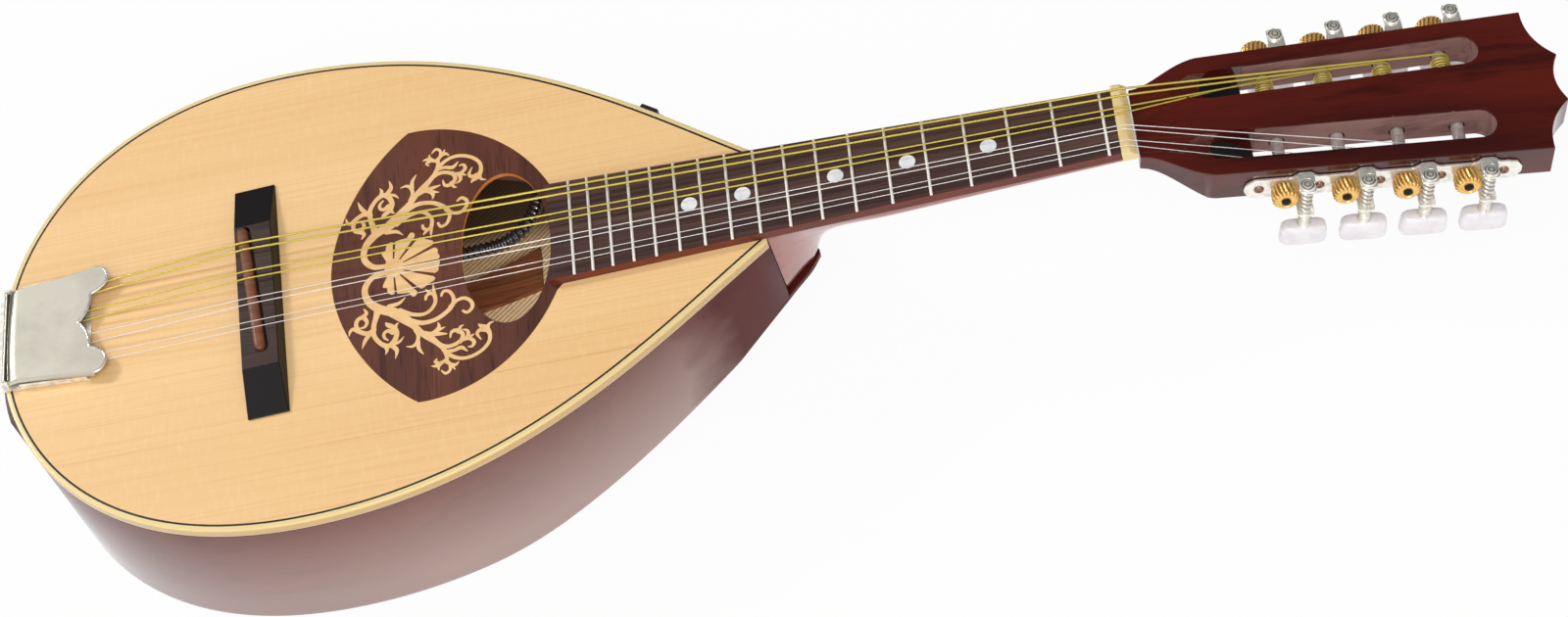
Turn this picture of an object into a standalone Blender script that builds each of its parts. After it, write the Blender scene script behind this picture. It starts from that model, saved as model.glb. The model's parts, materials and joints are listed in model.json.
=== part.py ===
"""Portuguese mandolin with four double courses, modelled in metres.

The frame lies on its flat back: +X runs from the tail to the head, +Y to the wound strings' side and
+Z out of the soundboard. The origin is on the back's rest face, straight below the bridge line.
"""

import math

import bmesh
import bpy
from mathutils import Matrix, Vector, geometry

# Strings and neck
SCALE_LENGTH = 0.345
FRET_COUNT = 17
BOARD_WIDTH_NUT = 0.0319
BOARD_WIDTH_END = 0.0464
BOARD_THICKNESS = 0.0040
BOARD_END_ROOM = 0.0102262
BOARD_END_HOLLOW = 0.0015
FRET_HEIGHT = 0.0010
FRET_WIDTH = 0.0020
FRET_TANG = 0.0005
FRET_END_INSET = 0.0002
NUT_BEHIND_FRET = 0.0046
NUT_LENGTH = 0.0062
NUT_WIDTH = 0.0336
NUT_RISE = 0.0015
NUT_BACK_DROP = 0.0022
NUT_CREST_BACK = 0.0031
NECK_DEPTH_NUT = 0.0085
NECK_DEPTH_HEEL = 0.0115

# Body
BODY_DEPTH = 0.0715
EDGE_TO_TEMPLATE = 0.0024
TAIL_X = -0.1087
TAIL_CORNER = (-0.10645, 0.0254)
TAIL_CORNER_ANGLE = 77.6
TAIL_HANDLE = 0.0276
WAIST_X = 0.0119
HALF_WIDTH = 0.1087
WAIST_HANDLE_TAIL = 0.0841
WAIST_HANDLE_NECK = 0.0861
SHOULDER_END = (0.198, 0.0255)
SHOULDER_ANGLE = 37.0
SHOULDER_HANDLE = 0.0540
JOINT_X = 0.2065
RIM_THICKNESS = 0.0023
TOP_THICKNESS = 0.0028
BACK_THICKNESS = 0.0030
BACK_FLAT_END_X = 0.070
BACK_BEND_LENGTH = 0.035
BACK_RISE = 0.18
LEAN_START_X = 0.183
LEAN_WIDTH = 0.0095
BINDING_WIDTH = 0.0020
BINDING_HEIGHT = 0.0048
PURFLING_WIDTH = 0.0006
LINING_WIDTH = 0.0060
LINING_HEIGHT = 0.0100
HEEL_BUTTON_LENGTH = 0.0150
HEEL_BUTTON_HALF_WIDTH = 0.0062

# Soundhole and rosette
HOLE_X = 0.1010
HOLE_HALF_LENGTH = 0.0185
HOLE_HALF_WIDTH = 0.0370
ROSETTE_TAIL_X = 0.0282
ROSETTE_TAIL_HANDLES = ((ROSETTE_TAIL_X, 0.0220), (0.0410, 0.0500))
ROSETTE_NECK_HANDLES = ((0.0800, 0.0675), (0.1060, 0.0580))
ROSETTE_CORNER = (0.0625, 0.0664)
ROSETTE_NECK_CORNER = (0.1209, 0.0260)
ROSETTE_TONGUE = (0.1275, 0.0190)
PANEL_THICKNESS = 0.0007
INLAY_THICKNESS = 0.0003

# Bridge
BRIDGE_LENGTH = 0.1124
BRIDGE_FLAT_LENGTH = 0.0700
BRIDGE_TOP_WIDTH = 0.0154
BRIDGE_FRONT_SLOPE = 0.0018
BRIDGE_HEIGHT = 0.0040
BRIDGE_END_HEIGHT = 0.0012
BRIDGE_TAIL_X = -0.0103
BRIDGE_SKEW = 2.5
SADDLE_LENGTH = 0.0615
SADDLE_WIDTH = 0.0046
SADDLE_SKEW = 7.0
SADDLE_CENTRE = (-0.0022, -0.0012)
SADDLE_TOP = 0.0068
SADDLE_SLOT_DEPTH = 0.0020

# Tailpiece
PLATE_THICKNESS = 0.0009
PLATE_FRONT_X = -0.0730
PLATE_TAIL_HALF = 0.0240
PLATE_FRONT_HALF = 0.0262
PLATE_LIP = 0.0026
LIP_THICKNESS = 0.0008
FLANGE_HALF_WIDTH = 0.0115
FLANGE_LENGTH = 0.0300
COVER_HEIGHT = 0.0051
COVER_THICKNESS = 0.0008
COVER_BEND_X = -0.1035
COVER_TAIL_HALF = 0.0220
COVER_SIDE = ((-0.0850, 0.0237), (-0.0725, 0.0253), (-0.0700, 0.0257))
COVER_LOBE = ((-0.0680, 0.0252), (-0.0661, 0.0232), (-0.0652, 0.0200), (-0.0664, 0.0169), (-0.0697, 0.0142))
COVER_HOLLOW = ((-0.0722, 0.0128), (-0.0725, 0.0095), (-0.0737, 0.0054), (-0.0753, 0.0024), (-0.0773, 0.0))
HINGE_X = -0.1085
HINGE_PIN_RADIUS = 0.0006
BARREL_RADIUS = 0.0015
EAR_THICKNESS = 0.0012
HOOK_RADIUS = 0.0007
HOOK_X = -0.0900
STRING_TAIL_HEIGHT = 0.0019
GUARD_HALF_WIDTH = 0.0330
GUARD_THICKNESS = 0.0030
GUARD_TOP = 0.0063
GUARD_CHAMFER = 0.0027
GUARD_FOOT = 0.0360
END_PIN_DROP = 0.0220
END_PIN_RADIUS = 0.0060
END_PIN_NECK = 0.0038
END_PIN_LENGTH = 0.0130
END_PIN_SHANK = 0.0022

# Headstock and machine heads
HEAD_ANGLE = 7.9
HEAD_JOINT_GAP = 0.0007
HEAD_FACE_RISE = 0.0005
HEAD_THICKNESS = 0.0160
HEAD_THICKNESS_NUT = 0.0090
VOLUTE_LENGTH = 0.0260
HEAD_NUT_HALF = 0.0168
HEAD_CORNER = (0.0258, 0.0291)
HEAD_TIP = (0.1595, 0.0341)
HEAD_CREST = (0.1697, 0.0112)
CREST_HOLLOW = 0.0032
SLOT_START_U = 0.0280
SLOT_TIP_ROOM = 0.0142
SLOT_WIDTH = 0.0136
SLOT_START_V = 0.01495
SLOT_SPLAY = 1.8
RAMP_START_U = 0.0175
RAMP_SLOPE = 0.25
RAMP_LENGTH = 0.0190
TUNER_PITCH = 0.0237
TUNER_COUNT = 4
FIRST_ROLLER_U = 0.0545
TUNER_DEPTH = 0.0099
ROLLER_RADIUS = 0.0028
ROLLER_REACH = 0.0265
ROLLER_HOLE_REACH = 0.0268
GEAR_RADIUS = 0.0051
GEAR_ROOT = 0.0045
GEAR_START = 0.0022
GEAR_WIDTH = 0.0056
GEAR_TEETH = 14
GEAR_SCREW_RADIUS = 0.0019
WORM_OFFSET = 0.0080
WORM_OUT = 0.0070
WORM_RADIUS = 0.0025
WORM_CORE = 0.0018
WORM_TURNS = 3
WORM_STEPS = 3
SHAFT_RADIUS = 0.0015
SHAFT_BORE = 0.0019
CAP_RADIUS = 0.0030
CAP_THICKNESS = 0.0009
BUTTON_TOP = 0.0270
BUTTON_LENGTH = 0.0112
BUTTON_WIDTH = 0.0193
BUTTON_THICKNESS = 0.0068
PLATE_EDGES = (0.0388, 0.1473)
TUNER_PLATE_TOP = 0.0045
TUNER_PLATE_FOOT = 0.0155
TUNER_PLATE_SHEET = 0.0012
EAR_TOP = 0.0021
EAR_FOOT = 0.0184
EAR_SHEET = 0.0012
EAR_REACH = 0.0103
EAR_HALF_WIDTH = 0.0033
SCREW_LEAD = 0.0098
LAST_SCREW_LAG = 0.0147
SCREW_HEAD_RADIUS = 0.0019
SCREW_SHANK_RADIUS = 0.0009
SCREW_LENGTH = 0.0070
SCREW_HOLE_RADIUS = 0.0014

# Strings, from the lowest course to the highest
STRING_NAMES = ("g_outer", "g_inner", "d_outer", "d_inner", "a_inner", "a_outer", "e_inner", "e_outer")
STRING_NUT_Y = (0.0141, 0.0107, 0.0051, 0.0022, -0.0034, -0.0055, -0.0108, -0.0134)
STRING_SADDLE_Y = (0.0218, 0.0183, 0.0074, 0.0038, -0.0059, -0.0088, -0.0175, -0.0205)
STRING_TAIL_Y = (0.0174, 0.0132, 0.0060, 0.0014, -0.0052, -0.0100, -0.0155, -0.0193)
STRING_RADIUS = (0.00045, 0.00045, 0.00034, 0.00034, 0.0002, 0.0002, 0.00016, 0.00016)
STRING_ROLLER = (3, 2, 1, 0, 3, 2, 1, 0)
WOUND_STRINGS = 4
WINDING_TURNS = (4, 4, 4, 4, 2, 2, 2, 2)
WINDING_SPACE = 0.0005
WINDING_LEAD = 0.0006
WINDING_START = (-0.0106, -0.0086)
LOOP_POINTS = 10

# Pickup electronics
PREAMP_X = 0.1340
PREAMP_LENGTH = 0.0700
PREAMP_HEIGHT = 0.0330
PREAMP_TOP = 0.0055
PREAMP_PLATE = 0.0024
PREAMP_CASE_INSET = 0.0030
PREAMP_DEPTH = 0.0130
KNOB_RADIUS = 0.0042
KNOB_HEIGHT = 0.0055
KNOB_WELL = 0.0016
KNOB_SHAFT = 0.0012
KNOBS = (("volume_knob", 0.1380), ("bass_knob", 0.1490), ("treble_knob", 0.1600))
BATTERY_X = 0.1010
BATTERY_LENGTH = 0.0300
BATTERY_HEIGHT = 0.0180
BATTERY_COVER = 0.0012
CABLE_RADIUS = 0.0015
CABLE_Z = 0.0458
CABLE_START_X = 0.1150
CABLE_ROUTE = ((0.1078, 0.0340), (0.0947, 0.0207), (0.0800, 0.0190), (0.0400, 0.0200), (-0.0100, 0.0150),
               (-0.0600, 0.0090))

# Clearances
GAP = 0.0003
TRIM_GAP = 0.0002
TURN_GAP = 0.0003

TOP_Z = BODY_DEPTH
BOARD_TOP_Z = TOP_Z + GAP + BOARD_THICKNESS
ZERO_FRET_X = SCALE_LENGTH
LAST_FRET_X = SCALE_LENGTH * 2.0 ** (-FRET_COUNT / 12.0)
BOARD_END_X = LAST_FRET_X - BOARD_END_ROOM
NUT_FRONT_X = ZERO_FRET_X + NUT_BEHIND_FRET
NUT_CREST_X = NUT_FRONT_X + NUT_CREST_BACK
HEAD_START_X = NUT_FRONT_X + NUT_LENGTH + HEAD_JOINT_GAP
SLOT_LENGTH = FIRST_ROLLER_U + TUNER_PITCH * (TUNER_COUNT - 1) - SLOT_START_U + SLOT_TIP_ROOM
NECK_BLOCK_X = (0.1830, JOINT_X - GAP)
TAIL_BLOCK_LENGTH = 0.0160
TAIL_BLOCK_X = TAIL_X + TAIL_BLOCK_LENGTH
TAIL_BLOCK_HALF = 0.0210
BLOCK_TOP = TOP_Z - TOP_THICKNESS - GAP
LINING_END_X = LEAN_START_X - 0.0040
BLOCK_MARGIN = 0.0012

# Braces
BRACE_WIDTH = 0.0080
BACK_BRACE_WIDTH = 0.0120
TOP_BRACE_HEIGHT = 0.0110
BACK_BRACE_HEIGHT = 0.0100
BRACE_END_HEIGHT = 0.0030
BRACE_TAPER = 0.0150
BRACE_MARGIN = RIM_THICKNESS + LINING_WIDTH + 0.0080
TOP_BRACES = (("top_brace_tail", -0.0500), ("top_brace_middle", 0.0560), ("top_brace_neck", 0.1420))
BACK_BRACES = (("back_brace_tail", -0.0450), ("back_brace_neck", 0.0560))

# Stations of the neck: x past the joint, depth below the soundboard plane, bottom half width, roundness
NECK_STATIONS = (
    (0.0003, 0.0470, 0.0112, 9.0),
    (0.0095, 0.0455, 0.0085, 6.0),
    (0.0115, 0.0400, 0.0082, 5.0),
    (0.0135, 0.0330, 0.0085, 4.0),
    (0.0165, 0.0265, 0.0095, 3.4),
    (0.0205, 0.0205, 0.0115, 3.0),
    (0.0260, 0.0160, 0.0140, 2.6),
    (0.0330, 0.0135, 0.0160, 2.4),
)
NECK_HALF_POINTS = 8
NECK_PLAIN_STATIONS = 4

# The scroll ornament, for one half: each stroke is its centre line as (x, distance from the middle
# line, half width) in millimetres.
SCROLL_STROKES = (
    ((50.7, 1.6, 1.3), (46.2, 2.3, 1.4), (42.9, 5.6, 1.5), (42.1, 9.8, 1.5), (43.8, 14.5, 1.8),
     (48.2, 18.8, 2.2), (53.8, 21.5, 2.4)),
    ((53.0, 21.3, 2.4), (58.2, 25.8, 2.4), (62.4, 30.6, 1.5), (66.3, 35.7, 1.3), (70.6, 39.9, 1.1),
     (73.5, 43.4, 1.1), (74.7, 47.4, 0.9), (74.6, 50.1, 0.9)),
    ((56.3, 21.1, 1.1), (61.0, 24.1, 1.0), (65.9, 25.2, 0.9), (69.2, 23.6, 0.9), (71.1, 20.2, 0.9),
     (70.7, 16.3, 0.9), (70.4, 11.4, 0.2)),
    ((59.7, 26.6, 1.3), (64.9, 29.2, 1.2), (70.2, 29.0, 1.1), (74.3, 27.1, 1.1), (77.6, 24.1, 1.1),
     (78.6, 20.5, 0.9), (77.1, 16.8, 0.8), (74.7, 16.0, 0.8), (73.6, 17.9, 0.6)),
    ((77.2, 24.0, 1.1), (79.8, 21.7, 0.9), (83.0, 21.2, 0.9), (85.7, 23.5, 0.9), (86.0, 26.4, 0.9),
     (83.9, 28.3, 0.8)),
    ((47.4, 18.6, 2.0), (46.5, 22.2, 1.4), (45.4, 26.3, 1.2), (45.4, 31.0, 1.1), (47.8, 35.1, 1.1),
     (50.9, 37.2, 1.3), (53.4, 35.6, 1.3), (54.7, 32.1, 1.2), (53.6, 29.1, 1.3), (50.4, 26.0, 0.4)),
    ((53.1, 31.3, 1.1), (51.1, 29.9, 0.9), (49.5, 31.0, 0.8), (49.6, 32.9, 0.7)),
    ((52.9, 36.9, 0.9), (55.8, 36.1, 0.7), (57.5, 34.2, 0.2)),
    ((52.5, 37.3, 1.1), (54.5, 40.1, 1.0), (53.8, 43.7, 0.2)),
    ((45.5, 28.2, 1.1), (42.6, 29.4, 1.2), (39.4, 27.8, 1.1), (37.0, 26.0, 1.0), (35.1, 28.9, 0.2)),
    ((43.8, 29.7, 1.1), (41.7, 32.5, 1.0), (40.4, 36.0, 0.2)),
    ((39.4, 27.8, 1.1), (38.1, 24.6, 1.0), (38.8, 21.9, 1.0), (41.2, 20.8, 1.1), (42.5, 19.4, 0.9),
     (41.5, 17.3, 0.3)),
    ((62.4, 32.0, 1.0), (63.5, 35.0, 0.9), (62.8, 38.2, 0.9), (60.9, 39.6, 0.7), (58.5, 39.1, 0.2)),
    ((65.6, 34.1, 1.1), (68.7, 35.3, 1.1), (71.2, 34.0, 1.0), (71.7, 30.5, 0.2)),
    ((69.1, 37.2, 1.1), (72.1, 41.2, 1.1), (75.3, 42.8, 1.0), (78.5, 42.4, 1.0), (81.4, 40.9, 1.0),
     (84.2, 40.9, 0.9), (86.1, 42.9, 0.9), (84.8, 44.9, 0.5)),
    ((80.5, 41.7, 1.0), (81.7, 38.7, 1.0), (79.8, 36.1, 1.0), (77.2, 36.2, 0.8), (76.5, 38.7, 0.4)),
    ((74.4, 45.0, 0.9), (77.6, 45.2, 0.9), (80.8, 44.5, 1.0), (83.1, 46.7, 0.3)),
    ((73.6, 43.9, 1.1), (76.3, 47.3, 1.0), (80.2, 49.5, 0.9), (84.6, 49.6, 0.9), (89.1, 47.6, 0.9),
     (92.1, 44.3, 0.9), (92.6, 40.6, 1.0), (91.2, 37.5, 1.4), (88.3, 35.0, 0.3)),
    ((91.1, 38.4, 1.1), (88.7, 37.9, 1.0), (87.5, 39.5, 0.8), (88.9, 42.4, 0.3)),
    ((74.2, 49.1, 0.9), (71.8, 50.0, 0.9), (70.2, 51.0, 0.8), (68.4, 50.6, 0.2)),
    ((74.2, 49.1, 0.9), (76.1, 51.4, 0.9), (78.1, 52.1, 0.8), (79.4, 51.0, 0.3)),
)
MILLIMETRE = 0.001
STROKE_STEPS = 1
SHELL_X = 0.0545
SHELL_LOBES = 4
SHELL_REACH = (0.0190, 0.0190, 0.0170, 0.0130)
SHELL_ANGLES = (8.0, 28.0, 54.0, 86.0)
SHELL_HALF_WIDTH = (0.0022, 0.0026, 0.0028, 0.0024)
SHELL_ROOT = 0.0030


def clear_scene():
    """Remove every object so that the script starts from nothing."""
    for obj in list(bpy.data.objects):
        bpy.data.objects.remove(obj, do_unlink=True)


def make_collection(name):
    """Return a new collection linked to the scene."""
    collection = bpy.data.collections.new(name)
    bpy.context.scene.collection.children.link(collection)
    return collection


clear_scene()
PARTS = make_collection("portuguese_mandolin")
CUTTERS = make_collection("cutters")


def material(name, colour, roughness, metallic=0.0):
    """Return a Principled material."""
    result = bpy.data.materials.new(name)
    result.use_nodes = True
    shader = result.node_tree.nodes["Principled BSDF"]
    shader.inputs["Base Color"].default_value = (*colour, 1.0)
    shader.inputs["Roughness"].default_value = roughness
    shader.inputs["Metallic"].default_value = metallic
    return result


SPRUCE = material("spruce", (0.78, 0.55, 0.28), 0.35)
MAHOGANY = material("dark_mahogany", (0.13, 0.022, 0.018), 0.12)
ROSEWOOD = material("rosewood", (0.075, 0.03, 0.022), 0.4)
SADDLE_WOOD = material("saddle_rosewood", (0.16, 0.062, 0.035), 0.45)
EBONY = material("ebony", (0.02, 0.015, 0.016), 0.35)
MAPLE = material("maple", (0.85, 0.66, 0.38), 0.4)
IVOROID = material("ivoroid", (0.86, 0.71, 0.42), 0.3)
BLACK_FIBRE = material("black_fibre", (0.01, 0.01, 0.012), 0.5)
PEARLOID = material("pearloid", (0.82, 0.81, 0.80), 0.25)
NICKEL = material("nickel", (0.72, 0.70, 0.66), 0.22, 1.0)
STEEL = material("steel", (0.62, 0.61, 0.60), 0.25, 1.0)
BRASS = material("brass", (0.78, 0.52, 0.20), 0.3, 1.0)
BRONZE = material("string_bronze", (0.80, 0.66, 0.20), 0.3, 1.0)
LINDEN = material("linden", (0.60, 0.47, 0.30), 0.6)
BLACK_PLASTIC = material("black_plastic", (0.015, 0.015, 0.017), 0.35)


def add_object(name, mesh, finish=None, collection=None):
    """Link a mesh as an object, with its material if it has one."""
    obj = bpy.data.objects.new(name, mesh)
    (collection or PARTS).objects.link(obj)
    if finish is not None:
        mesh.materials.append(finish)
    return obj


def as_cutter(obj):
    """Keep an object as a cutter: out of renders and drawn as wire."""
    for holder in list(obj.users_collection):
        holder.objects.unlink(obj)
    CUTTERS.objects.link(obj)
    obj.hide_render = True
    obj.display_type = "WIRE"
    return obj


def mesh_from_bmesh(name, work):
    """Write a bmesh to a new mesh with its faces pointing out."""
    bmesh.ops.recalc_face_normals(work, faces=work.faces)
    mesh = bpy.data.meshes.new(name)
    work.to_mesh(mesh)
    work.free()
    return mesh


def smooth(mesh, angle=35.0):
    """Shade a mesh smooth, with its sharper edges kept."""
    mesh.shade_smooth()
    mesh.set_sharp_from_angle(angle=math.radians(angle))


def add_loft(work, sections, closed=False):
    """Skin a row of sections of like point count; the ends get caps unless the row is closed."""
    rings = [[work.verts.new(point) for point in section] for section in sections]
    count = len(rings[0])
    pairs = list(zip(rings, rings[1:]))
    if closed:
        pairs.append((rings[-1], rings[0]))
    for first, second in pairs:
        for k in range(count):
            nxt = (k + 1) % count
            work.faces.new((first[k], first[nxt], second[nxt], second[k]))
    if not closed:
        work.faces.new(rings[0])
        work.faces.new(rings[-1])


def loft(name, sections, finish, closed=False, angle=35.0):
    """Make one object from a row of sections."""
    work = bmesh.new()
    add_loft(work, sections, closed)
    mesh = mesh_from_bmesh(name, work)
    smooth(mesh, angle)
    return add_object(name, mesh, finish)


def add_box(work, low, high, matrix=Matrix.Identity(4)):
    """Add a box between two corners, carried by a matrix."""
    size = Vector(high) - Vector(low)
    centre = (Vector(high) + Vector(low)) / 2.0
    place = matrix @ Matrix.Translation(centre) @ Matrix.Diagonal((*size, 1.0))
    bmesh.ops.create_cube(work, size=1.0, matrix=place)


def add_cylinder(work, radius, start, end, sides=12, matrix=Matrix.Identity(4), end_radius=None):
    """Add a cylinder or cone between two points, carried by a matrix."""
    start = Vector(start)
    end = Vector(end)
    along = end - start
    turn = along.to_track_quat("Z", "Y").to_matrix().to_4x4()
    place = matrix @ Matrix.Translation((start + end) / 2.0) @ turn
    top = radius if end_radius is None else end_radius
    bmesh.ops.create_cone(work, cap_ends=True, segments=sides, radius1=radius, radius2=top,
                          depth=along.length, matrix=place)


def solid(name, work, finish, angle=35.0):
    """Make one object from a bmesh of closed solids."""
    mesh = mesh_from_bmesh(name, work)
    smooth(mesh, angle)
    return add_object(name, mesh, finish)


def cutter(name, work):
    """Make one cutter from a bmesh of closed solids."""
    return as_cutter(add_object(name, mesh_from_bmesh(name, work)))


def boolean(obj, tool, operation="DIFFERENCE"):
    """Cut or join one object with another, exactly."""
    step = obj.modifiers.new(operation.lower(), "BOOLEAN")
    step.operation = operation
    step.object = tool
    step.solver = "EXACT"
    step.use_self = operation == "UNION"
    return step


def curve_mesh(name, curve):
    """Return the welded mesh of a curve's evaluated object, and remove the curve."""
    obj = bpy.data.objects.new(name, curve)
    PARTS.objects.link(obj)
    graph = bpy.context.evaluated_depsgraph_get()
    mesh = bpy.data.meshes.new_from_object(obj.evaluated_get(graph))
    bpy.data.objects.remove(obj, do_unlink=True)
    bpy.data.curves.remove(curve)
    work = bmesh.new()
    work.from_mesh(mesh)
    bpy.data.meshes.remove(mesh)
    bmesh.ops.remove_doubles(work, verts=work.verts, dist=0.000002)
    return work


def flat_plate(name, outline, low, high, holes=()):
    """Return the bmesh of a flat outline filled as a 2D curve, between two heights."""
    curve = bpy.data.curves.new(name, "CURVE")
    curve.dimensions = "2D"
    curve.fill_mode = "BOTH"
    curve.extrude = (high - low) / 2.0
    curve.render_resolution_u = 0
    for points in (outline, *holes):
        spline = curve.splines.new("POLY")
        spline.points.add(len(points) - 1)
        for slot, point in zip(spline.points, points):
            slot.co = (point[0], point[1], 0.0, 1.0)
        spline.use_cyclic_u = True
    work = curve_mesh(name, curve)
    bmesh.ops.translate(work, verts=work.verts, vec=(0.0, 0.0, (high + low) / 2.0))
    return work


def tube(name, points, radius, sides_level=1):
    """Return the bmesh of a round wire along points."""
    curve = bpy.data.curves.new(name, "CURVE")
    curve.dimensions = "3D"
    curve.bevel_depth = radius
    curve.bevel_resolution = sides_level
    curve.use_fill_caps = True
    curve.render_resolution_u = 0
    spline = curve.splines.new("POLY")
    spline.points.add(len(points) - 1)
    for slot, point in zip(spline.points, points):
        slot.co = (*point, 1.0)
    return curve_mesh(name, curve)


def apply_modifiers(obj):
    """Turn an object's mesh into its evaluated one, without modifiers."""
    graph = bpy.context.evaluated_depsgraph_get()
    mesh = bpy.data.meshes.new_from_object(obj.evaluated_get(graph))
    obj.modifiers.clear()
    obj.data = mesh


def hang(obj, origin):
    """Apply an object's cuts and move its origin to a point on its joint's axis."""
    apply_modifiers(obj)
    origin = Vector(origin)
    obj.data.transform(Matrix.Translation(-origin))
    obj.location = origin


def turned(name, profile, steps, place, finish):
    """Make a turned piece: (radius, height) points from top to bottom, turned about the frame's z."""
    work = bmesh.new()
    corners = [work.verts.new((r, 0.0, z)) for r, z in profile]
    for first, second in zip(corners, corners[1:]):
        work.edges.new((first, second))
    mesh = bpy.data.meshes.new(name)
    work.to_mesh(mesh)
    work.free()
    obj = add_object(name, mesh, finish)
    obj.matrix_world = place
    screw = obj.modifiers.new("turn", "SCREW")
    screw.steps = steps
    screw.render_steps = steps
    screw.use_merge_vertices = True
    screw.merge_threshold = 0.00001
    screw.use_smooth_shade = True
    return obj


def bezier(p0, p1, p2, p3, count):
    """Return count + 1 points of a cubic Bezier in the plane."""
    result = []
    for k in range(count + 1):
        t = k / count
        s = 1.0 - t
        result.append(Vector(p0) * s ** 3 + Vector(p1) * 3 * s * s * t + Vector(p2) * 3 * s * t * t
                      + Vector(p3) * t ** 3)
    return result


def template_half():
    """Return the body's template line from the tail's middle to the neck joint, for +Y."""
    corner_way = Vector((math.cos(math.radians(TAIL_CORNER_ANGLE)), math.sin(math.radians(TAIL_CORNER_ANGLE))))
    shoulder_way = Vector((math.cos(math.radians(SHOULDER_ANGLE)), -math.sin(math.radians(SHOULDER_ANGLE))))
    tail = Vector((TAIL_X, 0.0))
    corner = Vector(TAIL_CORNER)
    wide = Vector((WAIST_X, HALF_WIDTH))
    shoulder = Vector(SHOULDER_END)
    flat = corner.y / 2.0
    points = bezier(tail, tail + Vector((0.0, flat)), corner - corner_way * flat / 2.0, corner, 3)
    points += bezier(corner, corner + corner_way * TAIL_HANDLE, wide - Vector((WAIST_HANDLE_TAIL, 0.0)), wide, 10)[1:]
    points += bezier(wide, wide + Vector((WAIST_HANDLE_NECK, 0.0)), shoulder - shoulder_way * SHOULDER_HANDLE,
                     shoulder, 11)[1:]
    return points, shoulder_way


def body_outline(inset):
    """Return the outline, inset from the outer edge, from the joint round the tail to the joint."""
    template, shoulder_way = template_half()
    half = []
    for k, point in enumerate(template):
        if k == 0:
            along = Vector((0.0, 1.0))
        elif k == len(template) - 1:
            along = shoulder_way
        else:
            along = (template[k + 1] - template[k - 1]).normalized()
        outward = Vector((-along.y, along.x))
        half.append(point + outward * (EDGE_TO_TEMPLATE - inset))
    last = half[-1]
    reach = (JOINT_X - last.x) / shoulder_way.x
    half.append(last + shoulder_way * reach)
    mirrored = [Vector((point.x, -point.y)) for point in half[1:]]
    return list(reversed(half)) + mirrored


def half_width_at(x, inset):
    """Return the half width of the body's outline at x."""
    outline = [point for point in body_outline(inset) if point.y >= 0.0]
    for right, left in zip(outline, outline[1:]):
        if left.x <= x <= right.x:
            share = (x - left.x) / (right.x - left.x)
            return left.y + (right.y - left.y) * share
    return outline[0].y if x > outline[0].x else outline[-1].y


def tail_point(y, inset):
    """Return the point of the outline's tail end at y."""
    tail = [point for point in body_outline(inset) if point.x < TAIL_CORNER[0] + 0.020]
    for first, second in zip(tail, tail[1:]):
        if second.y <= y <= first.y:
            return first.lerp(second, (first.y - y) / (first.y - second.y))
    return tail[0]


def back_height(x):
    """Return the height of the back's lower face: flat, then rising to the heel past a soft bend."""
    past = x - BACK_FLAT_END_X
    if past <= 0.0:
        return 0.0
    if past < BACK_BEND_LENGTH:
        return BACK_RISE * past * past / (2.0 * BACK_BEND_LENGTH)
    return BACK_RISE * (past - BACK_BEND_LENGTH / 2.0)


def lean(x):
    """Return how far the rim's foot leans in towards the heel."""
    share = (x - LEAN_START_X) / (JOINT_X - LEAN_START_X)
    return LEAN_WIDTH * min(max(share, 0.0), 1.0)


def leaning(point, height, top, foot):
    """Return a rim point moved in by the lean at its height."""
    share = (top - height) / (top - foot)
    move = lean(point.x) * share
    y = math.copysign(max(abs(point.y) - move, 0.0), point.y) if abs(point.y) > 1e-9 else 0.0
    return Vector((point.x, y, height))


def edge_ring(name, inset, width, low, high, finish):
    """Make a strip that follows the body's edge between two heights."""
    outer = body_outline(inset)
    inner = body_outline(inset + width)
    sections = []
    for far, near in zip(outer, inner):
        sections.append([Vector((far.x, far.y, low)), Vector((far.x, far.y, high)),
                         Vector((near.x, near.y, high)), Vector((near.x, near.y, low))])
    return loft(name, sections, finish)


def build_rim():
    """Build the bent side from joint to joint, under the binding and over the back."""
    top = TOP_Z - BINDING_HEIGHT - GAP
    outer = body_outline(0.0)
    inner = body_outline(RIM_THICKNESS)
    sections = []
    for far, near in zip(outer, inner):
        foot = back_height(far.x) + BACK_THICKNESS + GAP
        inner_foot = back_height(near.x) + BACK_THICKNESS + GAP
        sections.append([leaning(far, foot, TOP_Z, foot), Vector((far.x, far.y, top)) if lean(far.x) == 0.0
                         else leaning(far, top, TOP_Z, foot), leaning(near, top, TOP_Z, foot),
                         leaning(near, inner_foot, TOP_Z, inner_foot)])
    return loft("rim", sections, MAHOGANY)


def build_back():
    """Build the back plate, flat under the lower bout and rising to the heel's button."""
    half = [point for point in body_outline(0.0) if point.y > 1e-6]
    half.reverse()
    stations = []
    for k, point in enumerate(half):
        x = TAIL_X - EDGE_TO_TEMPLATE if k == 0 else point.x
        stations.append((x, point.y - lean(point.x)))
    root_x, root_width = stations[-1]
    for share, narrow in ((0.35, 0.83), (0.75, 0.64), (0.95, 0.45)):
        x = root_x + HEEL_BUTTON_LENGTH * share
        stations.append((x, max(root_width * narrow, HEEL_BUTTON_HALF_WIDTH * (1.3 - share / 2.0))))
    sections = []
    for x, width in stations:
        low = back_height(x)
        sections.append([(x, -width, low), (x, width, low), (x, width, low + BACK_THICKNESS),
                         (x, -width, low + BACK_THICKNESS)])
    return loft("back_plate", sections, MAHOGANY)


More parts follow.
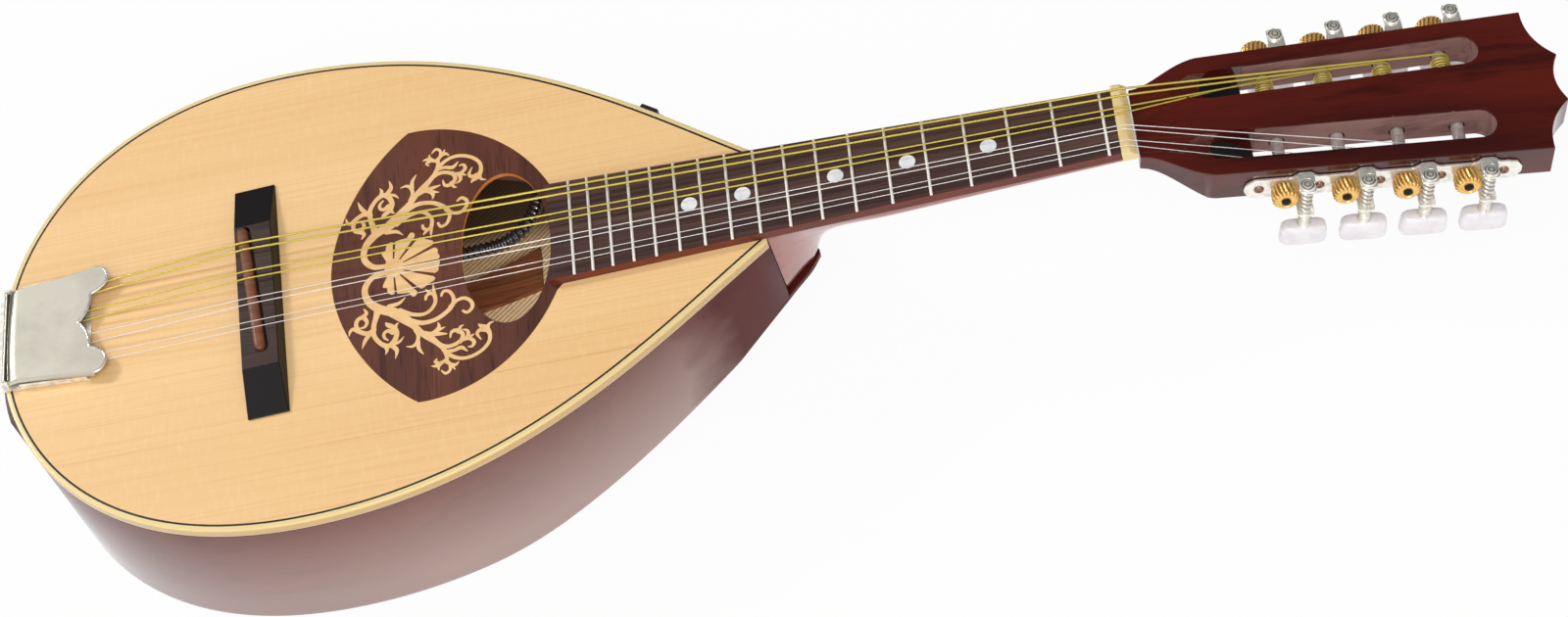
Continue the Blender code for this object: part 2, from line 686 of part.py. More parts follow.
def build_lining(name, low_of, high_of):
    """Build one lining strip inside the rim, round the tail from one side of the neck to the other."""
    inset = RIM_THICKNESS + TRIM_GAP
    sections = []
    for far, near in zip(body_outline(inset), body_outline(inset + LINING_WIDTH)):
        if far.x < LINING_END_X:
            sections.append([(far.x, far.y, low_of(far.x)), (far.x, far.y, high_of(far.x)),
                             (near.x, near.y, high_of(near.x)), (near.x, near.y, low_of(near.x))])
    return loft(name, sections, LINDEN)


def back_seat(x):
    """Return the height where something rests on the back plate's inner face."""
    return back_height(x) + BACK_THICKNESS + GAP


def build_linings():
    """Build the two linings that join the soundboard and the back to the rim."""
    top = build_lining("top_lining", lambda x: BLOCK_TOP - LINING_HEIGHT, lambda x: BLOCK_TOP)
    build_lining("back_lining", back_seat, lambda x: back_seat(x) + LINING_HEIGHT)
    boolean(top, preamp_opening())


def build_blocks():
    """Build the neck block and the tail block, which stand between back and soundboard."""
    low_x, high_x = NECK_BLOCK_X
    sections = []
    for x in (low_x, high_x):
        wide = half_width_at(x, RIM_THICKNESS + GAP) - BLOCK_MARGIN
        sections.append([(x, -wide + lean(x), back_seat(x)), (x, wide - lean(x), back_seat(x)),
                         (x, wide - lean(x) * 0.2, BLOCK_TOP), (x, -wide + lean(x) * 0.2, BLOCK_TOP)])
    loft("neck_block", sections, LINDEN)
    work = bmesh.new()
    inner = RIM_THICKNESS + TRIM_GAP
    near = [p.x for p in body_outline(inner) if p.x < 0.0 and abs(p.y) < TAIL_BLOCK_HALF + 0.008]
    add_box(work, (max(near) + GAP, -TAIL_BLOCK_HALF, BACK_THICKNESS + GAP),
            (TAIL_BLOCK_X, TAIL_BLOCK_HALF, BLOCK_TOP))
    block = solid("tail_block", work, LINDEN)
    for name, low, high in (("top", BLOCK_TOP - LINING_HEIGHT - GAP, BLOCK_TOP + 0.002),
                            ("back", 0.0, BACK_THICKNESS + GAP + LINING_HEIGHT + GAP)):
        ring = edge_ring("tail_block_notch_" + name, inner - 0.002, LINING_WIDTH + 0.002 + GAP, low, high, LINDEN)
        boolean(block, as_cutter(ring))
    boolean(block, end_pin_hole())


def brace_profile(half, height):
    """Return a brace's long side view, as (y, distance from the plate it is glued to)."""
    return [(-half, 0.0), (-half, BRACE_END_HEIGHT), (-half + BRACE_TAPER, height), (half - BRACE_TAPER, height),
            (half, BRACE_END_HEIGHT), (half, 0.0)]


def build_braces():
    """Build the cross braces glued under the soundboard and on the back, their ends cut down."""
    for name, x in TOP_BRACES:
        half = min(half_width_at(x - BRACE_WIDTH, BRACE_MARGIN), half_width_at(x + BRACE_WIDTH, BRACE_MARGIN))
        profile = brace_profile(half, TOP_BRACE_HEIGHT)
        loft(name, [[(x + side * BRACE_WIDTH / 2.0, y, BLOCK_TOP - z) for y, z in profile] for side in (-1, 1)],
             LINDEN, angle=20.0)
    for name, x in BACK_BRACES:
        half = min(half_width_at(x - BRACE_WIDTH, BRACE_MARGIN), half_width_at(x + BRACE_WIDTH, BRACE_MARGIN))
        profile = brace_profile(half, BACK_BRACE_HEIGHT)
        ends = (x - BACK_BRACE_WIDTH / 2.0, x + BACK_BRACE_WIDTH / 2.0)
        loft(name, [[(at, y, back_seat(at) + z) for y, z in profile] for at in ends], LINDEN, angle=20.0)


def rosette_outline(grow):
    """Return the rosette's pointed outline, grown outwards by a clearance."""
    tail = bezier((ROSETTE_TAIL_X, 0.0), *ROSETTE_TAIL_HANDLES, ROSETTE_CORNER, 8)
    neck = bezier(ROSETTE_CORNER, *ROSETTE_NECK_HANDLES, ROSETTE_NECK_CORNER, 8)
    half = tail + neck[1:] + [Vector(ROSETTE_TONGUE)]
    if grow:
        centre = Vector((HOLE_X - HOLE_HALF_LENGTH, 0.0))
        half = [point + (point - centre).normalized() * grow for point in half]
    return half + [Vector((point.x, -point.y)) for point in reversed(half[1:])]


def hole_outline(grow, sides=36):
    """Return the oval soundhole's outline."""
    result = []
    for k in range(sides):
        a = 2.0 * math.pi * k / sides
        result.append(Vector((HOLE_X + (HOLE_HALF_LENGTH + grow) * math.cos(a),
                              (HOLE_HALF_WIDTH + grow) * math.sin(a))))
    return result


def build_soundboard():
    """Build the spruce soundboard with its oval hole and the shallow recess for the rosette."""
    outline = body_outline(BINDING_WIDTH + TRIM_GAP + PURFLING_WIDTH + TRIM_GAP)
    board = solid("soundboard", flat_plate("soundboard", outline, TOP_Z - TOP_THICKNESS, TOP_Z), SPRUCE)
    depth = GAP + PANEL_THICKNESS + GAP
    recess = flat_plate("recess", rosette_outline(GAP), TOP_Z - depth, TOP_Z + 0.002)
    boolean(board, cutter("rosette_recess", recess))
    hole = flat_plate("hole", hole_outline(0.0), TOP_Z - 0.010, TOP_Z + 0.010)
    boolean(board, cutter("soundhole_cutter", hole))
    return board


def build_rosette_panel():
    """Build the rosewood panel round the soundhole."""
    high = TOP_Z - GAP
    work = flat_plate("rosette_panel", rosette_outline(0.0), high - PANEL_THICKNESS, high, (hole_outline(0.0),))
    return solid("rosette_panel", work, ROSEWOOD)


def stroke_outline(points, sign, steps):
    """Return the closed outline of a tapering stroke along a smooth curve through its points."""
    centres = []
    widths = []
    places = [Vector((x, y)) for x, y, _ in points]
    halves = [w for _, _, w in points]
    last = len(points) - 1
    for k in range(last):
        before = places[max(k - 1, 0)]
        after = places[min(k + 2, last)]
        for step in range(steps):
            t = step / steps
            a, b = places[k], places[k + 1]
            m0, m1 = (b - before) / 2.0, (after - a) / 2.0
            centres.append((2 * t ** 3 - 3 * t ** 2 + 1) * a + (t ** 3 - 2 * t ** 2 + t) * m0
                           + (3 * t ** 2 - 2 * t ** 3) * b + (t ** 3 - t ** 2) * m1)
            widths.append(halves[k] + (halves[k + 1] - halves[k]) * t)
    centres.append(places[-1])
    widths.append(halves[-1])
    left = []
    right = []
    for k, centre in enumerate(centres):
        along = (centres[min(k + 1, len(centres) - 1)] - centres[max(k - 1, 0)]).normalized()
        side = Vector((-along.y, along.x)) * widths[k]
        left.append(centre + side)
        right.append(centre - side)
    tip = centres[-1] + (centres[-1] - centres[-2]).normalized() * widths[-1] * 0.8
    loop = left + [tip] + list(reversed(right))
    return [Vector((p.x * MILLIMETRE, p.y * MILLIMETRE * sign)) for p in loop]


def lobe_outline(angle, reach, half_width, sign):
    """Return one ray of the shell: narrow at its root, wide and round at its rim."""
    way = Vector((math.cos(angle), math.sin(angle)))
    side = Vector((-way.y, way.x))
    root = Vector((SHELL_X, 0.0)) + way * SHELL_ROOT
    rim = Vector((SHELL_X, 0.0)) + way * (reach - half_width * 0.7)
    loop = [root - side * half_width * 0.3, rim - side * half_width, rim - side * half_width * 0.6 + way * half_width
            * 0.55, rim + way * half_width * 0.7, rim + side * half_width * 0.6 + way * half_width * 0.55,
            rim + side * half_width, root + side * half_width * 0.3]
    return [Vector((p.x, p.y * sign)) for p in loop]


def signed_area(loop):
    """Return a loop's area, positive where it runs counter-clockwise."""
    return sum(a.x * b.y - b.x * a.y for a, b in zip(loop, loop[1:] + loop[:1])) / 2.0


def hub_outline(sides=14):
    """Return the oval hub that the shell's rays and both scrolls spring from."""
    return [Vector((SHELL_X - 0.0005 + 0.0048 * math.cos(2 * math.pi * k / sides),
                    0.0050 * math.sin(2 * math.pi * k / sides))) for k in range(sides)]


def build_rosette_inlay():
    """Build the maple scrolls and shell: overlapping flat strokes joined into one flat figure."""
    loops = [hub_outline()]
    for sign in (1.0, -1.0):
        loops += [stroke_outline(points, sign, STROKE_STEPS) for points in SCROLL_STROKES]
        for k in range(SHELL_LOBES):
            loops.append(lobe_outline(math.radians(SHELL_ANGLES[k]), SHELL_REACH[k], SHELL_HALF_WIDTH[k], sign))
    places = []
    faces = []
    for loop in loops:
        start = len(places)
        places += loop if signed_area(loop) > 0.0 else list(reversed(loop))
        faces.append(list(range(start, start + len(loop))))
    verts, _, tris, _, _, owners = geometry.delaunay_2d_cdt(places, [], faces, 0, 0.00002)
    work = bmesh.new()
    corners = [work.verts.new((p.x, p.y, 0.0)) for p in verts]
    for tri, owner in zip(tris, owners):
        if owner:
            work.faces.new([corners[k] for k in tri])
    for vert in [v for v in work.verts if not v.link_faces]:
        work.verts.remove(vert)
    bmesh.ops.dissolve_limit(work, angle_limit=math.radians(5.0), verts=work.verts, edges=work.edges)
    bmesh.ops.triangulate(work, faces=work.faces)
    bmesh.ops.translate(work, verts=work.verts, vec=(0.0, 0.0, TOP_Z))
    grown = bmesh.ops.extrude_face_region(work, geom=work.faces[:])
    lifted = [item for item in grown["geom"] if isinstance(item, bmesh.types.BMVert)]
    bmesh.ops.translate(work, verts=lifted, vec=(0.0, 0.0, INLAY_THICKNESS))
    return solid("rosette_inlay", work, MAPLE)


def board_half_width(x):
    """Return the fretboard's half width at x."""
    share = (ZERO_FRET_X - x) / (ZERO_FRET_X - LAST_FRET_X)
    return (BOARD_WIDTH_NUT + (BOARD_WIDTH_END - BOARD_WIDTH_NUT) * share) / 2.0


def fret_x(number):
    """Return the place of a fret by the twelfth root of two; fret 0 is the zero fret."""
    return SCALE_LENGTH * 2.0 ** (-number / 12.0)


def build_neck():
    """Build the neck and its heel as one loft of U-shaped sections."""
    stations = []
    for offset, depth, low, power in NECK_STATIONS:
        x = JOINT_X + offset
        stations.append((x, min(depth, TOP_Z - back_seat(x)), low, power))
    last_x = stations[-1][0]
    end_x = HEAD_START_X - HEAD_JOINT_GAP
    for k in range(1, NECK_PLAIN_STATIONS + 1):
        share = k / NECK_PLAIN_STATIONS
        depth = NECK_DEPTH_HEEL + (NECK_DEPTH_NUT - NECK_DEPTH_HEEL) * share
        stations.append((last_x + (end_x - last_x) * share, depth, None, 2.2))
    sections = []
    tilt = math.tan(math.radians(HEAD_ANGLE))
    for number, (x, depth, low, power) in enumerate(stations):
        wide = board_half_width(x)
        base = wide * 0.97 if low is None else low
        shear = tilt if number == len(stations) - 1 else 0.0
        half = []
        for k in range(NECK_HALF_POINTS + 1):
            s = math.sin(math.pi / 2.0 * k / NECK_HALF_POINTS)
            flare = wide + (base - wide) * s
            half.append((flare * (1.0 - s ** power) ** (1.0 / power), s * depth))
        ring = [(x - d * shear, y, TOP_Z - d) for y, d in half]
        ring += [(x - d * shear, -y, TOP_Z - d) for y, d in reversed(half[:-1])]
        sections.append(ring)
    return loft("neck", sections, MAHOGANY)


def fret_loft(work, number, low):
    """Add one rounded fret wire across the board, its foot at the height low."""
    crown = BOARD_TOP_Z + FRET_HEIGHT
    shoulder = BOARD_TOP_Z + FRET_HEIGHT * 0.7
    half = FRET_WIDTH / 2.0
    x = fret_x(number)
    wide = board_half_width(x) - FRET_END_INSET
    profile = [(-half, low), (-half * 0.6, shoulder), (0.0, crown), (half * 0.6, shoulder), (half, low)]
    add_loft(work, [[(x + dx, side * wide, z) for dx, z in profile] for side in (-1.0, 1.0)])


def build_fretboard():
    """Build the fretboard with its pressed-in frets; its hollow end follows the soundhole."""
    right = NUT_FRONT_X - GAP
    wide = board_half_width(BOARD_END_X)
    end = []
    for k in range(7):
        share = 1.0 - k / 3.0
        end.append(Vector((BOARD_END_X + BOARD_END_HOLLOW * (1.0 - share * share), wide * share)))
    outline = [Vector((right, board_half_width(right)))] + end + [Vector((right, -board_half_width(right)))]
    board = solid("fretboard", flat_plate("fretboard", outline, TOP_Z + GAP, BOARD_TOP_Z), ROSEWOOD)
    work = bmesh.new()
    for number in range(1, FRET_COUNT + 1):
        fret_loft(work, number, BOARD_TOP_Z - FRET_TANG)
    boolean(board, cutter("fretboard_fret_union", work), "UNION")
    work = bmesh.new()
    fret_loft(work, 0, BOARD_TOP_Z + TRIM_GAP)
    solid("zero_fret", work, STEEL, 50.0)


def saddle_x(index):
    """Return where the slanting saddle's crown carries a string."""
    return SADDLE_CENTRE[0] - (STRING_SADDLE_Y[index] - SADDLE_CENTRE[1]) * math.tan(math.radians(SADDLE_SKEW))


def string_nut_height(index):
    """Return the height of a string's centre over the zero fret and in the nut."""
    return BOARD_TOP_Z + FRET_HEIGHT + TRIM_GAP + STRING_RADIUS[index]


def build_nut():
    """Build the nut, its back half sloping down, notched for the strings."""
    back = NUT_FRONT_X + NUT_LENGTH
    low = TOP_Z + GAP
    high = BOARD_TOP_Z + NUT_RISE
    profile = [(NUT_FRONT_X, low), (back, low + HEAD_FACE_RISE), (back, high - NUT_BACK_DROP),
               (NUT_CREST_X, high), (NUT_FRONT_X, high)]
    sections = [[(x, side * NUT_WIDTH / 2.0, z) for x, z in profile] for side in (-1.0, 1.0)]
    nut = loft("nut", sections, IVOROID, angle=20.0)
    work = bmesh.new()
    for index, y in enumerate(STRING_NUT_Y):
        half = STRING_RADIUS[index] + TRIM_GAP
        floor = string_nut_height(index) - half - TRIM_GAP / 2.0
        add_box(work, (NUT_FRONT_X - 0.002, y - half, floor), (back + 0.002, y + half, high + 0.002))
    boolean(nut, cutter("nut_notches", work))


def bridge_matrix():
    """Return the frame of the skewed bridge: x across its width, y along it, z up."""
    return Matrix.Translation((0.0, 0.0, TOP_Z + GAP)) @ Matrix.Rotation(math.radians(BRIDGE_SKEW), 4, "Z")


def build_bridge():
    """Build the ebony bridge: flat top, ends sloping down, leaning front, slot for the saddle."""
    place = bridge_matrix()
    tail = BRIDGE_TAIL_X
    sections = []
    full = BRIDGE_LENGTH / 2.0
    flat = BRIDGE_FLAT_LENGTH / 2.0
    for y, height in ((-full, BRIDGE_END_HEIGHT), (-flat, BRIDGE_HEIGHT), (flat, BRIDGE_HEIGHT),
                      (full, BRIDGE_END_HEIGHT)):
        front = tail + BRIDGE_TOP_WIDTH + BRIDGE_FRONT_SLOPE
        slope = BRIDGE_FRONT_SLOPE * height / BRIDGE_HEIGHT
        sections.append([place @ Vector(p) for p in ((tail, y, 0.0), (front, y, 0.0), (front - slope, y, height),
                                                     (tail, y, height))])
    bridge = loft("bridge_base", sections, EBONY, angle=20.0)
    seat = saddle_matrix()
    half = SADDLE_LENGTH / 2.0 + GAP
    wide = SADDLE_WIDTH / 2.0 + GAP
    floor = BRIDGE_HEIGHT - SADDLE_SLOT_DEPTH
    outline = []
    for k in range(7):
        a = math.pi * k / 6.0
        outline.append((wide * math.cos(a), half - wide + wide * math.sin(a)))
    for k in range(7):
        a = math.pi + math.pi * k / 6.0
        outline.append((wide * math.cos(a), -half + wide + wide * math.sin(a)))
    work = flat_plate("saddle_slot", outline, floor, BRIDGE_HEIGHT + 0.004)
    bmesh.ops.transform(work, matrix=seat, verts=work.verts)
    boolean(bridge, cutter("saddle_slot_cutter", work))
    return bridge


def saddle_matrix():
    """Return the frame of the slanting saddle, its origin on the soundboard's plane."""
    return (Matrix.Translation((SADDLE_CENTRE[0], SADDLE_CENTRE[1], TOP_Z + GAP))
            @ Matrix.Rotation(math.radians(SADDLE_SKEW), 4, "Z"))


def build_saddle():
    """Build the saddle rod: rounded crown and rounded ends, seated in the bridge's slot."""
    seat = saddle_matrix()
    floor = BRIDGE_HEIGHT - SADDLE_SLOT_DEPTH + GAP
    crown = SADDLE_TOP - GAP
    half = SADDLE_LENGTH / 2.0
    sections = []
    for y, share, rise in ((-half, 0.35, 0.55), (-half + 0.0010, 0.80, 0.80), (-half + 0.0025, 1.0, 0.97),
                           (-half + 0.0045, 1.0, 1.0), (half - 0.0045, 1.0, 1.0), (half - 0.0025, 1.0, 0.97),
                           (half - 0.0010, 0.80, 0.80), (half, 0.35, 0.55)):
        wide = SADDLE_WIDTH / 2.0 * share
        top = floor + (crown - floor) * rise
        shoulder = floor + (top - floor) * 0.72
        sections.append([seat @ Vector(p) for p in ((-wide, y, floor), (wide, y, floor), (wide, y, shoulder),
                                                    (wide * 0.55, y, top - 0.0004), (0.0, y, top),
                                                    (-wide * 0.55, y, top - 0.0004), (-wide, y, shoulder))])
    return loft("bridge_saddle", sections, SADDLE_WOOD, angle=40.0)


TAIL_EDGE_X = TAIL_X - EDGE_TO_TEMPLATE
FLANGE_OUT = GAP + GUARD_THICKNESS + GAP
PLATE_TOP_Z = TOP_Z + GAP + PLATE_THICKNESS
HINGE_Z = PLATE_TOP_Z + GAP + BARREL_RADIUS


def sheet(work, path, halves, thickness):
    """Add a bent sheet: its outer face runs along (x, z) points, and it is as thick as given inwards."""
    sections = []
    last = len(path) - 1
    for k, (x, z) in enumerate(path):
        along = (Vector(path[min(k + 1, last)]) - Vector(path[max(k - 1, 0)])).normalized()
        inward = Vector((along.y, -along.x)) * thickness
        wide = halves[k]
        sections.append([(x, -wide, z), (x, wide, z), (x - inward.x, wide, z - inward.y),
                         (x - inward.x, -wide, z - inward.y)])
    add_loft(work, sections)


def end_pin_hole():
    """Return the cutter for the end pin's shank, made once."""
    if "end_pin_hole" in bpy.data.objects:
        return bpy.data.objects["end_pin_hole"]
    work = bmesh.new()
    z = TOP_Z - END_PIN_DROP
    add_cylinder(work, END_PIN_SHANK + GAP, (TAIL_EDGE_X - 0.010, 0.0, z), (TAIL_BLOCK_X + 0.002, 0.0, z), 12)
    return cutter("end_pin_hole", work)


def build_tail_guard():
    """Build the wooden guard on the tail rim, under the tailpiece's flange."""
    top = TOP_Z - GUARD_TOP
    steps = 12
    sections = []
    for k in range(steps + 1):
        y = GUARD_HALF_WIDTH * (1.0 - 2.0 * k / steps)
        near = tail_point(y, -GAP)
        far = tail_point(y, -GAP - GUARD_THICKNESS)
        sections.append([(near.x, near.y, TOP_Z - GUARD_FOOT), (near.x, near.y, top),
                         (far.x, far.y, top - GUARD_CHAMFER), (far.x, far.y, TOP_Z - GUARD_FOOT)])
    boolean(loft("tail_guard", sections, MAHOGANY, angle=20.0), end_pin_hole())


def build_end_pin():
    """Build the end pin: a turned button whose shank goes through the tail."""
    face = FLANGE_OUT + PLATE_THICKNESS + GAP
    inner = -(TAIL_BLOCK_X - TAIL_EDGE_X)
    profile = [(0.0, face + END_PIN_LENGTH), (END_PIN_RADIUS * 0.7, face + END_PIN_LENGTH),
               (END_PIN_RADIUS, face + END_PIN_LENGTH - 0.0015), (END_PIN_RADIUS, face + END_PIN_LENGTH * 0.7),
               (END_PIN_NECK, face + END_PIN_LENGTH * 0.45), (END_PIN_NECK + 0.0008, face), (END_PIN_SHANK, face),
               (END_PIN_SHANK, inner), (0.0, inner)]
    place = Matrix.Translation((TAIL_EDGE_X, 0.0, TOP_Z - END_PIN_DROP)) @ Matrix.Rotation(-math.pi / 2.0, 4, "Y")
    turned("end_pin", profile, 16, place, NICKEL)


def build_tailpiece_base():
    """Build the string holder: plate, side lips, hooks, hinge ears and the flange down the tail."""
    low = TOP_Z + GAP
    high = PLATE_TOP_Z
    front = PLATE_FRONT_X
    tail = TAIL_EDGE_X - GAP - PLATE_THICKNESS
    outline = [(front, PLATE_FRONT_HALF), (tail, PLATE_TAIL_HALF), (tail, -PLATE_TAIL_HALF),
               (front, -PLATE_FRONT_HALF)]
    plate = solid("tailpiece_base", flat_plate("plate", outline, low, high), NICKEL)
    bury = PLATE_THICKNESS / 2.0
    work = bmesh.new()
    for sign in (1.0, -1.0):
        sections = []
        for x, wide in ((front - 0.001, PLATE_FRONT_HALF - TRIM_GAP), (tail + 0.010, PLATE_TAIL_HALF + 0.0004)):
            inner = sign * (wide - LIP_THICKNESS)
            sections.append([(x, inner, high - bury), (x, sign * wide, high - bury),
                             (x, sign * wide, low + PLATE_LIP), (x, inner, low + PLATE_LIP)])
        add_loft(work, sections)
        ear = COVER_TAIL_HALF + GAP
        ends = sorted((sign * ear, sign * (ear + EAR_THICKNESS)))
        add_box(work, (HINGE_X - BARREL_RADIUS, ends[0], high - bury),
                (HINGE_X + BARREL_RADIUS, ends[1], HINGE_Z + BARREL_RADIUS))
    for index, y in enumerate(STRING_TAIL_Y):
        x = HOOK_X - HOOK_RADIUS - GAP
        top = TOP_Z + STRING_TAIL_HEIGHT + STRING_RADIUS[index]
        add_cylinder(work, HOOK_RADIUS, (x, y, high - bury), (x, y, top), 6)
    out = TAIL_EDGE_X - FLANGE_OUT - PLATE_THICKNESS
    path = [(tail, low + bury), (tail, TOP_Z - GUARD_TOP / 2.0), (out, TOP_Z - GUARD_TOP - GUARD_CHAMFER),
            (out, TOP_Z - FLANGE_LENGTH)]
    sheet(work, path, [FLANGE_HALF_WIDTH] * len(path), PLATE_THICKNESS)
    boolean(plate, cutter("tailpiece_base_union", work), "UNION")
    work = bmesh.new()
    add_cylinder(work, HINGE_PIN_RADIUS + GAP, (HINGE_X, -0.03, HINGE_Z), (HINGE_X, 0.03, HINGE_Z), 10)
    boolean(plate, cutter("hinge_ear_bore", work))
    boolean(plate, end_pin_hole())


def build_hinge_pin():
    """Build the pin that the cover turns on, held in the plate's two ears."""
    work = bmesh.new()
    half = COVER_TAIL_HALF + GAP + EAR_THICKNESS
    add_cylinder(work, HINGE_PIN_RADIUS, (HINGE_X, -half, HINGE_Z), (HINGE_X, half, HINGE_Z), 10)
    solid("hinge_pin", work, STEEL)


def cover_outline():
    """Return the cover's outline: tapering sides and a front of two lobes, two hollows and a cusp."""
    half = [(COVER_BEND_X, COVER_TAIL_HALF), *COVER_SIDE, *COVER_LOBE, *COVER_HOLLOW]
    return half + [(x, -y) for x, y in reversed(half[:-1])]


def build_cover():
    """Build the tailpiece cover: a flat sheet with a scalloped front, rolled round its hinge pin."""
    high = TOP_Z + COVER_HEIGHT
    cover = solid("tailpiece_cover", flat_plate("cover", cover_outline(), high - COVER_THICKNESS, high), NICKEL)
    work = bmesh.new()
    wide = COVER_TAIL_HALF - TRIM_GAP
    section = [(COVER_BEND_X + 0.0010, high - COVER_THICKNESS * 0.9), (COVER_BEND_X + 0.0010, high - TRIM_GAP / 4.0),
               (COVER_BEND_X - 0.0012, high - TRIM_GAP / 2.0), (HINGE_X + BARREL_RADIUS * 0.3, HINGE_Z + BARREL_RADIUS),
               (HINGE_X - BARREL_RADIUS * 0.2, HINGE_Z + BARREL_RADIUS * 0.9),
               (HINGE_X + BARREL_RADIUS * 0.8, HINGE_Z + BARREL_RADIUS * 0.4)]
    add_loft(work, [[(x, side * wide, z) for x, z in section] for side in (-1.0, 1.0)])
    boolean(cover, cutter("cover_roll_union", work), "UNION")
    work = bmesh.new()
    add_cylinder(work, BARREL_RADIUS, (HINGE_X, -wide, HINGE_Z), (HINGE_X, wide, HINGE_Z), 12)
    boolean(cover, cutter("cover_barrel_union", work), "UNION")
    work = bmesh.new()
    add_cylinder(work, HINGE_PIN_RADIUS + GAP, (HINGE_X, -0.03, HINGE_Z), (HINGE_X, 0.03, HINGE_Z), 10)
    boolean(cover, cutter("cover_bore", work))
    hang(cover, (HINGE_X, 0.0, HINGE_Z))


HEAD_FRAME = (Matrix.Translation((HEAD_START_X, 0.0, TOP_Z + HEAD_FACE_RISE))
              @ Matrix.Rotation(math.radians(HEAD_ANGLE), 4, "Y"))
HEAD_SIDE_SLOPE = (HEAD_TIP[1] - HEAD_CORNER[1]) / (HEAD_TIP[0] - HEAD_CORNER[0])
HEAD_SIDE_START = HEAD_CORNER[1] - HEAD_CORNER[0] * HEAD_SIDE_SLOPE
SIDES = (("bass", 1.0), ("treble", -1.0))


def tuner_frame(sign):
    """Return the frame of one side's machine heads: x towards the tip, y outwards, z off the face."""
    return (HEAD_FRAME @ Matrix.Translation((0.0, sign * HEAD_SIDE_START, 0.0))
            @ Matrix.Rotation(sign * math.atan(HEAD_SIDE_SLOPE), 4, "Z") @ Matrix.Diagonal((1.0, sign, 1.0, 1.0)))


def roller_x(number):
    """Return a roller's place along the machine head."""
    return FIRST_ROLLER_U + TUNER_PITCH * number


def scallop(start, end, hollow, count=5):
    """Return the points of a concave arc from start to end, both ends included."""
    start = Vector(start)
    end = Vector(end)
    along = (end - start).normalized()
    inward = Vector((along.y, -along.x))
    result = []
    for k in range(count + 1):
        t = k / count
        result.append(start.lerp(end, t) + inward * hollow * 4.0 * t * (1.0 - t))
    return result


def head_outline():
    """Return the headstock's outline: flared shoulders, straight sides and a crest of three scallops."""
    start = Vector((0.0, HEAD_NUT_HALF))
    corner = Vector(HEAD_CORNER)
    shoulder = bezier(start, start + Vector((0.0090, 0.0004)), corner - Vector((0.0110, 0.0012)), corner, 7)
    tip = Vector(HEAD_TIP)
    crest = Vector(HEAD_CREST)
    side = shoulder + scallop(tip, crest, CREST_HOLLOW)
    middle = scallop(crest, (crest.x, -crest.y), CREST_HOLLOW)[1:-1]
    return side + middle + [Vector((p.x, -p.y)) for p in reversed(side)]


def slot_outline(sign, sides=8):
    """Return a string slot's outline: a splayed stadium with round ends."""
    radius = SLOT_WIDTH / 2.0
    splay = math.radians(SLOT_SPLAY)
    way = Vector((math.cos(splay), math.sin(splay)))
    start = Vector((SLOT_START_U, SLOT_START_V)) + way * radius
    end = Vector((SLOT_START_U, SLOT_START_V)) + way * (SLOT_LENGTH - radius)
    points = []
    for centre, first in ((end, splay - math.pi / 2.0), (start, splay + math.pi / 2.0)):
        for k in range(sides + 1):
            a = first + math.pi * k / sides
            points.append(centre + Vector((math.cos(a), math.sin(a))) * radius)
    return [Vector((p.x, p.y * sign)) for p in points]


def build_headstock():
    """Build the slotted headstock, thinner at the nut, with ramps, roller holes and screw holes."""
    work = flat_plate("headstock", head_outline(), -HEAD_THICKNESS, 0.0)
    bmesh.ops.transform(work, matrix=HEAD_FRAME, verts=work.verts)
    head = solid("headstock", work, MAHOGANY, 20.0)
    deep = HEAD_THICKNESS + 0.004
    slots = []
    for sign in (1.0, -1.0):
        slot = flat_plate("slot", slot_outline(sign), -deep, 0.004)
        slots.append(slot)
        ramp = bmesh.new()
        inner = (SLOT_START_V - SLOT_WIDTH / 2.0 - 0.0008) * sign
        outer = (SLOT_START_V + SLOT_WIDTH / 2.0) * sign
        rise = 0.0010
        start = RAMP_START_U - rise / RAMP_SLOPE
        end = RAMP_START_U + RAMP_LENGTH
        profile = [(start, rise), (end, -RAMP_LENGTH * RAMP_SLOPE), (end, rise)]
        add_loft(ramp, [[(u, v, n) for u, n in profile] for v in (inner, outer)])
        bmesh.ops.recalc_face_normals(ramp, faces=ramp.faces)
        slots.append(ramp)
    for number, work in enumerate(slots):
        bmesh.ops.transform(work, matrix=HEAD_FRAME, verts=work.verts)
        boolean(head, cutter(f"head_slot_{number}", work))
    work = bmesh.new()
    for _, sign in SIDES:
        place = tuner_frame(sign)
        for number in range(TUNER_COUNT):
            x = roller_x(number)
            add_cylinder(work, ROLLER_RADIUS + TURN_GAP + TRIM_GAP / 2.0, (x, 0.002, -TUNER_DEPTH),
                         (x, -ROLLER_HOLE_REACH, -TUNER_DEPTH), 10, place)
        for x in screw_places():
            add_cylinder(work, SCREW_HOLE_RADIUS, (x, 0.002, -TUNER_DEPTH), (x, -SCREW_LENGTH, -TUNER_DEPTH), 6, place)
    boolean(head, cutter("head_bores", work))
    work = bmesh.new()
    thin = HEAD_THICKNESS - HEAD_THICKNESS_NUT
    profile = [(-0.003, -deep), (-0.003, -HEAD_THICKNESS_NUT + 0.0004)]
    for k in range(6):
        share = k / 5.0
        profile.append((VOLUTE_LENGTH * share, -HEAD_THICKNESS_NUT - thin * share ** 1.7))
    profile.append((VOLUTE_LENGTH + 0.002, -deep))
    add_loft(work, [[HEAD_FRAME @ Vector((u, side * 0.045, n)) for u, n in profile] for side in (-1.0, 1.0)])
    boolean(head, cutter("volute_cutter", work))


def screw_places():
    """Return the wood screws' places along a machine head."""
    places = [roller_x(number) - SCREW_LEAD for number in range(TUNER_COUNT)]
    return places + [roller_x(TUNER_COUNT - 1) + LAST_SCREW_LAG]


SIDE_VIEW = Matrix(((1, 0, 0, 0), (0, 0, 1, 0), (0, 1, 0, 0), (0, 0, 0, 1)))


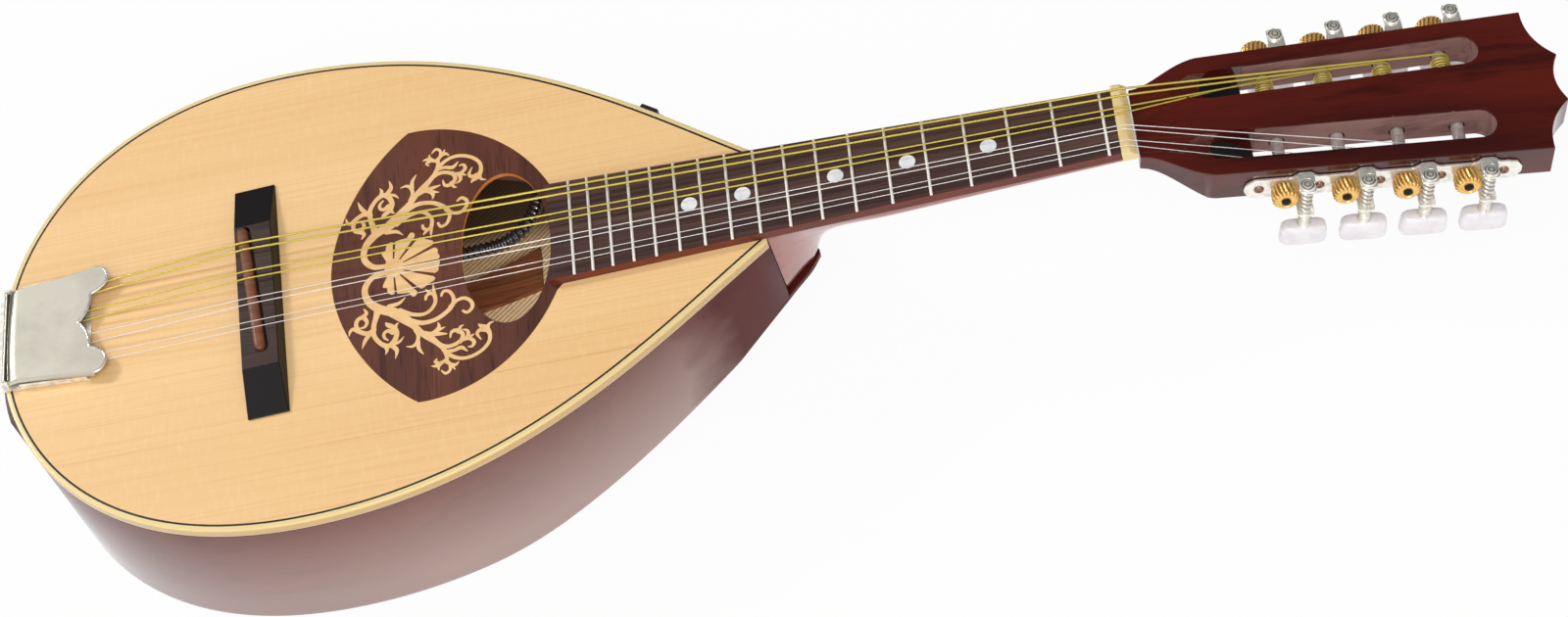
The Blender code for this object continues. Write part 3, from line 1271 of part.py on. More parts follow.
def tuner_plate_outline():
    """Return a machine head plate's outline, round at the nut end and angular at the tip."""
    low, high = -TUNER_PLATE_FOOT, -TUNER_PLATE_TOP
    radius = (high - low) / 2.0
    start, end = PLATE_EDGES
    points = []
    for k in range(7):
        a = math.pi / 2.0 + math.pi * k / 6.0
        points.append((start + radius + radius * math.cos(a), (low + high) / 2.0 + radius * math.sin(a)))
    return points + [(end - 0.0030, low), (end, low + 0.0030), (end, high - 0.0030), (end - 0.0030, high)]


def build_tuner_plate(side, sign):
    """Build a machine head's plate with its screws and the ears that hold the worm shafts."""
    place = tuner_frame(sign)
    base = GAP
    face = base + TUNER_PLATE_SHEET
    work = flat_plate("plate", tuner_plate_outline(), base, face)
    bmesh.ops.transform(work, matrix=place @ SIDE_VIEW, verts=work.verts)
    plate = solid("tuner_plate_" + side, work, NICKEL)
    bury = TUNER_PLATE_SHEET / 2.0
    work = bmesh.new()
    for number in range(TUNER_COUNT):
        x = roller_x(number) + WORM_OFFSET
        for top in (-EAR_TOP, -EAR_FOOT + EAR_SHEET):
            add_box(work, (x - EAR_HALF_WIDTH, face - bury, top - EAR_SHEET), (x + EAR_HALF_WIDTH, EAR_REACH, top),
                    place)
        add_box(work, (x - EAR_HALF_WIDTH * 0.9, base + bury * 0.3, -EAR_FOOT + bury),
                (x + EAR_HALF_WIDTH * 0.9, face - bury * 0.3, -EAR_TOP - bury), place)
    for x in screw_places():
        add_cylinder(work, SCREW_HEAD_RADIUS, (x, face - bury, -TUNER_DEPTH), (x, face + 0.0011, -TUNER_DEPTH), 8,
                     place, SCREW_HEAD_RADIUS * 0.7)
        add_cylinder(work, SCREW_SHANK_RADIUS, (x, face + bury / 2.0, -TUNER_DEPTH),
                     (x, -SCREW_LENGTH + GAP, -TUNER_DEPTH), 6, place)
    boolean(plate, cutter("tuner_plate_union_" + side, work), "UNION")
    work = bmesh.new()
    for number in range(TUNER_COUNT):
        x = roller_x(number)
        add_cylinder(work, ROLLER_RADIUS + TURN_GAP + TRIM_GAP / 2.0, (x, -0.001, -TUNER_DEPTH),
                     (x, 0.003, -TUNER_DEPTH), 10, place)
        add_cylinder(work, SHAFT_BORE, (x + WORM_OFFSET, WORM_OUT, -EAR_FOOT - 0.002),
                     (x + WORM_OFFSET, WORM_OUT, -EAR_TOP + 0.002), 8, place)
    boolean(plate, cutter("tuner_plate_bores_" + side, work))


def ring(x, y, z, radius, sides=8):
    """Return a round ring of a key's shaft."""
    return [(x + radius * math.cos(2 * math.pi * (k + 0.5) / sides), y + radius * math.sin(2 * math.pi * (k + 0.5) / sides),
             z) for k in range(sides)]


def worm_ring(x, y, z, share, sides=8):
    """Return a ring across the worm: the single thread shows as a bulge that turns with the height."""
    points = []
    for k in range(sides):
        phase = ((k + 0.5) / sides - share) % 1.0
        radius = WORM_CORE + (WORM_RADIUS - WORM_CORE) * (1.0 - abs(2.0 * phase - 1.0))
        a = 2.0 * math.pi * (k + 0.5) / sides
        points.append((x + radius * math.cos(a), y + radius * math.sin(a), z))
    return points


def button_ring(x, y, z, scale):
    """Return a ring of the key's button: a rectangle with cut corners."""
    half = BUTTON_WIDTH / 2.0 * scale
    thick = BUTTON_THICKNESS / 2.0 * scale
    corner = [(half, thick * 0.45), (half * 0.78, thick)]
    quarter = corner + [(-u, v) for u, v in reversed(corner)]
    return [(x + u, y + v, z) for u, v in quarter + [(-u, -v) for u, v in quarter]]


def build_key(side, sign, number):
    """Build one key: cap, shaft with its worm, and the button, turning in the plate's ears."""
    place = tuner_frame(sign)
    x = roller_x(number) + WORM_OFFSET
    y = WORM_OUT
    cap = -EAR_TOP + TURN_GAP
    worm_top = -EAR_TOP - EAR_SHEET - TURN_GAP
    worm_foot = -EAR_FOOT + EAR_SHEET + TURN_GAP
    collar = SHAFT_RADIUS + 0.0006
    rings = [ring(x, y, cap + CAP_THICKNESS, CAP_RADIUS * 0.9), ring(x, y, cap, CAP_RADIUS),
             ring(x, y, cap, SHAFT_RADIUS), ring(x, y, worm_top, SHAFT_RADIUS)]
    steps = WORM_TURNS * WORM_STEPS
    for k in range(steps + 1):
        share = k / steps
        rings.append(worm_ring(x, y, worm_top + (worm_foot - worm_top) * share, share * WORM_TURNS))
    foot = -EAR_FOOT - TURN_GAP
    rings += [ring(x, y, worm_foot, SHAFT_RADIUS), ring(x, y, foot, SHAFT_RADIUS), ring(x, y, foot, collar),
              ring(x, y, foot - 0.0012, collar), ring(x, y, -BUTTON_TOP, SHAFT_RADIUS)]
    for share, scale in ((0.0, 0.75), (0.12, 0.97), (0.85, 0.97), (1.0, 0.75)):
        rings.append(button_ring(x, y, -BUTTON_TOP - BUTTON_LENGTH * share, scale))
    key = loft(f"tuner_key_{side}_{number + 1}", [[place @ Vector(p) for p in r] for r in rings], PEARLOID, angle=50.0)
    hang(key, place @ Vector((x, y, -TUNER_DEPTH)))


def build_roller(side, sign, number):
    """Build one string roller with the toothed gear and the gear's screw head on its outer end."""
    place = tuner_frame(sign)
    x = roller_x(number)
    outline = []
    for k in range(GEAR_TEETH):
        for step, radius in ((0.0, GEAR_RADIUS), (0.5, GEAR_ROOT)):
            a = 2.0 * math.pi * (k + step) / GEAR_TEETH
            outline.append((x + radius * math.cos(a), -TUNER_DEPTH + radius * math.sin(a)))
    work = flat_plate("gear", outline, GEAR_START, GEAR_START + GEAR_WIDTH)
    bmesh.ops.transform(work, matrix=place @ SIDE_VIEW, verts=work.verts)
    roller = solid(f"string_roller_{side}_{number + 1}", work, BRASS, 20.0)
    work = bmesh.new()
    add_cylinder(work, ROLLER_RADIUS, (x, GEAR_START + 0.001, -TUNER_DEPTH), (x, -ROLLER_REACH, -TUNER_DEPTH), 10,
                 place)
    face = GEAR_START + GEAR_WIDTH
    add_cylinder(work, GEAR_SCREW_RADIUS, (x, face - 0.001, -TUNER_DEPTH), (x, face + 0.0007, -TUNER_DEPTH), 8, place)
    tool = cutter(f"roller_union_{side}_{number + 1}", work)
    boolean(roller, tool, "UNION")
    apply_modifiers(roller)
    hang(roller, place @ Vector((x, 0.0, -TUNER_DEPTH)))


def string_points(index):
    """Return a string's route: from its hook over saddle, zero fret and nut to its loops on the roller."""
    radius = STRING_RADIUS[index]
    wound = index < WOUND_STRINGS
    sign = 1.0 if wound else -1.0
    place = tuner_frame(sign)
    nut_z = string_nut_height(index)
    points = [Vector((HOOK_X, STRING_TAIL_Y[index], TOP_Z + STRING_TAIL_HEIGHT)),
              Vector((saddle_x(index), STRING_SADDLE_Y[index], TOP_Z + SADDLE_TOP + TRIM_GAP + radius)),
              Vector((ZERO_FRET_X, STRING_NUT_Y[index], nut_z)), Vector((NUT_CREST_X, STRING_NUT_Y[index], nut_z))]
    x = roller_x(STRING_ROLLER[index])
    circle = ROLLER_RADIUS + TURN_GAP + radius
    start = WINDING_START[0] if wound else WINDING_START[1]
    nut_local = place.inverted() @ points[-1]
    reach = x - nut_local.x
    first = math.atan2(nut_local.z + TUNER_DEPTH - circle, reach)
    pitch = 2.0 * radius + WINDING_SPACE
    steps = WINDING_TURNS[index] * LOOP_POINTS
    local = []
    for k in range(steps + 1):
        turns = k / LOOP_POINTS
        a = first + 2.0 * math.pi * turns
        y = start - pitch * turns - WINDING_LEAD * min(turns, 1.0)
        local.append(Vector((x + circle * math.sin(a), y, -TUNER_DEPTH + circle * math.cos(a))))
    tail = (local[-1] - local[-2]).normalized() * 2.0 * radius
    local.append(local[-1] + tail)
    return points, [place @ p for p in local]


def least_gap(points, radius):
    """Return the least gap between a winding's turns, measured on points half a turn or more apart."""
    least = 1.0
    apart = LOOP_POINTS // 2
    for k, point in enumerate(points):
        for other in points[k + apart:]:
            least = min(least, (point - other).length - 2.0 * radius)
    return least


def build_strings():
    """Build the eight strings, each one wire from its hook to the last loop on its roller."""
    for index, name in enumerate(STRING_NAMES):
        straight, winding = string_points(index)
        radius = STRING_RADIUS[index]
        finish = BRONZE if index < WOUND_STRINGS else STEEL
        solid("string_" + name, tube("string_" + name, straight + winding, radius), finish, 80.0)
        run = [straight[-1].lerp(winding[0], k / 60.0) for k in range(30, 60)]
        print(f"string_{name}: least gap between its loops {least_gap(run[-4:] + winding, radius) * 1000.0:.2f} mm")


def outline_span(low_x, high_x, inset, count=8):
    """Return points of the body's outline on the wound strings' side between two places."""
    outline = [p for p in body_outline(inset) if p.y > 0.0]
    points = []
    for k in range(count + 1):
        x = high_x + (low_x - high_x) * k / count
        for right, left in zip(outline, outline[1:]):
            if left.x <= x <= right.x:
                points.append(left.lerp(right, (x - left.x) / (right.x - left.x)))
                break
    return points


def curved_block(work, low_x, high_x, outer, inner, low, high):
    """Add a block that follows the rim between two insets and two heights."""
    sections = []
    for far, near in zip(outline_span(low_x, high_x, outer), outline_span(low_x, high_x, inner)):
        sections.append([(far.x, far.y, low), (far.x, far.y, high), (near.x, near.y, high), (near.x, near.y, low)])
    add_loft(work, sections)


PREAMP_ENDS = (PREAMP_X - PREAMP_LENGTH / 2.0, PREAMP_X + PREAMP_LENGTH / 2.0)
PREAMP_HIGH = TOP_Z - PREAMP_TOP
PREAMP_LOW = PREAMP_HIGH - PREAMP_HEIGHT
CASE_ENDS = (PREAMP_ENDS[0] + PREAMP_CASE_INSET, PREAMP_ENDS[1] - PREAMP_CASE_INSET)
PREAMP_FACE = GAP + PREAMP_PLATE


def preamp_opening():
    """Return the cutter for the pickup electronics' opening in the rim, made once."""
    if "preamp_opening" in bpy.data.objects:
        return bpy.data.objects["preamp_opening"]
    work = bmesh.new()
    curved_block(work, CASE_ENDS[0] - GAP, CASE_ENDS[1] + GAP, -0.0015, PREAMP_DEPTH + 0.002,
                 PREAMP_LOW + PREAMP_CASE_INSET - GAP, PREAMP_HIGH - PREAMP_CASE_INSET + GAP)
    return cutter("preamp_opening", work)


def outward_at(x, inset):
    """Return a point of the outline, at an inset, and the direction that points out of the body there."""
    before, point, after = outline_span(x - 0.002, x + 0.002, inset, 2)
    along = (after - before).normalized()
    outward = Vector((along.y, -along.x, 0.0))
    if outward.y < 0.0:
        outward = -outward
    return point, outward


def build_preamp():
    """Build the pickup electronics in the rim: bezel and case, three knobs and the battery door."""
    work = bmesh.new()
    curved_block(work, *PREAMP_ENDS, -PREAMP_FACE, -GAP, PREAMP_LOW, PREAMP_HIGH)
    housing = solid("preamp_housing", work, BLACK_PLASTIC)
    work = bmesh.new()
    curved_block(work, *CASE_ENDS, -PREAMP_FACE + 0.001, PREAMP_DEPTH, PREAMP_LOW + PREAMP_CASE_INSET,
                 PREAMP_HIGH - PREAMP_CASE_INSET)
    boolean(housing, cutter("preamp_case_union", work), "UNION")
    middle = (PREAMP_LOW + PREAMP_HIGH) / 2.0
    for name, x in KNOBS:
        point, outward = outward_at(x, -PREAMP_FACE)
        base = Vector((point.x, point.y, middle))
        turn = outward.to_track_quat("Z", "Y").to_matrix().to_4x4()
        place = Matrix.Translation(base) @ turn
        work = bmesh.new()
        add_cylinder(work, KNOB_SHAFT + TURN_GAP, (0, 0, -KNOB_WELL - TURN_GAP), (0, 0, 0.002), 12, place)
        boolean(housing, cutter("knob_well_" + name, work))
        profile = [(0.0, KNOB_HEIGHT), (KNOB_RADIUS * 0.85, KNOB_HEIGHT), (KNOB_RADIUS, KNOB_HEIGHT - 0.0008),
                   (KNOB_RADIUS, TURN_GAP + 0.0002), (KNOB_SHAFT, TURN_GAP + 0.0002), (KNOB_SHAFT, -KNOB_WELL),
                   (0.0, -KNOB_WELL)]
        turned(name, profile, 14, place, BLACK_PLASTIC)
    door_low = middle - BATTERY_HEIGHT / 2.0
    outer = -PREAMP_FACE - GAP - BATTERY_COVER
    work = bmesh.new()
    curved_block(work, BATTERY_X, BATTERY_X + BATTERY_LENGTH, outer, -PREAMP_FACE - GAP, door_low,
                 door_low + BATTERY_HEIGHT)
    door = solid("battery_door", work, BLACK_PLASTIC)
    point = outline_span(BATTERY_X, BATTERY_X + BATTERY_LENGTH, outer + BATTERY_COVER / 2.0)[-1]
    hang(door, (point.x, point.y, middle))


def build_cable():
    """Build the cable from the electronics, past the soundhole, to the tail block."""
    start, outward = outward_at(CABLE_START_X, PREAMP_DEPTH + GAP)
    points = [Vector((start.x, start.y, CABLE_Z)), Vector((start.x, start.y, CABLE_Z)) - outward * 0.004]
    points += [Vector((x, y, CABLE_Z)) for x, y in CABLE_ROUTE]
    points += [Vector((TAIL_BLOCK_X + 0.004, 0.006, CABLE_Z)), Vector((TAIL_BLOCK_X + GAP, 0.006, CABLE_Z))]
    route = []
    last = len(points) - 1
    for k in range(last):
        before, a, b, after = points[max(k - 1, 0)], points[k], points[k + 1], points[min(k + 2, last)]
        steps = 1 if k in (0, last - 1) else 2
        for step in range(steps):
            t = step / steps
            route.append(0.5 * (2 * a + (b - before) * t + (2 * before - 5 * a + 4 * b - after) * t * t
                                + (3 * a - before - 3 * b + after) * t ** 3))
    route.append(points[-1])
    solid("pickup_cable", tube("pickup_cable", route, CABLE_RADIUS, 1), BLACK_PLASTIC)


def print_joint_places():
    """Print where the moving pieces turn, in metres, for whoever reads the joints off this file."""
    for obj in PARTS.objects:
        if any(c != 0.0 for c in obj.location):
            print(obj.name, tuple(round(c, 6) for c in obj.location))
    for name, x in KNOBS:
        print(name, "axis", tuple(round(c, 6) for c in outward_at(x, -PREAMP_FACE)[1]))
    for side, sign in SIDES:
        place = tuner_frame(sign).to_3x3()
        print(side, "key axis", tuple(round(c, 6) for c in place @ Vector((0.0, 0.0, 1.0))), "roller axis",
              tuple(round(c, 6) for c in place @ Vector((0.0, 1.0, 0.0))))


def main():
    """Build every sub-part in order."""
    soundboard = build_soundboard()
    build_rosette_panel()
    build_rosette_inlay()
    edge_ring("binding", 0.0, BINDING_WIDTH, TOP_Z - BINDING_HEIGHT, TOP_Z, IVOROID)
    edge_ring("purfling", BINDING_WIDTH + TRIM_GAP, PURFLING_WIDTH, TOP_Z - TOP_THICKNESS, TOP_Z, BLACK_FIBRE)
    rim = build_rim()
    boolean(rim, preamp_opening())
    boolean(rim, end_pin_hole())
    build_back()
    build_linings()
    build_blocks()
    build_braces()
    build_neck()
    build_fretboard()
    build_nut()
    build_bridge()
    build_saddle()
    build_tailpiece_base()
    build_hinge_pin()
    build_cover()
    build_tail_guard()
    build_end_pin()
    build_headstock()
    for side, sign in SIDES:
        build_tuner_plate(side, sign)
        for number in range(TUNER_COUNT):
            build_key(side, sign, number)
            build_roller(side, sign, number)
    build_strings()
    build_preamp()
    build_cable()
    print_joint_places()


main()
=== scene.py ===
"""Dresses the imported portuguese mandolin: finer forms over the CAD solids, finishes, light and camera.

Lengths are in metres in the frame of the part: +X to the head, +Y to the wound strings, +Z out of the
soundboard. T is the soundboard's top plane.
"""

from __future__ import annotations

import json
import logging
import math
from dataclasses import dataclass, field
from enum import Enum
from typing import Iterable, Sequence

import bpy
import numpy as np
from mathutils import Matrix, Vector

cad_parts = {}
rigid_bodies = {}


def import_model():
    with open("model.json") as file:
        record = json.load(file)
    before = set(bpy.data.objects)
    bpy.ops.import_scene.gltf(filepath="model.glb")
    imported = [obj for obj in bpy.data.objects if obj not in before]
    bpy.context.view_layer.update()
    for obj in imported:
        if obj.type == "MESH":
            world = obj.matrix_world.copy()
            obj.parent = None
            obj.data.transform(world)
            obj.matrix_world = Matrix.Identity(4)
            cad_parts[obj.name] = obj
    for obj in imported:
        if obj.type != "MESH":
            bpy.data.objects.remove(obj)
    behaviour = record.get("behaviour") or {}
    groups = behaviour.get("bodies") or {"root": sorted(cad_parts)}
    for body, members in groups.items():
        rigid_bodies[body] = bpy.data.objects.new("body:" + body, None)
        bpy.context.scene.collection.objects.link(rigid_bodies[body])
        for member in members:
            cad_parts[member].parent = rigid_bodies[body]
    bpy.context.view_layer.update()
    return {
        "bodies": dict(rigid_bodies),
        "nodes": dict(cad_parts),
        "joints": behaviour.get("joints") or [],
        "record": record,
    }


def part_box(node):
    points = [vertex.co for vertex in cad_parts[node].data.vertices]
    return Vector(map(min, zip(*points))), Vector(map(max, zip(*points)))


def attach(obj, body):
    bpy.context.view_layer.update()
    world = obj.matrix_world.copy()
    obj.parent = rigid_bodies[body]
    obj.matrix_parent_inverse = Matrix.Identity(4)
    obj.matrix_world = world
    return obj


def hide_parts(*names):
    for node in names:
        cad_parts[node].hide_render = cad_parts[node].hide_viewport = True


LOG = logging.getLogger("mandolin")
Array = np.ndarray
Pair = tuple[float, float]
Triple = tuple[float, float, float]
Quad = tuple[float, float, float, float]
Colour = Triple
T = 0.0715
BOARD_TOP = T + 0.0043
FRET_HEIGHT = 0.0010
SCALE = 0.345
NUT_CREST = 0.3527
NUT_HALF = 0.0168
HEAD_ANGLE = 7.9
ROOT = "root"
SIDES = (("bass", 1.0), ("treble", -1.0))
MIRROR = (1.0, -1.0)


def srgb(red: float, green: float, blue: float) -> Colour:
    """Return a screen colour from 0 to 255 as linear light: c / 12.92 in the dark, else the 2.4 power law."""
    screen = np.array([red, green, blue]) / 255.0
    linear = np.where(screen <= 0.04045, screen / 12.92, ((screen + 0.055) / 1.055) ** 2.4)
    return tuple(float(c) for c in linear)


def unit(vectors: Array) -> Array:
    """Return the vectors divided by their lengths."""
    return vectors / np.maximum(np.linalg.norm(vectors, axis=-1, keepdims=True), 1e-12)


def bezier(corners: Sequence[Sequence[float]], count: int) -> Array:
    """Return count + 1 points of a cubic Bezier: the corners weighed by the Bernstein polynomials.

    Args:
        corners: The four control points.
        count: How many steps the curve has.

    Returns:
        An array of count + 1 points.
    """
    t = np.linspace(0.0, 1.0, count + 1)[:, None]
    s = 1.0 - t
    p = np.asarray(corners, float)
    return p[0] * s**3 + 3 * p[1] * s * s * t + 3 * p[2] * s * t * t + p[3] * t**3


def through(points: Sequence[Sequence[float]], steps: int) -> Array:
    """Return a smooth curve through points: each span is a cubic whose end slopes are half the chord
    between the neighbours on both sides.

    Args:
        points: The points, of any dimension.
        steps: Steps in each span.

    Returns:
        The curve's points, first and last included.
    """
    p = np.asarray(points, float)
    before = np.vstack([p[:1], p[:-2]])
    after = np.vstack([p[2:], p[-1:]])
    a, b = p[:-1], p[1:]
    m0, m1 = (b - before) / 2.0, (after - a) / 2.0
    t = (np.arange(steps) / steps)[None, :, None]
    curve = ((2 * t**3 - 3 * t**2 + 1) * a[:, None] + (t**3 - 2 * t**2 + t) * m0[:, None]
             + (3 * t**2 - 2 * t**3) * b[:, None] + (t**3 - t**2) * m1[:, None])
    return np.vstack([curve.reshape(-1, p.shape[1]), p[-1:]])


def carried(points: Array, place: Array) -> Array:
    """Return points carried by a 4 x 4 matrix."""
    return points @ place[:3, :3].T + place[:3, 3]


def placed(x: float = 0.0, y: float = 0.0, z: float = 0.0, turn: float = 0.0, axis: str = "Z") -> Array:
    """Return the matrix of a turn about one axis, in degrees, and then a shift."""
    return np.array(Matrix.Translation((x, y, z)) @ Matrix.Rotation(math.radians(turn), 4, axis))


def circle(count: int, shift: float = 0.0) -> Array:
    """Return evenly spaced angles of a full turn, the first one shifted by a share of a step."""
    return (np.arange(count) + shift) * 2.0 * np.pi / count


def round_rings(radius: Array, angle: Array, height: Array) -> Array:
    """Return one ring for each height: x = r cos a, y = r sin a, z = h."""
    x = radius * np.cos(angle)
    return np.stack([x, radius * np.sin(angle), np.broadcast_to(height[:, None], x.shape)], axis=-1)


def lifted(loop: Array, height: Array | float) -> Array:
    """Return plane points with their height."""
    return np.column_stack([loop, np.broadcast_to(height, len(loop))])


def strip_rings(section: Iterable[tuple[Array, Array | float]]) -> Array:
    """Return the rings of a strip whose section's corners each follow a line at a height."""
    return np.stack([lifted(line, height) for line, height in section], axis=1)


def lengths(path: Array) -> Array:
    """Return the length along a path at each of its points."""
    return np.concatenate([[0.0], np.cumsum(np.linalg.norm(np.diff(path, axis=0), axis=1))])


def bulged(values: Array, power: float) -> Array:
    """Return the values' sizes raised to a power with their signs kept, for a superellipse."""
    return np.sign(values) * np.abs(values) ** power


def linked(name: str, data: bpy.types.ID) -> bpy.types.Object:
    """Return a new object that is in the scene."""
    obj = bpy.data.objects.new(name, data)
    bpy.context.scene.collection.objects.link(obj)
    return obj


def shaded(mesh: bpy.types.Mesh, crease: float) -> None:
    """Shade a mesh smooth, with edges sharp over an angle in degrees."""
    mesh.shade_smooth()
    mesh.set_sharp_from_angle(angle=math.radians(crease))


def quads(rows: int, cols: int, close_rows: bool, close_cols: bool) -> list[tuple[int, ...]]:
    """Return the faces between neighbouring rows and columns of a grid.

    Args:
        rows: How many rows the grid has.
        cols: How many columns it has.
        close_rows: Whether the last row meets the first.
        close_cols: Whether the last column meets the first.

    Returns:
        The faces, as four indices each.
    """
    i, j = np.meshgrid(np.arange(rows - (not close_rows)), np.arange(cols - (not close_cols)), indexing="ij")
    down, on = (i + 1) % rows, (j + 1) % cols
    faces = np.stack([i * cols + j, i * cols + on, down * cols + on, down * cols + j], axis=-1)
    return [tuple(face) for face in faces.reshape(-1, 4).tolist()]


class Shell:
    """Closed surfaces gathered into one mesh."""

    def __init__(self) -> None:
        """Start with nothing."""
        self.points: list[Array] = []
        self.faces: list[tuple[int, ...]] = []
        self.along: list[Array] = []
        self.count = 0

    def add(self, points: Array, faces: list[tuple[int, ...]], along: Array | None = None) -> None:
        """Add one closed surface, turned right side out by the sign of its volume, which is the sum of
        the tetrahedra from its middle to its triangles.

        Args:
            points: The surface's points.
            faces: Its faces, all turned the same way.
            along: A length for each point, for patterns that follow the surface.
        """
        triangles = np.array([(f[0], f[k], f[k + 1]) for f in faces for k in range(1, len(f) - 1)])
        a, b, c = (points[triangles[:, k]] - points.mean(axis=0) for k in range(3))
        if np.einsum("ij,ij->i", a, np.cross(b, c)).sum() < 0.0:
            faces = [face[::-1] for face in faces]
        self.faces += [tuple(k + self.count for k in face) for face in faces]
        self.points.append(points)
        self.along.append(np.zeros(len(points)) if along is None else along)
        self.count += len(points)

    def sweep(self, rings: Array, closed: bool = False, along: Array | None = None) -> Shell:
        """Skin rings of points; the two ends get flat caps unless the path closes on itself.

        Args:
            rings: Points as rings by points by three.
            closed: Whether the last ring meets the first.
            along: A length for each ring, or for each point.

        Returns:
            This shell, so that calls can follow each other.
        """
        rows, cols = rings.shape[:2]
        faces = quads(rows, cols, closed, True)
        if not closed:
            faces += [tuple(range(cols))[::-1], tuple(range((rows - 1) * cols, rows * cols))]
        lengths = None if along is None else along.ravel() if along.ndim == 2 else np.repeat(along, cols)
        self.add(rings.reshape(-1, 3), faces, lengths)
        return self

    def slab(self, loop: Array, low: float, high: float, place: Array | None = None) -> Shell:
        """Stand a flat outline up between two heights, and carry it by a matrix."""
        rings = np.stack([lifted(loop, z) for z in (low, high)])
        return self.sweep(rings if place is None else carried(rings, place))

    def box(self, low: Sequence[float], high: Sequence[float], place: Array | None = None) -> Shell:
        """Add a box between two corners, carried by a matrix."""
        loop = np.array([(low[0], low[1]), (high[0], low[1]), (high[0], high[1]), (low[0], high[1])])
        return self.slab(loop, low[2], high[2], place)

    def turned(self, profile: Sequence[Pair], place: Array, sides: int = 32,
               along: Array | None = None) -> Shell:
        """Turn a profile of (radius, height) about the matrix's z axis.

        Args:
            profile: The profile from one end to the other.
            place: The matrix that carries the turned piece.
            sides: How many sides the circle has.
            along: A length for each ring.

        Returns:
            This shell.
        """
        r, h = np.array(profile).T
        rings = round_rings(np.maximum(r, 1e-5)[:, None], circle(sides), h)
        return self.sweep(carried(rings, place), along=along)

    def tube(self, path: Array, radius: Array | float, across: Sequence[float], sides: int = 12) -> Shell:
        """Carry a circle along a path: centre + r (cos a side + sin a up), where side is the path's way
        crossed with a fixed direction.

        Args:
            path: The centre line.
            radius: One radius, or one for each point.
            across: A direction that the path never takes.
            sides: How many sides the circle has.

        Returns:
            This shell.
        """
        way = unit(np.gradient(path, axis=0))
        side = unit(np.cross(way, np.asarray(across, float)))
        up = np.cross(side, way)
        a = circle(sides, 0.5)
        r = np.broadcast_to(np.asarray(radius, float).reshape(-1, 1, 1), (len(path), 1, 1))
        rings = path[:, None] + r * (np.cos(a)[:, None] * side[:, None] + np.sin(a)[:, None] * up[:, None])
        return self.sweep(rings, along=lengths(path))

    def ribbon(self, path: Array, halves: Array, low: float, high: float) -> Shell:
        """Lay a flat ribbon along a plane path: at each point the section spans the path's side way by
        the half width, between two heights.

        Args:
            path: The centre line in the plane.
            halves: The half width at each point.
            low: The ribbon's lower height.
            high: Its upper height.

        Returns:
            This shell.
        """
        way = unit(np.gradient(path, axis=0))
        side = np.column_stack([-way[:, 1], way[:, 0]]) * halves[:, None]
        left, right = path + side, path - side
        return self.sweep(strip_rings(((left, low), (right, low), (right, high), (left, high))))

    def mesh(self, name: str) -> bpy.types.Mesh:
        """Return the gathered surfaces as one mesh with their lengths as an attribute."""
        mesh = bpy.data.meshes.new(name)
        mesh.from_pydata(np.vstack(self.points).tolist(), [], self.faces)
        layer = mesh.attributes.new("along", "FLOAT", "POINT")
        layer.data.foreach_set("value", np.concatenate(self.along).astype(np.float32))
        return mesh


@dataclass(frozen=True)
class Socket:
    """A number in a node tree; arithmetic on it adds Math nodes."""

    tree: Tree
    link: bpy.types.NodeSocket

    def math(self, operation: str, *others: Socket | float) -> Socket:
        """Return the result of a Math node on this number and others."""
        node = self.tree.node("ShaderNodeMath", (self, *others), operation=operation)
        return Socket(self.tree, node.outputs[0])

    def __add__(self, other: Socket | float) -> Socket:
        """Return the sum."""
        return self.math("ADD", other)

    def __rsub__(self, other: float) -> Socket:
        """Return a number less this one."""
        return (self * -1.0) + other

    def __mul__(self, other: Socket | float) -> Socket:
        """Return the product."""
        return self.math("MULTIPLY", other)


class Tree:
    """A node tree of a material or of the world."""

    def __init__(self, owner: bpy.types.Material | bpy.types.World) -> None:
        """Turn on the owner's nodes."""
        owner.use_nodes = True
        self.nodes = owner.node_tree.nodes
        self.links = owner.node_tree.links

    def fill(self, socket: bpy.types.NodeSocket, value: object) -> None:
        """Give an input a link, a colour or a number."""
        source = value.link if isinstance(value, Socket) else value
        if isinstance(source, bpy.types.NodeSocket):
            self.links.new(source, socket)
        else:
            socket.default_value = source

    def node(self, kind: str, values: Iterable[object] | dict[int | str, object] = (),
             **settings: object) -> bpy.types.Node:
        """Return a new node with its settings set first and then its inputs.

        Args:
            kind: The node's type.
            values: Numbers, colours or links for its inputs, in order or by name.
            settings: Properties such as a Math node's operation.

        Returns:
            The node.
        """
        node = self.nodes.new(kind)
        for key, value in settings.items():
            setattr(node, key, value)
        for key, value in values.items() if isinstance(values, dict) else enumerate(values):
            self.fill(node.inputs[key], value)
        return node


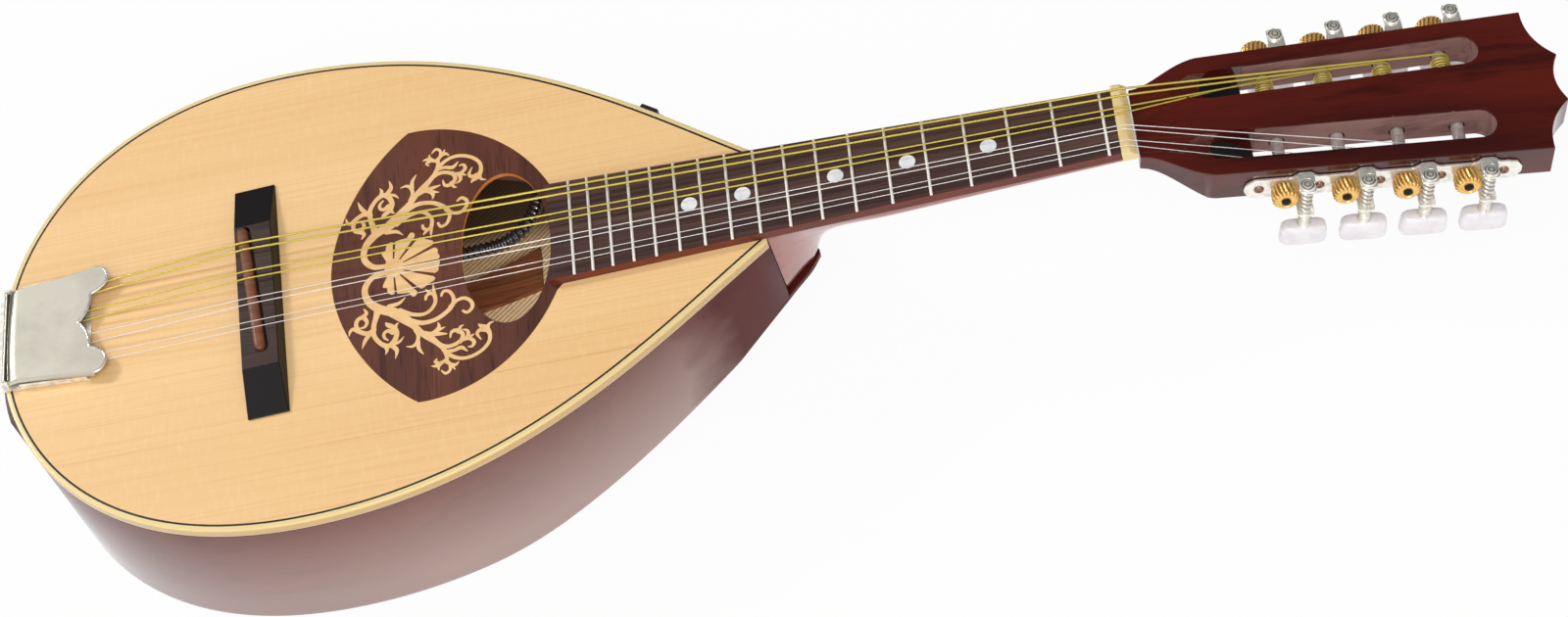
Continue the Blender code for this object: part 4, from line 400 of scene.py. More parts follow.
class Paint(Tree):
    """One material's node tree, with short ways to the nodes that the finishes use."""

    def __init__(self, name: str, **numbers: float) -> None:
        """Start a Principled material with its plain numbers set."""
        self.material = bpy.data.materials.new(name)
        super().__init__(self.material)
        self.shader = self.nodes["Principled BSDF"]
        for key, value in numbers.items():
            self.shader.inputs[key.replace("_", " ").title().replace("Ior", "IOR")].default_value = value
        self.place = self.node("ShaderNodeTexCoord").outputs["Object"]

    def stretched(self, scale: Sequence[float], turn: float = 0.0) -> bpy.types.NodeSocket:
        """Return the object coordinates, turned about z in degrees and scaled along each axis."""
        return self.node("ShaderNodeMapping", {"Vector": self.place, "Scale": scale,
                                               "Rotation": (0.0, 0.0, math.radians(turn))}).outputs[0]

    def part(self, vector: bpy.types.NodeSocket, index: int) -> Socket:
        """Return one of a vector's three numbers."""
        return Socket(self, self.node("ShaderNodeSeparateXYZ", (vector,)).outputs[index])

    def axis(self, index: int) -> Socket:
        """Return one of the object coordinates."""
        return self.part(self.place, index)

    def facing(self) -> Socket:
        """Return how much the surface looks up, from -1 to 1."""
        return self.part(self.node("ShaderNodeNewGeometry").outputs["Normal"], 2)

    def along(self) -> Socket:
        """Return the number that the mesh carries at each point."""
        return Socket(self, self.node("ShaderNodeAttribute", attribute_name="along").outputs["Fac"])

    def noise(self, scale: Sequence[float], detail: float = 3.0, roughness: float = 0.5,
              turn: float = 0.0) -> Socket:
        """Return soft noise on stretched object coordinates."""
        return Socket(self, self.node("ShaderNodeTexNoise", {
            "Vector": self.stretched(scale, turn), "Scale": 1.0, "Detail": detail,
            "Roughness": roughness}).outputs[0])

    def stepped(self, value: Socket, low: float, high: float, first: float = 0.0,
                last: float = 1.0) -> Socket:
        """Return a value mapped from one range to another and held inside it."""
        node = self.node("ShaderNodeMapRange", (value, low, high, first, last), clamp=True)
        return Socket(self, node.outputs[0])

    def ribbed(self, value: Socket, pitch: float) -> Socket:
        """Return a wave from 0 to 1 that repeats each pitch of a length: half a sine and a half."""
        return (value * (2.0 * math.pi / pitch)).math("SINE") * 0.5 + 0.5

    def mixed(self, share: Socket | float, first: object, second: object) -> bpy.types.NodeSocket:
        """Return the mix of two colours by a share."""
        values = [(*c, 1.0) if isinstance(c, tuple) else c for c in (first, second)]
        return self.node("ShaderNodeMix", {0: share, 6: values[0], 7: values[1]}, data_type="RGBA").outputs[2]

    def bumped(self, height: Socket, distance: float, strength: float) -> None:
        """Lift the surface by a height times a distance in metres."""
        node = self.node("ShaderNodeBump", {"Strength": strength, "Distance": distance, "Height": height})
        self.fill(self.shader.inputs["Normal"], node.outputs[0])

    def coloured(self, colour: bpy.types.NodeSocket) -> None:
        """Give the shader its colour."""
        self.fill(self.shader.inputs["Base Color"], colour)


class Grain(Enum):
    """How a wood is cut and what it is used for."""

    EBONY = "ebony"
    PANEL = "panel"
    BOARD = "board"
    LACQUERED = "lacquered"
    SIDE = "side"


@dataclass(frozen=True)
class Spruce:
    """Pale spruce top: fine straight grain along the strings, faint cross silk, satin lacquer."""

    light: Colour = srgb(250, 207, 147)
    tan: Colour = srgb(240, 189, 126)
    line: Colour = srgb(218, 152, 90)
    glint: Colour = srgb(253, 220, 168)
    edge: Colour = srgb(196, 120, 58)

    def make(self) -> bpy.types.Material:
        """Return the material: stretched noise for the broad bands, finer noise for the grain lines."""
        paint = Paint("spruce", roughness=0.38, coat_weight=0.25, coat_roughness=0.15)
        broad = paint.noise((1.2, 24.0, 20.0), 2.0)
        fine = paint.noise((6.0, 1100.0, 60.0), 2.0)
        lines = paint.noise((1.5, 380.0, 40.0), 3.0)
        silk = paint.noise((520.0, 130.0, 40.0), 3.0, 0.6, 24.0)
        colour = paint.mixed(paint.stepped(broad, 0.42, 0.7) * 0.4, self.light, self.tan)
        colour = paint.mixed(paint.stepped(fine, 0.46, 0.7) * 0.55, colour, self.tan)
        colour = paint.mixed(paint.stepped(lines, 0.62, 0.72) * 0.45, colour, self.line)
        colour = paint.mixed(paint.stepped(silk, 0.5, 0.75) * 0.3, colour, self.glint)
        wall = paint.stepped(paint.facing().math("ABSOLUTE"), 0.8, 0.3)
        paint.coloured(paint.mixed(wall, colour, self.edge))
        paint.bumped(fine, 0.00004, 0.5)
        return paint.material


@dataclass(frozen=True)
class DarkWood:
    """A dark wood with streaks along the strings; each use has its own tones, scale and gloss."""

    name: str
    grain: Grain
    base: Colour
    streak: Colour
    shade: Colour
    roughness: float
    coat: float = 0.0
    coat_ior: float = 1.5
    # pale painted reflection of the floor on the side's lacquer
    painted_reflection: Colour = srgb(182, 146, 132)

    def make(self) -> bpy.types.Material:
        """Return the material: long noise for figure, fine noise for pores, gloss from the coat. On the
        bent side the gloss and a pale painted reflection grow with the distance below the top and from the
        heel, and near the heel the colour turns to the dark tone as a painted dark reflection; ebony turns
        to its dark tone as painted shade wherever it doesn't look straight up."""
        lacquered = self.grain in (Grain.LACQUERED, Grain.SIDE)
        paint = Paint(self.name, roughness=self.roughness, coat_weight=self.coat, coat_roughness=0.04,
                      coat_ior=self.coat_ior, specular_ior_level=0.12 if lacquered else 0.3)
        if self.grain is Grain.SIDE:
            low = paint.stepped(paint.axis(2), T - 0.004, 0.012, 0.25, 1.0)
            uneven = paint.axis(0) + paint.noise((30.0, 30.0, 50.0)) * 0.02
            far = paint.stepped(uneven, 0.194, 0.174, 0.06, 1.0)
            # share of the pale painted reflection: larger low on the side and away from the tail, small near
            # the heel
            pale = low * far * paint.stepped(paint.axis(0), -0.09, 0.06, 0.15, 1.0)
            paint.fill(paint.shader.inputs["Coat Weight"], low * far)
        swapped = (1, 0, 2) if self.grain is Grain.PANEL else (0, 1, 2)
        fine = 7.0 if self.grain is Grain.BOARD else 1.0
        layers = (((9.0, 120.0 * fine, 90.0), 4.0, 0.62), ((4.0, 38.0 * fine, 30.0), 3.0, 0.5),
                  ((60.0, 1100.0, 700.0), 2.0, 0.5))
        figure, bands, pores = (paint.noise([scale[k] for k in swapped], detail, rough)
                                for scale, detail, rough in layers)
        colour = paint.mixed(paint.stepped(bands, 0.38, 0.66), self.base, self.streak)
        colour = paint.mixed(paint.stepped(figure, 0.52, 0.7) * 0.8, colour, self.shade)
        depth = 0.18 if lacquered else 0.6
        colour = paint.mixed(paint.stepped(pores, 0.56, 0.72) * depth, colour, self.shade)
        if self.grain is Grain.SIDE:
            # painted reflections: pale where the share is high, and the dark tone near the heel as a painted
            # dark reflection
            colour = paint.mixed((1.0 - far) * 0.8, paint.mixed(pale * 0.7, colour, self.painted_reflection), self.shade)
        if self.grain is Grain.EBONY:
            # painted shade: every face that doesn't look straight up, the sloping ends, sides and front,
            # turns to the near-black tone
            colour = paint.mixed(paint.stepped(paint.facing(), 0.993, 0.997), self.shade, colour)
        paint.coloured(colour)
        if not lacquered:
            paint.bumped(pores, 0.00006, 0.6)
        return paint.material


@dataclass(frozen=True)
class Metal:
    """A metal with a worn, slightly uneven polish; on the nickel, chrome and cover its dark patches are
    painted reflections.
    """

    name: str
    colour: Colour
    dark: Colour
    roughness: float
    spread: float = 0.08
    scale: float = 260.0
    metallic: float = 1.0
    groove_shade: Colour | None = None

    def make(self) -> bpy.types.Material:
        """Return the material: noise darkens the colour in patches and changes the roughness, and the depth
        that the mesh carries darkens its grooves as painted shade."""
        paint = Paint(self.name, metallic=self.metallic)
        cloud = paint.noise((self.scale,) * 3, 4.0, 0.6)
        # on the nickel, chrome and cover these dark patches are painted reflections; on the other metals an
        # uneven tone
        colour = paint.mixed(paint.stepped(cloud, 0.45, 0.8) * 0.5, self.colour, self.dark)
        # painted shade in the grooves, by the share that the mesh carries
        if self.groove_shade:
            colour = paint.mixed(paint.along() * 0.75, colour, self.groove_shade)
        paint.coloured(colour)
        uneven = paint.stepped(cloud, 0.3, 0.75, self.roughness, self.roughness + self.spread)
        paint.fill(paint.shader.inputs["Roughness"], uneven)
        return paint.material


@dataclass(frozen=True)
class Polished:
    """A plain polished stuff such as ivoroid, pearl or black plastic, with clouds and fine lines."""

    name: str
    colour: Colour
    cloud: Colour
    roughness: float
    lines: float = 0.0
    coat: float = 0.0

    def make(self) -> bpy.types.Material:
        """Return the material: soft clouds, and thin layers across z where lines are asked for."""
        paint = Paint(self.name, roughness=self.roughness, coat_weight=self.coat, coat_roughness=0.05)
        clouds = paint.noise((160.0, 160.0, 160.0), 3.0)
        colour = paint.mixed(paint.stepped(clouds, 0.4, 0.7), self.colour, self.cloud)
        if self.lines:
            layers = paint.noise((60.0, 60.0, 1400.0), 2.0)
            colour = paint.mixed(paint.stepped(layers, 0.45, 0.75) * self.lines, colour, self.cloud)
        paint.coloured(colour)
        return paint.material


@dataclass(frozen=True)
class Binding:
    """Aged ivoroid edge: cream on top, a deeper gold down the side as painted shade, a pale line along its
    foot.
    """

    cream: Colour = srgb(242, 216, 154)
    # tone of the side in painted shade
    gold: Colour = srgb(214, 170, 92)
    foot: Colour = srgb(240, 218, 164)

    def make(self) -> bpy.types.Material:
        """Return the material: the height picks the tone, and thin layers run along the strip."""
        paint = Paint("edge_ivoroid", roughness=0.3, coat_weight=0.5, coat_roughness=0.05)
        layers = paint.noise((14.0, 14.0, 1500.0), 2.0)
        height = paint.axis(2)
        # painted shade: below the top edge the cream turns to the deeper gold of the shaded side
        colour = paint.mixed(paint.stepped(height, T - 0.0003, T - 0.0012), self.cream, self.gold)
        colour = paint.mixed(paint.stepped(height, T - 0.0036, T - 0.0042) * 0.8, colour, self.foot)
        paint.coloured(paint.mixed(paint.stepped(layers, 0.45, 0.75) * 0.3, colour, self.cream))
        return paint.material


@dataclass(frozen=True)
class Linen:
    """Pale woven lining of the back's inner face, with fine ribs, and a painted shadow towards the far side.
    """

    thread: Colour = srgb(255, 236, 196)
    gap: Colour = srgb(190, 156, 106)
    # colour of the painted shadow on the far side
    dim: Colour = srgb(52, 30, 19)
    pitch: float = 0.0018
    turn: float = 52.0

    def make(self) -> bpy.types.Material:
        """Return the material: a sine across the turned coordinates for the ribs, noise for the threads, and
        a dark painted shadow beyond y of 0.048 to 0.060.
        """
        paint = Paint("linen", roughness=0.85)
        ribs = paint.ribbed(paint.part(paint.stretched((1.0, 1.0, 1.0), self.turn), 0), self.pitch)
        share = ribs * 0.6 + paint.noise((900.0, 900.0, 300.0)) * 0.5
        colour = paint.mixed(paint.stepped(share, 0.2, 0.9), self.gap, self.thread)
        # painted shadow: towards the far side, where the top shades the back, the lining turns dark
        paint.coloured(paint.mixed(paint.stepped(paint.axis(1), 0.048, 0.060) * 0.92, colour, self.dim))
        paint.bumped(ribs, 0.0002, 0.6)
        return paint.material


@dataclass(frozen=True)
class WoundWire:
    """Wire wrapped round a core: fine turns along the string's own length."""

    colour: Colour = srgb(246, 230, 120)
    groove_shade: Colour = srgb(186, 158, 48)
    pitch: float = 0.00032

    def make(self) -> bpy.types.Material:
        """Return the material: a sine of the length over the pitch shades and lifts each turn."""
        paint = Paint("wound_bronze", metallic=0.5, roughness=0.36)
        wave = paint.ribbed(paint.along(), self.pitch)
        paint.coloured(paint.mixed(wave, self.groove_shade, self.colour))
        paint.bumped(wave, 0.00004, 0.5)
        return paint.material


@dataclass
class Finishes:
    """Every finish of the instrument, made once."""

    made: dict[str, bpy.types.Material] = field(default_factory=dict)

    def __post_init__(self) -> None:
        """Make the materials."""
        stuffs = {
            "spruce": Spruce(),
            # mahogany: the neck's tones are made pale pink as a painted reflection of the white floor on the
            # lacquer
            "mahogany": DarkWood("lacquered_mahogany", Grain.LACQUERED, srgb(176, 104, 94), srgb(150, 80, 72),
                                 srgb(110, 50, 46), 0.35, 1.0, 1.7),
            # side: its dark tone also serves as the painted dark reflection near the heel
            "side": DarkWood("lacquered_side", Grain.SIDE, srgb(110, 48, 42), srgb(96, 39, 35),
                             srgb(84, 27, 24), 0.35, 1.0, 2.1),
            "head": DarkWood("lacquered_head", Grain.LACQUERED, srgb(96, 28, 19), srgb(58, 16, 15),
                             srgb(32, 9, 10), 0.35, 1.0),
            "panel": DarkWood("rosewood_panel", Grain.PANEL, srgb(108, 58, 41), srgb(80, 43, 33),
                              srgb(36, 18, 16), 0.45, 0.1),
            "board": DarkWood("rosewood_board", Grain.BOARD, srgb(60, 39, 36), srgb(96, 68, 60),
                              srgb(28, 17, 17), 0.6),
            "board_side": DarkWood("rosewood_side", Grain.BOARD, srgb(122, 48, 30), srgb(92, 34, 22),
                                   srgb(60, 22, 16), 0.5, 0.3),
            # ebony: its dark tone also serves as painted shade on every face but the flat top
            "ebony": DarkWood("ebony", Grain.EBONY, srgb(74, 54, 48), srgb(58, 42, 38),
                              srgb(20, 15, 17), 0.42, 0.1),
            "saddle": DarkWood("saddle_rosewood", Grain.BOARD, srgb(134, 84, 58), srgb(112, 66, 46),
                               srgb(74, 40, 28), 0.5, 0.2),
            "slot_wood": DarkWood("bare_mahogany", Grain.BOARD, srgb(160, 120, 112), srgb(132, 92, 86),
                                  srgb(98, 60, 58), 0.6),
            "maple": Polished("maple_inlay", srgb(250, 206, 146), srgb(240, 192, 128), 0.42, 0.0, 0.2),
            "ivoroid": Polished("ivoroid", srgb(246, 222, 166), srgb(238, 208, 144), 0.3, 0.4, 0.5),
            "binding": Binding(),
            "linden": Polished("linden", srgb(220, 188, 146), srgb(200, 166, 122), 0.7, 0.3),
            "linen": Linen(),
            "strip_wood": DarkWood("strip_mahogany", Grain.BOARD, srgb(150, 94, 60), srgb(122, 74, 46),
                                   srgb(80, 46, 28), 0.7),
            "black_line": Polished("black_fibre", srgb(22, 20, 20), srgb(34, 32, 32), 0.5),
            "black_plastic": Polished("black_plastic", srgb(24, 24, 26), srgb(34, 34, 36), 0.4),
            "wrap": Polished("cable_wrap", srgb(20, 22, 28), srgb(38, 42, 52), 0.2, 0.0, 1.0),
            # painted shade: a near-black stuff for the slots' nut ends and the screws' cross recesses
            "painted_shade": Polished("painted_shade", srgb(14, 10, 10), srgb(22, 16, 16), 0.8),
            "pearl": Polished("pearl_dot", srgb(250, 250, 250), srgb(222, 226, 232), 0.25, 0.0, 0.6),
            "pearloid": Polished("pearloid", srgb(250, 246, 248), srgb(236, 228, 234), 0.22, 0.4, 0.8),
            # nickel, cover and chrome: the second colour gives dark patches of painted reflection; nickel's
            # last colour is painted shade in its grooves
            "nickel": Metal("nickel_plate", srgb(255, 251, 242), srgb(96, 88, 80), 0.16, 0.08, 420.0, 0.6,
                            srgb(104, 94, 82)),
            "cover": Metal("cover_nickel", srgb(216, 211, 196), srgb(140, 138, 124), 0.17, 0.06, 30.0),
            "chrome": Metal("chrome", srgb(250, 248, 246), srgb(120, 112, 106), 0.08, 0.05, 420.0, 0.7),
            "fret": Metal("fret_metal", srgb(255, 250, 240), srgb(246, 238, 226), 0.4, 0.05, 260.0, 0.1),
            "steel": Metal("plain_steel", srgb(246, 242, 238), srgb(222, 216, 212), 0.3, 0.08, 260.0, 0.4),
            # brass: its last colour is painted shade between the gear's teeth
            "brass": Metal("brass", srgb(255, 208, 124), srgb(226, 166, 80), 0.24, 0.1, 260.0, 0.6,
                           srgb(132, 78, 20)),
            "screw": Metal("blackened_screw", srgb(52, 44, 40), srgb(26, 22, 20), 0.3),
            "wood_screw": Metal("bronzed_screw", srgb(150, 116, 96), srgb(84, 60, 50), 0.25, 0.08, 260.0,
                                0.8),
            "bronze": WoundWire(),
        }
        self.made = {name: stuff.make() for name, stuff in stuffs.items()}

    def __getitem__(self, name: str) -> bpy.types.Material:
        """Return one finish by name."""
        return self.made[name]


@dataclass
class Bench:
    """Where finished pieces are put into the scene."""

    finishes: Finishes
    frame: dict[str, object]

    def piece(self, name: str, shell: Shell, finish: str, body: str = ROOT, nodes: Sequence[str] = (),
              slot: str | None = None, crease: float = 35.0, bevel: float = 0.0) -> bpy.types.Object:
        """Make one piece, dress it and let it ride on its body.

        Args:
            name: The piece's name.
            shell: Its surfaces.
            finish: The name of its finish.
            body: The CAD body that it rides on.
            nodes: CAD nodes that it stands for.
            slot: The record's material slot; not used.
            crease: The angle in degrees over which an edge stays sharp.
            bevel: The width of a small rounding of its sharp edges, or 0.

        Returns:
            The piece.
        """
        mesh = shell.mesh(name)
        shaded(mesh, crease)
        mesh.materials.append(self.finishes[finish])
        obj = linked(name, mesh)
        if bevel:
            self.bevelled(obj, bevel)
        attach(obj, body)
        if nodes:
            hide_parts(*nodes)
        LOG.info("%s: %d faces on %s", obj.name, len(obj.data.polygons), body)
        return obj

    def bevelled(self, obj: bpy.types.Object, width: float) -> None:
        """Round a piece's sharp edges."""
        step = obj.modifiers.new("bevel", "BEVEL")
        step.width = width
        step.segments = 2
        step.limit_method = "ANGLE"
        step.angle_limit = math.radians(40.0)
        step.harden_normals = True

    def cut(self, obj: bpy.types.Object, shell: Shell, name: str) -> None:
        """Cut a piece with closed shells, and bake the cut into its mesh."""
        tool = linked(name, shell.mesh(name))
        step = obj.modifiers.new(name, "BOOLEAN")
        step.operation = "DIFFERENCE"
        step.solver = "EXACT"
        step.object = tool
        graph = bpy.context.evaluated_depsgraph_get()
        mesh = bpy.data.meshes.new_from_object(obj.evaluated_get(graph))
        obj.modifiers.clear()
        obj.data = mesh
        bpy.data.objects.remove(tool, do_unlink=True)

    def keep(self, node: str, finish: str) -> None:
        """Dress a CAD node that is shown as it is."""
        data = self.frame["nodes"][node].data
        data.materials.clear()
        data.materials.append(self.finishes[finish])
        LOG.info("%s: CAD form kept", node)


@dataclass
class SoundBox:
    """The body: outline, soundboard, edge trim, sides and back. The outline is given by Bezier corners
    and handle lengths, its angles in degrees; the hole is its middle and half sizes; the back bends from
    a start over a length to a slope."""

    bench: Bench
    tail: float = -0.1087
    corner: Pair = (-0.10645, 0.0254)
    corner_angle: float = 77.6
    wide: Pair = (0.0119, 0.1087)
    handles: Quad = (0.0276, 0.0841, 0.0861, 0.0540)
    shoulder: Pair = (0.198, 0.0255)
    shoulder_angle: float = 37.0
    joint: float = 0.2065
    reach: float = 0.0024
    top_thickness: float = 0.0028
    top_inset: float = 0.0030
    back_thickness: float = 0.0030
    wall: float = 0.0023
    binding_width: float = 0.0021
    binding_height: float = 0.0048
    hole: Triple = (0.1010, 0.0188, 0.0370)
    lean_start: float = 0.183
    lean_width: float = 0.0047
    back_bend: Triple = (0.070, 0.035, 0.18)

    def __post_init__(self) -> None:
        """Work out the template line and its outward normals, from the joint round the tail and back."""
        corner, wide, shoulder = (np.array(p) for p in (self.corner, self.wide, self.shoulder))
        a, b = math.radians(self.corner_angle), math.radians(self.shoulder_angle)
        up, down = np.array([math.cos(a), math.sin(a)]), np.array([math.cos(b), -math.sin(b)])
        first, before, after, last = self.handles
        flat = self.corner[1] / 2.0
        parts = [bezier([(self.tail, 0), (self.tail, flat), corner - up * flat / 2.0, corner], 12),
                 bezier([corner, corner + up * first, wide - (before, 0.0), wide], 60)[1:],
                 bezier([wide, wide + (after, 0.0), shoulder - down * last, shoulder], 70)[1:]]
        half = np.vstack(parts)
        way = unit(np.gradient(half, axis=0))
        way[0], way[-1] = (0.0, 1.0), down
        out = np.column_stack([-way[:, 1], way[:, 0]])
        self.line, self.out = (np.vstack([p[::-1], p[1:] * MIRROR]) for p in (half, out))
        self.down = down

    def outline(self, inset: float) -> Array:
        """Return the outline inset from the outer edge: the template moved along its normals, and both
        ends carried straight on to the neck joint.

        Args:
            inset: The distance inwards from the outer edge.

        Returns:
            The points from the joint on +Y round the tail to the joint on -Y.
        """
        points = self.line + self.out * (self.reach - inset)
        first = points[0] + self.down * (self.joint - points[0, 0]) / self.down[0]
        return np.vstack([first, points, first * MIRROR])

    def back_height(self, x: Array) -> Array:
        """Return the back's height: flat, then a parabola, then a straight rise to the heel."""
        start, bend, rise = self.back_bend
        past = np.asarray(x, float) - start
        curved = rise * np.clip(past, 0.0, bend) ** 2 / (2.0 * bend)
        return curved + rise * np.maximum(past - bend, 0.0)

    def lean(self, x: Array) -> Array:
        """Return how far the side's foot leans in near the heel."""
        share = np.clip((np.asarray(x, float) - self.lean_start) / (self.joint - self.lean_start), 0.0, 1.0)
        return self.lean_width * share

    def towards_hole(self, loop: Array, grow: float = 0.0) -> Array:
        """Return, for each point of a loop, the soundhole's edge point in the same direction: the centre
        plus the unit direction over the root of (cos / a)^2 + (sin / b)^2.

        Args:
            loop: Points round the hole.
            grow: How far the hole is grown.

        Returns:
            The edge's points, one for each of the loop's.
        """
        x, a, b = self.hole
        way = unit(loop - (x, 0.0))
        size = 1.0 / np.hypot(way[:, 0] / (a + grow), way[:, 1] / (b + grow))
        return np.array([x, 0.0]) + way * size[:, None]

    def ring(self, outer: Array, inner: Array, low: float, high: float) -> Shell:
        """Return the flat ring between two loops.

        Args:
            outer: The outer loop.
            inner: The inner loop, point for point.
            low: The lower height.
            high: The upper height.

        Returns:
            The ring's shell.
        """
        section = [(outer, low), (outer, high), (inner, high), (inner, low)]
        return Shell().sweep(strip_rings(section), closed=True)

    def edge_strip(self, profile: Sequence[Pair]) -> Shell:
        """Return a strip round the body's edge, its section given as (inset, height)."""
        return Shell().sweep(strip_rings((self.outline(inset), z) for inset, z in profile))

    def build_top(self) -> None:
        """Make the soundboard, the black purfling line and the ivoroid binding with its rounded corner."""
        edge = self.outline(self.top_inset)
        close = np.linspace(edge[-1], edge[0], 14)[1:-1]
        loop = np.vstack([edge, close])
        board = self.ring(loop, self.towards_hole(loop), T - self.top_thickness, T)
        self.bench.piece("spruce_top", board, "spruce", nodes=["soundboard"], slot="spruce", crease=60.0)
        low, high = T - 0.0026, T + 0.00002
        outer, inner = self.binding_width, self.top_inset
        line = self.edge_strip([(outer, low), (outer, high), (inner, high), (inner, low)])
        self.bench.piece("purfling_line", line, "black_line", nodes=["purfling"], slot="black_fibre")
        a = np.radians(np.linspace(0.0, 90.0, 6))
        soft = 0.0009
        corner = [(soft - soft * math.cos(v), T - soft + soft * math.sin(v)) for v in a]
        foot = T - self.binding_height
        section = [(0.0004, foot), (0.0, foot + 0.0004), *corner, (outer, T), (outer, foot)]
        self.bench.piece("edge_binding", self.edge_strip(section), "binding", nodes=["binding"],
                         slot="ivoroid", crease=50.0)

    def build_sides(self) -> None:
        """Make the bent side: outer and inner wall from the back to the binding, leaning in at the heel."""
        top = T - self.binding_height
        section = []
        for inset, share in ((0.0, 0.0), (0.0, 0.5), (0.0, 1.0), (self.wall, 1.0), (self.wall, 0.0)):
            loop = self.outline(inset)
            foot = self.back_height(loop[:, 0]) + self.back_thickness
            z = foot + (top - foot) * share
            move = self.lean(loop[:, 0]) * (T - z) / (T - foot)
            loop[:, 1] = np.sign(loop[:, 1]) * np.maximum(np.abs(loop[:, 1]) - move, 0.0)
            section.append((loop, z))
        self.bench.piece("bent_side", Shell().sweep(strip_rings(section)), "side", nodes=["rim"],
                         slot="dark_mahogany", crease=50.0)

    def build_back(self) -> None:
        """Make the back: at each station a flat section with rounded lower corners, to the heel's button."""
        half = self.outline(0.0)[: len(self.line) // 2 + 1][::-1]
        x = np.concatenate([[self.tail - self.reach], half[1:, 0]])
        width = np.concatenate([[half[1, 1] * 0.4], half[1:, 1]]) - self.lean(x)
        button = through([(0.2065, width[-1]), (0.2095, 0.0144), (0.2137, 0.0106), (0.2171, 0.0073),
                          (0.2197, 0.0039), (0.2214, 0.0009)], 5)[1:]
        x, width = np.concatenate([x, button[:, 0]]), np.concatenate([width, button[:, 1]])
        low = self.back_height(x)
        soft = np.minimum(0.0012, width / 2.0)
        a = np.radians(np.linspace(0.0, 90.0, 5))
        side, lift = 1.0 - np.cos(a), 1.0 - np.sin(a)
        corner_y = width[:, None] - soft[:, None] * side[None]
        corner_z = low[:, None] + soft[:, None] * lift[None]
        right = np.stack([np.broadcast_to(x[:, None], corner_y.shape), corner_y, corner_z], axis=-1)
        top = np.stack([x, width, low + self.back_thickness], axis=-1)[:, None]
        half_ring = np.concatenate([top, right], axis=1)
        left = half_ring[:, ::-1] * (1.0, -1.0, 1.0)
        shell = Shell().sweep(np.concatenate([half_ring, left], axis=1))
        self.bench.piece("back_board", shell, "side", nodes=["back_plate"], slot="dark_mahogany", crease=40.0)

    def build_inside(self) -> None:
        """Make what shows through the soundhole: the back's pale inner face and its brown strip."""
        x = np.linspace(-0.100, 0.180, 57)
        loop = self.outline(0.0105)
        half = loop[: len(loop) // 2][::-1]
        width = np.interp(x, half[:, 0], half[:, 1]) - 0.002
        z = self.back_height(x) + self.back_thickness + 0.0001
        rings = np.stack([np.stack([x, s * width, z + h], axis=-1)
                          for s, h in ((-1, 0), (1, 0), (1, 0.0001), (-1, 0.0001))], axis=1)
        self.bench.piece("back_inner_face", Shell().sweep(rings), "linen", slot="linden")
        corners = np.array([(0.0600, 0.0310), (0.1010, 0.0430), (0.1010, 0.0224), (0.0640, 0.0165)])
        loop = np.vstack([np.linspace(a, b, 12, endpoint=False)
                          for a, b in zip(corners, np.roll(corners, -1, axis=0))])
        foot = self.back_height(loop[:, 0]) + self.back_thickness + 0.0002
        rings = np.stack([lifted(loop, foot + h) for h in (0.0, 0.0022)])
        self.bench.piece("back_strip", Shell().sweep(rings), "strip_wood", slot="linden")
        for node in ("top_lining", "back_lining", "neck_block", "tail_block", "top_brace_tail",
                     "top_brace_middle", "top_brace_neck", "back_brace_tail", "back_brace_neck"):
            self.bench.keep(node, "linden")

    def build(self) -> None:
        """Build the whole body in order."""
        self.build_top()
        self.build_sides()
        self.build_back()
        self.build_inside()


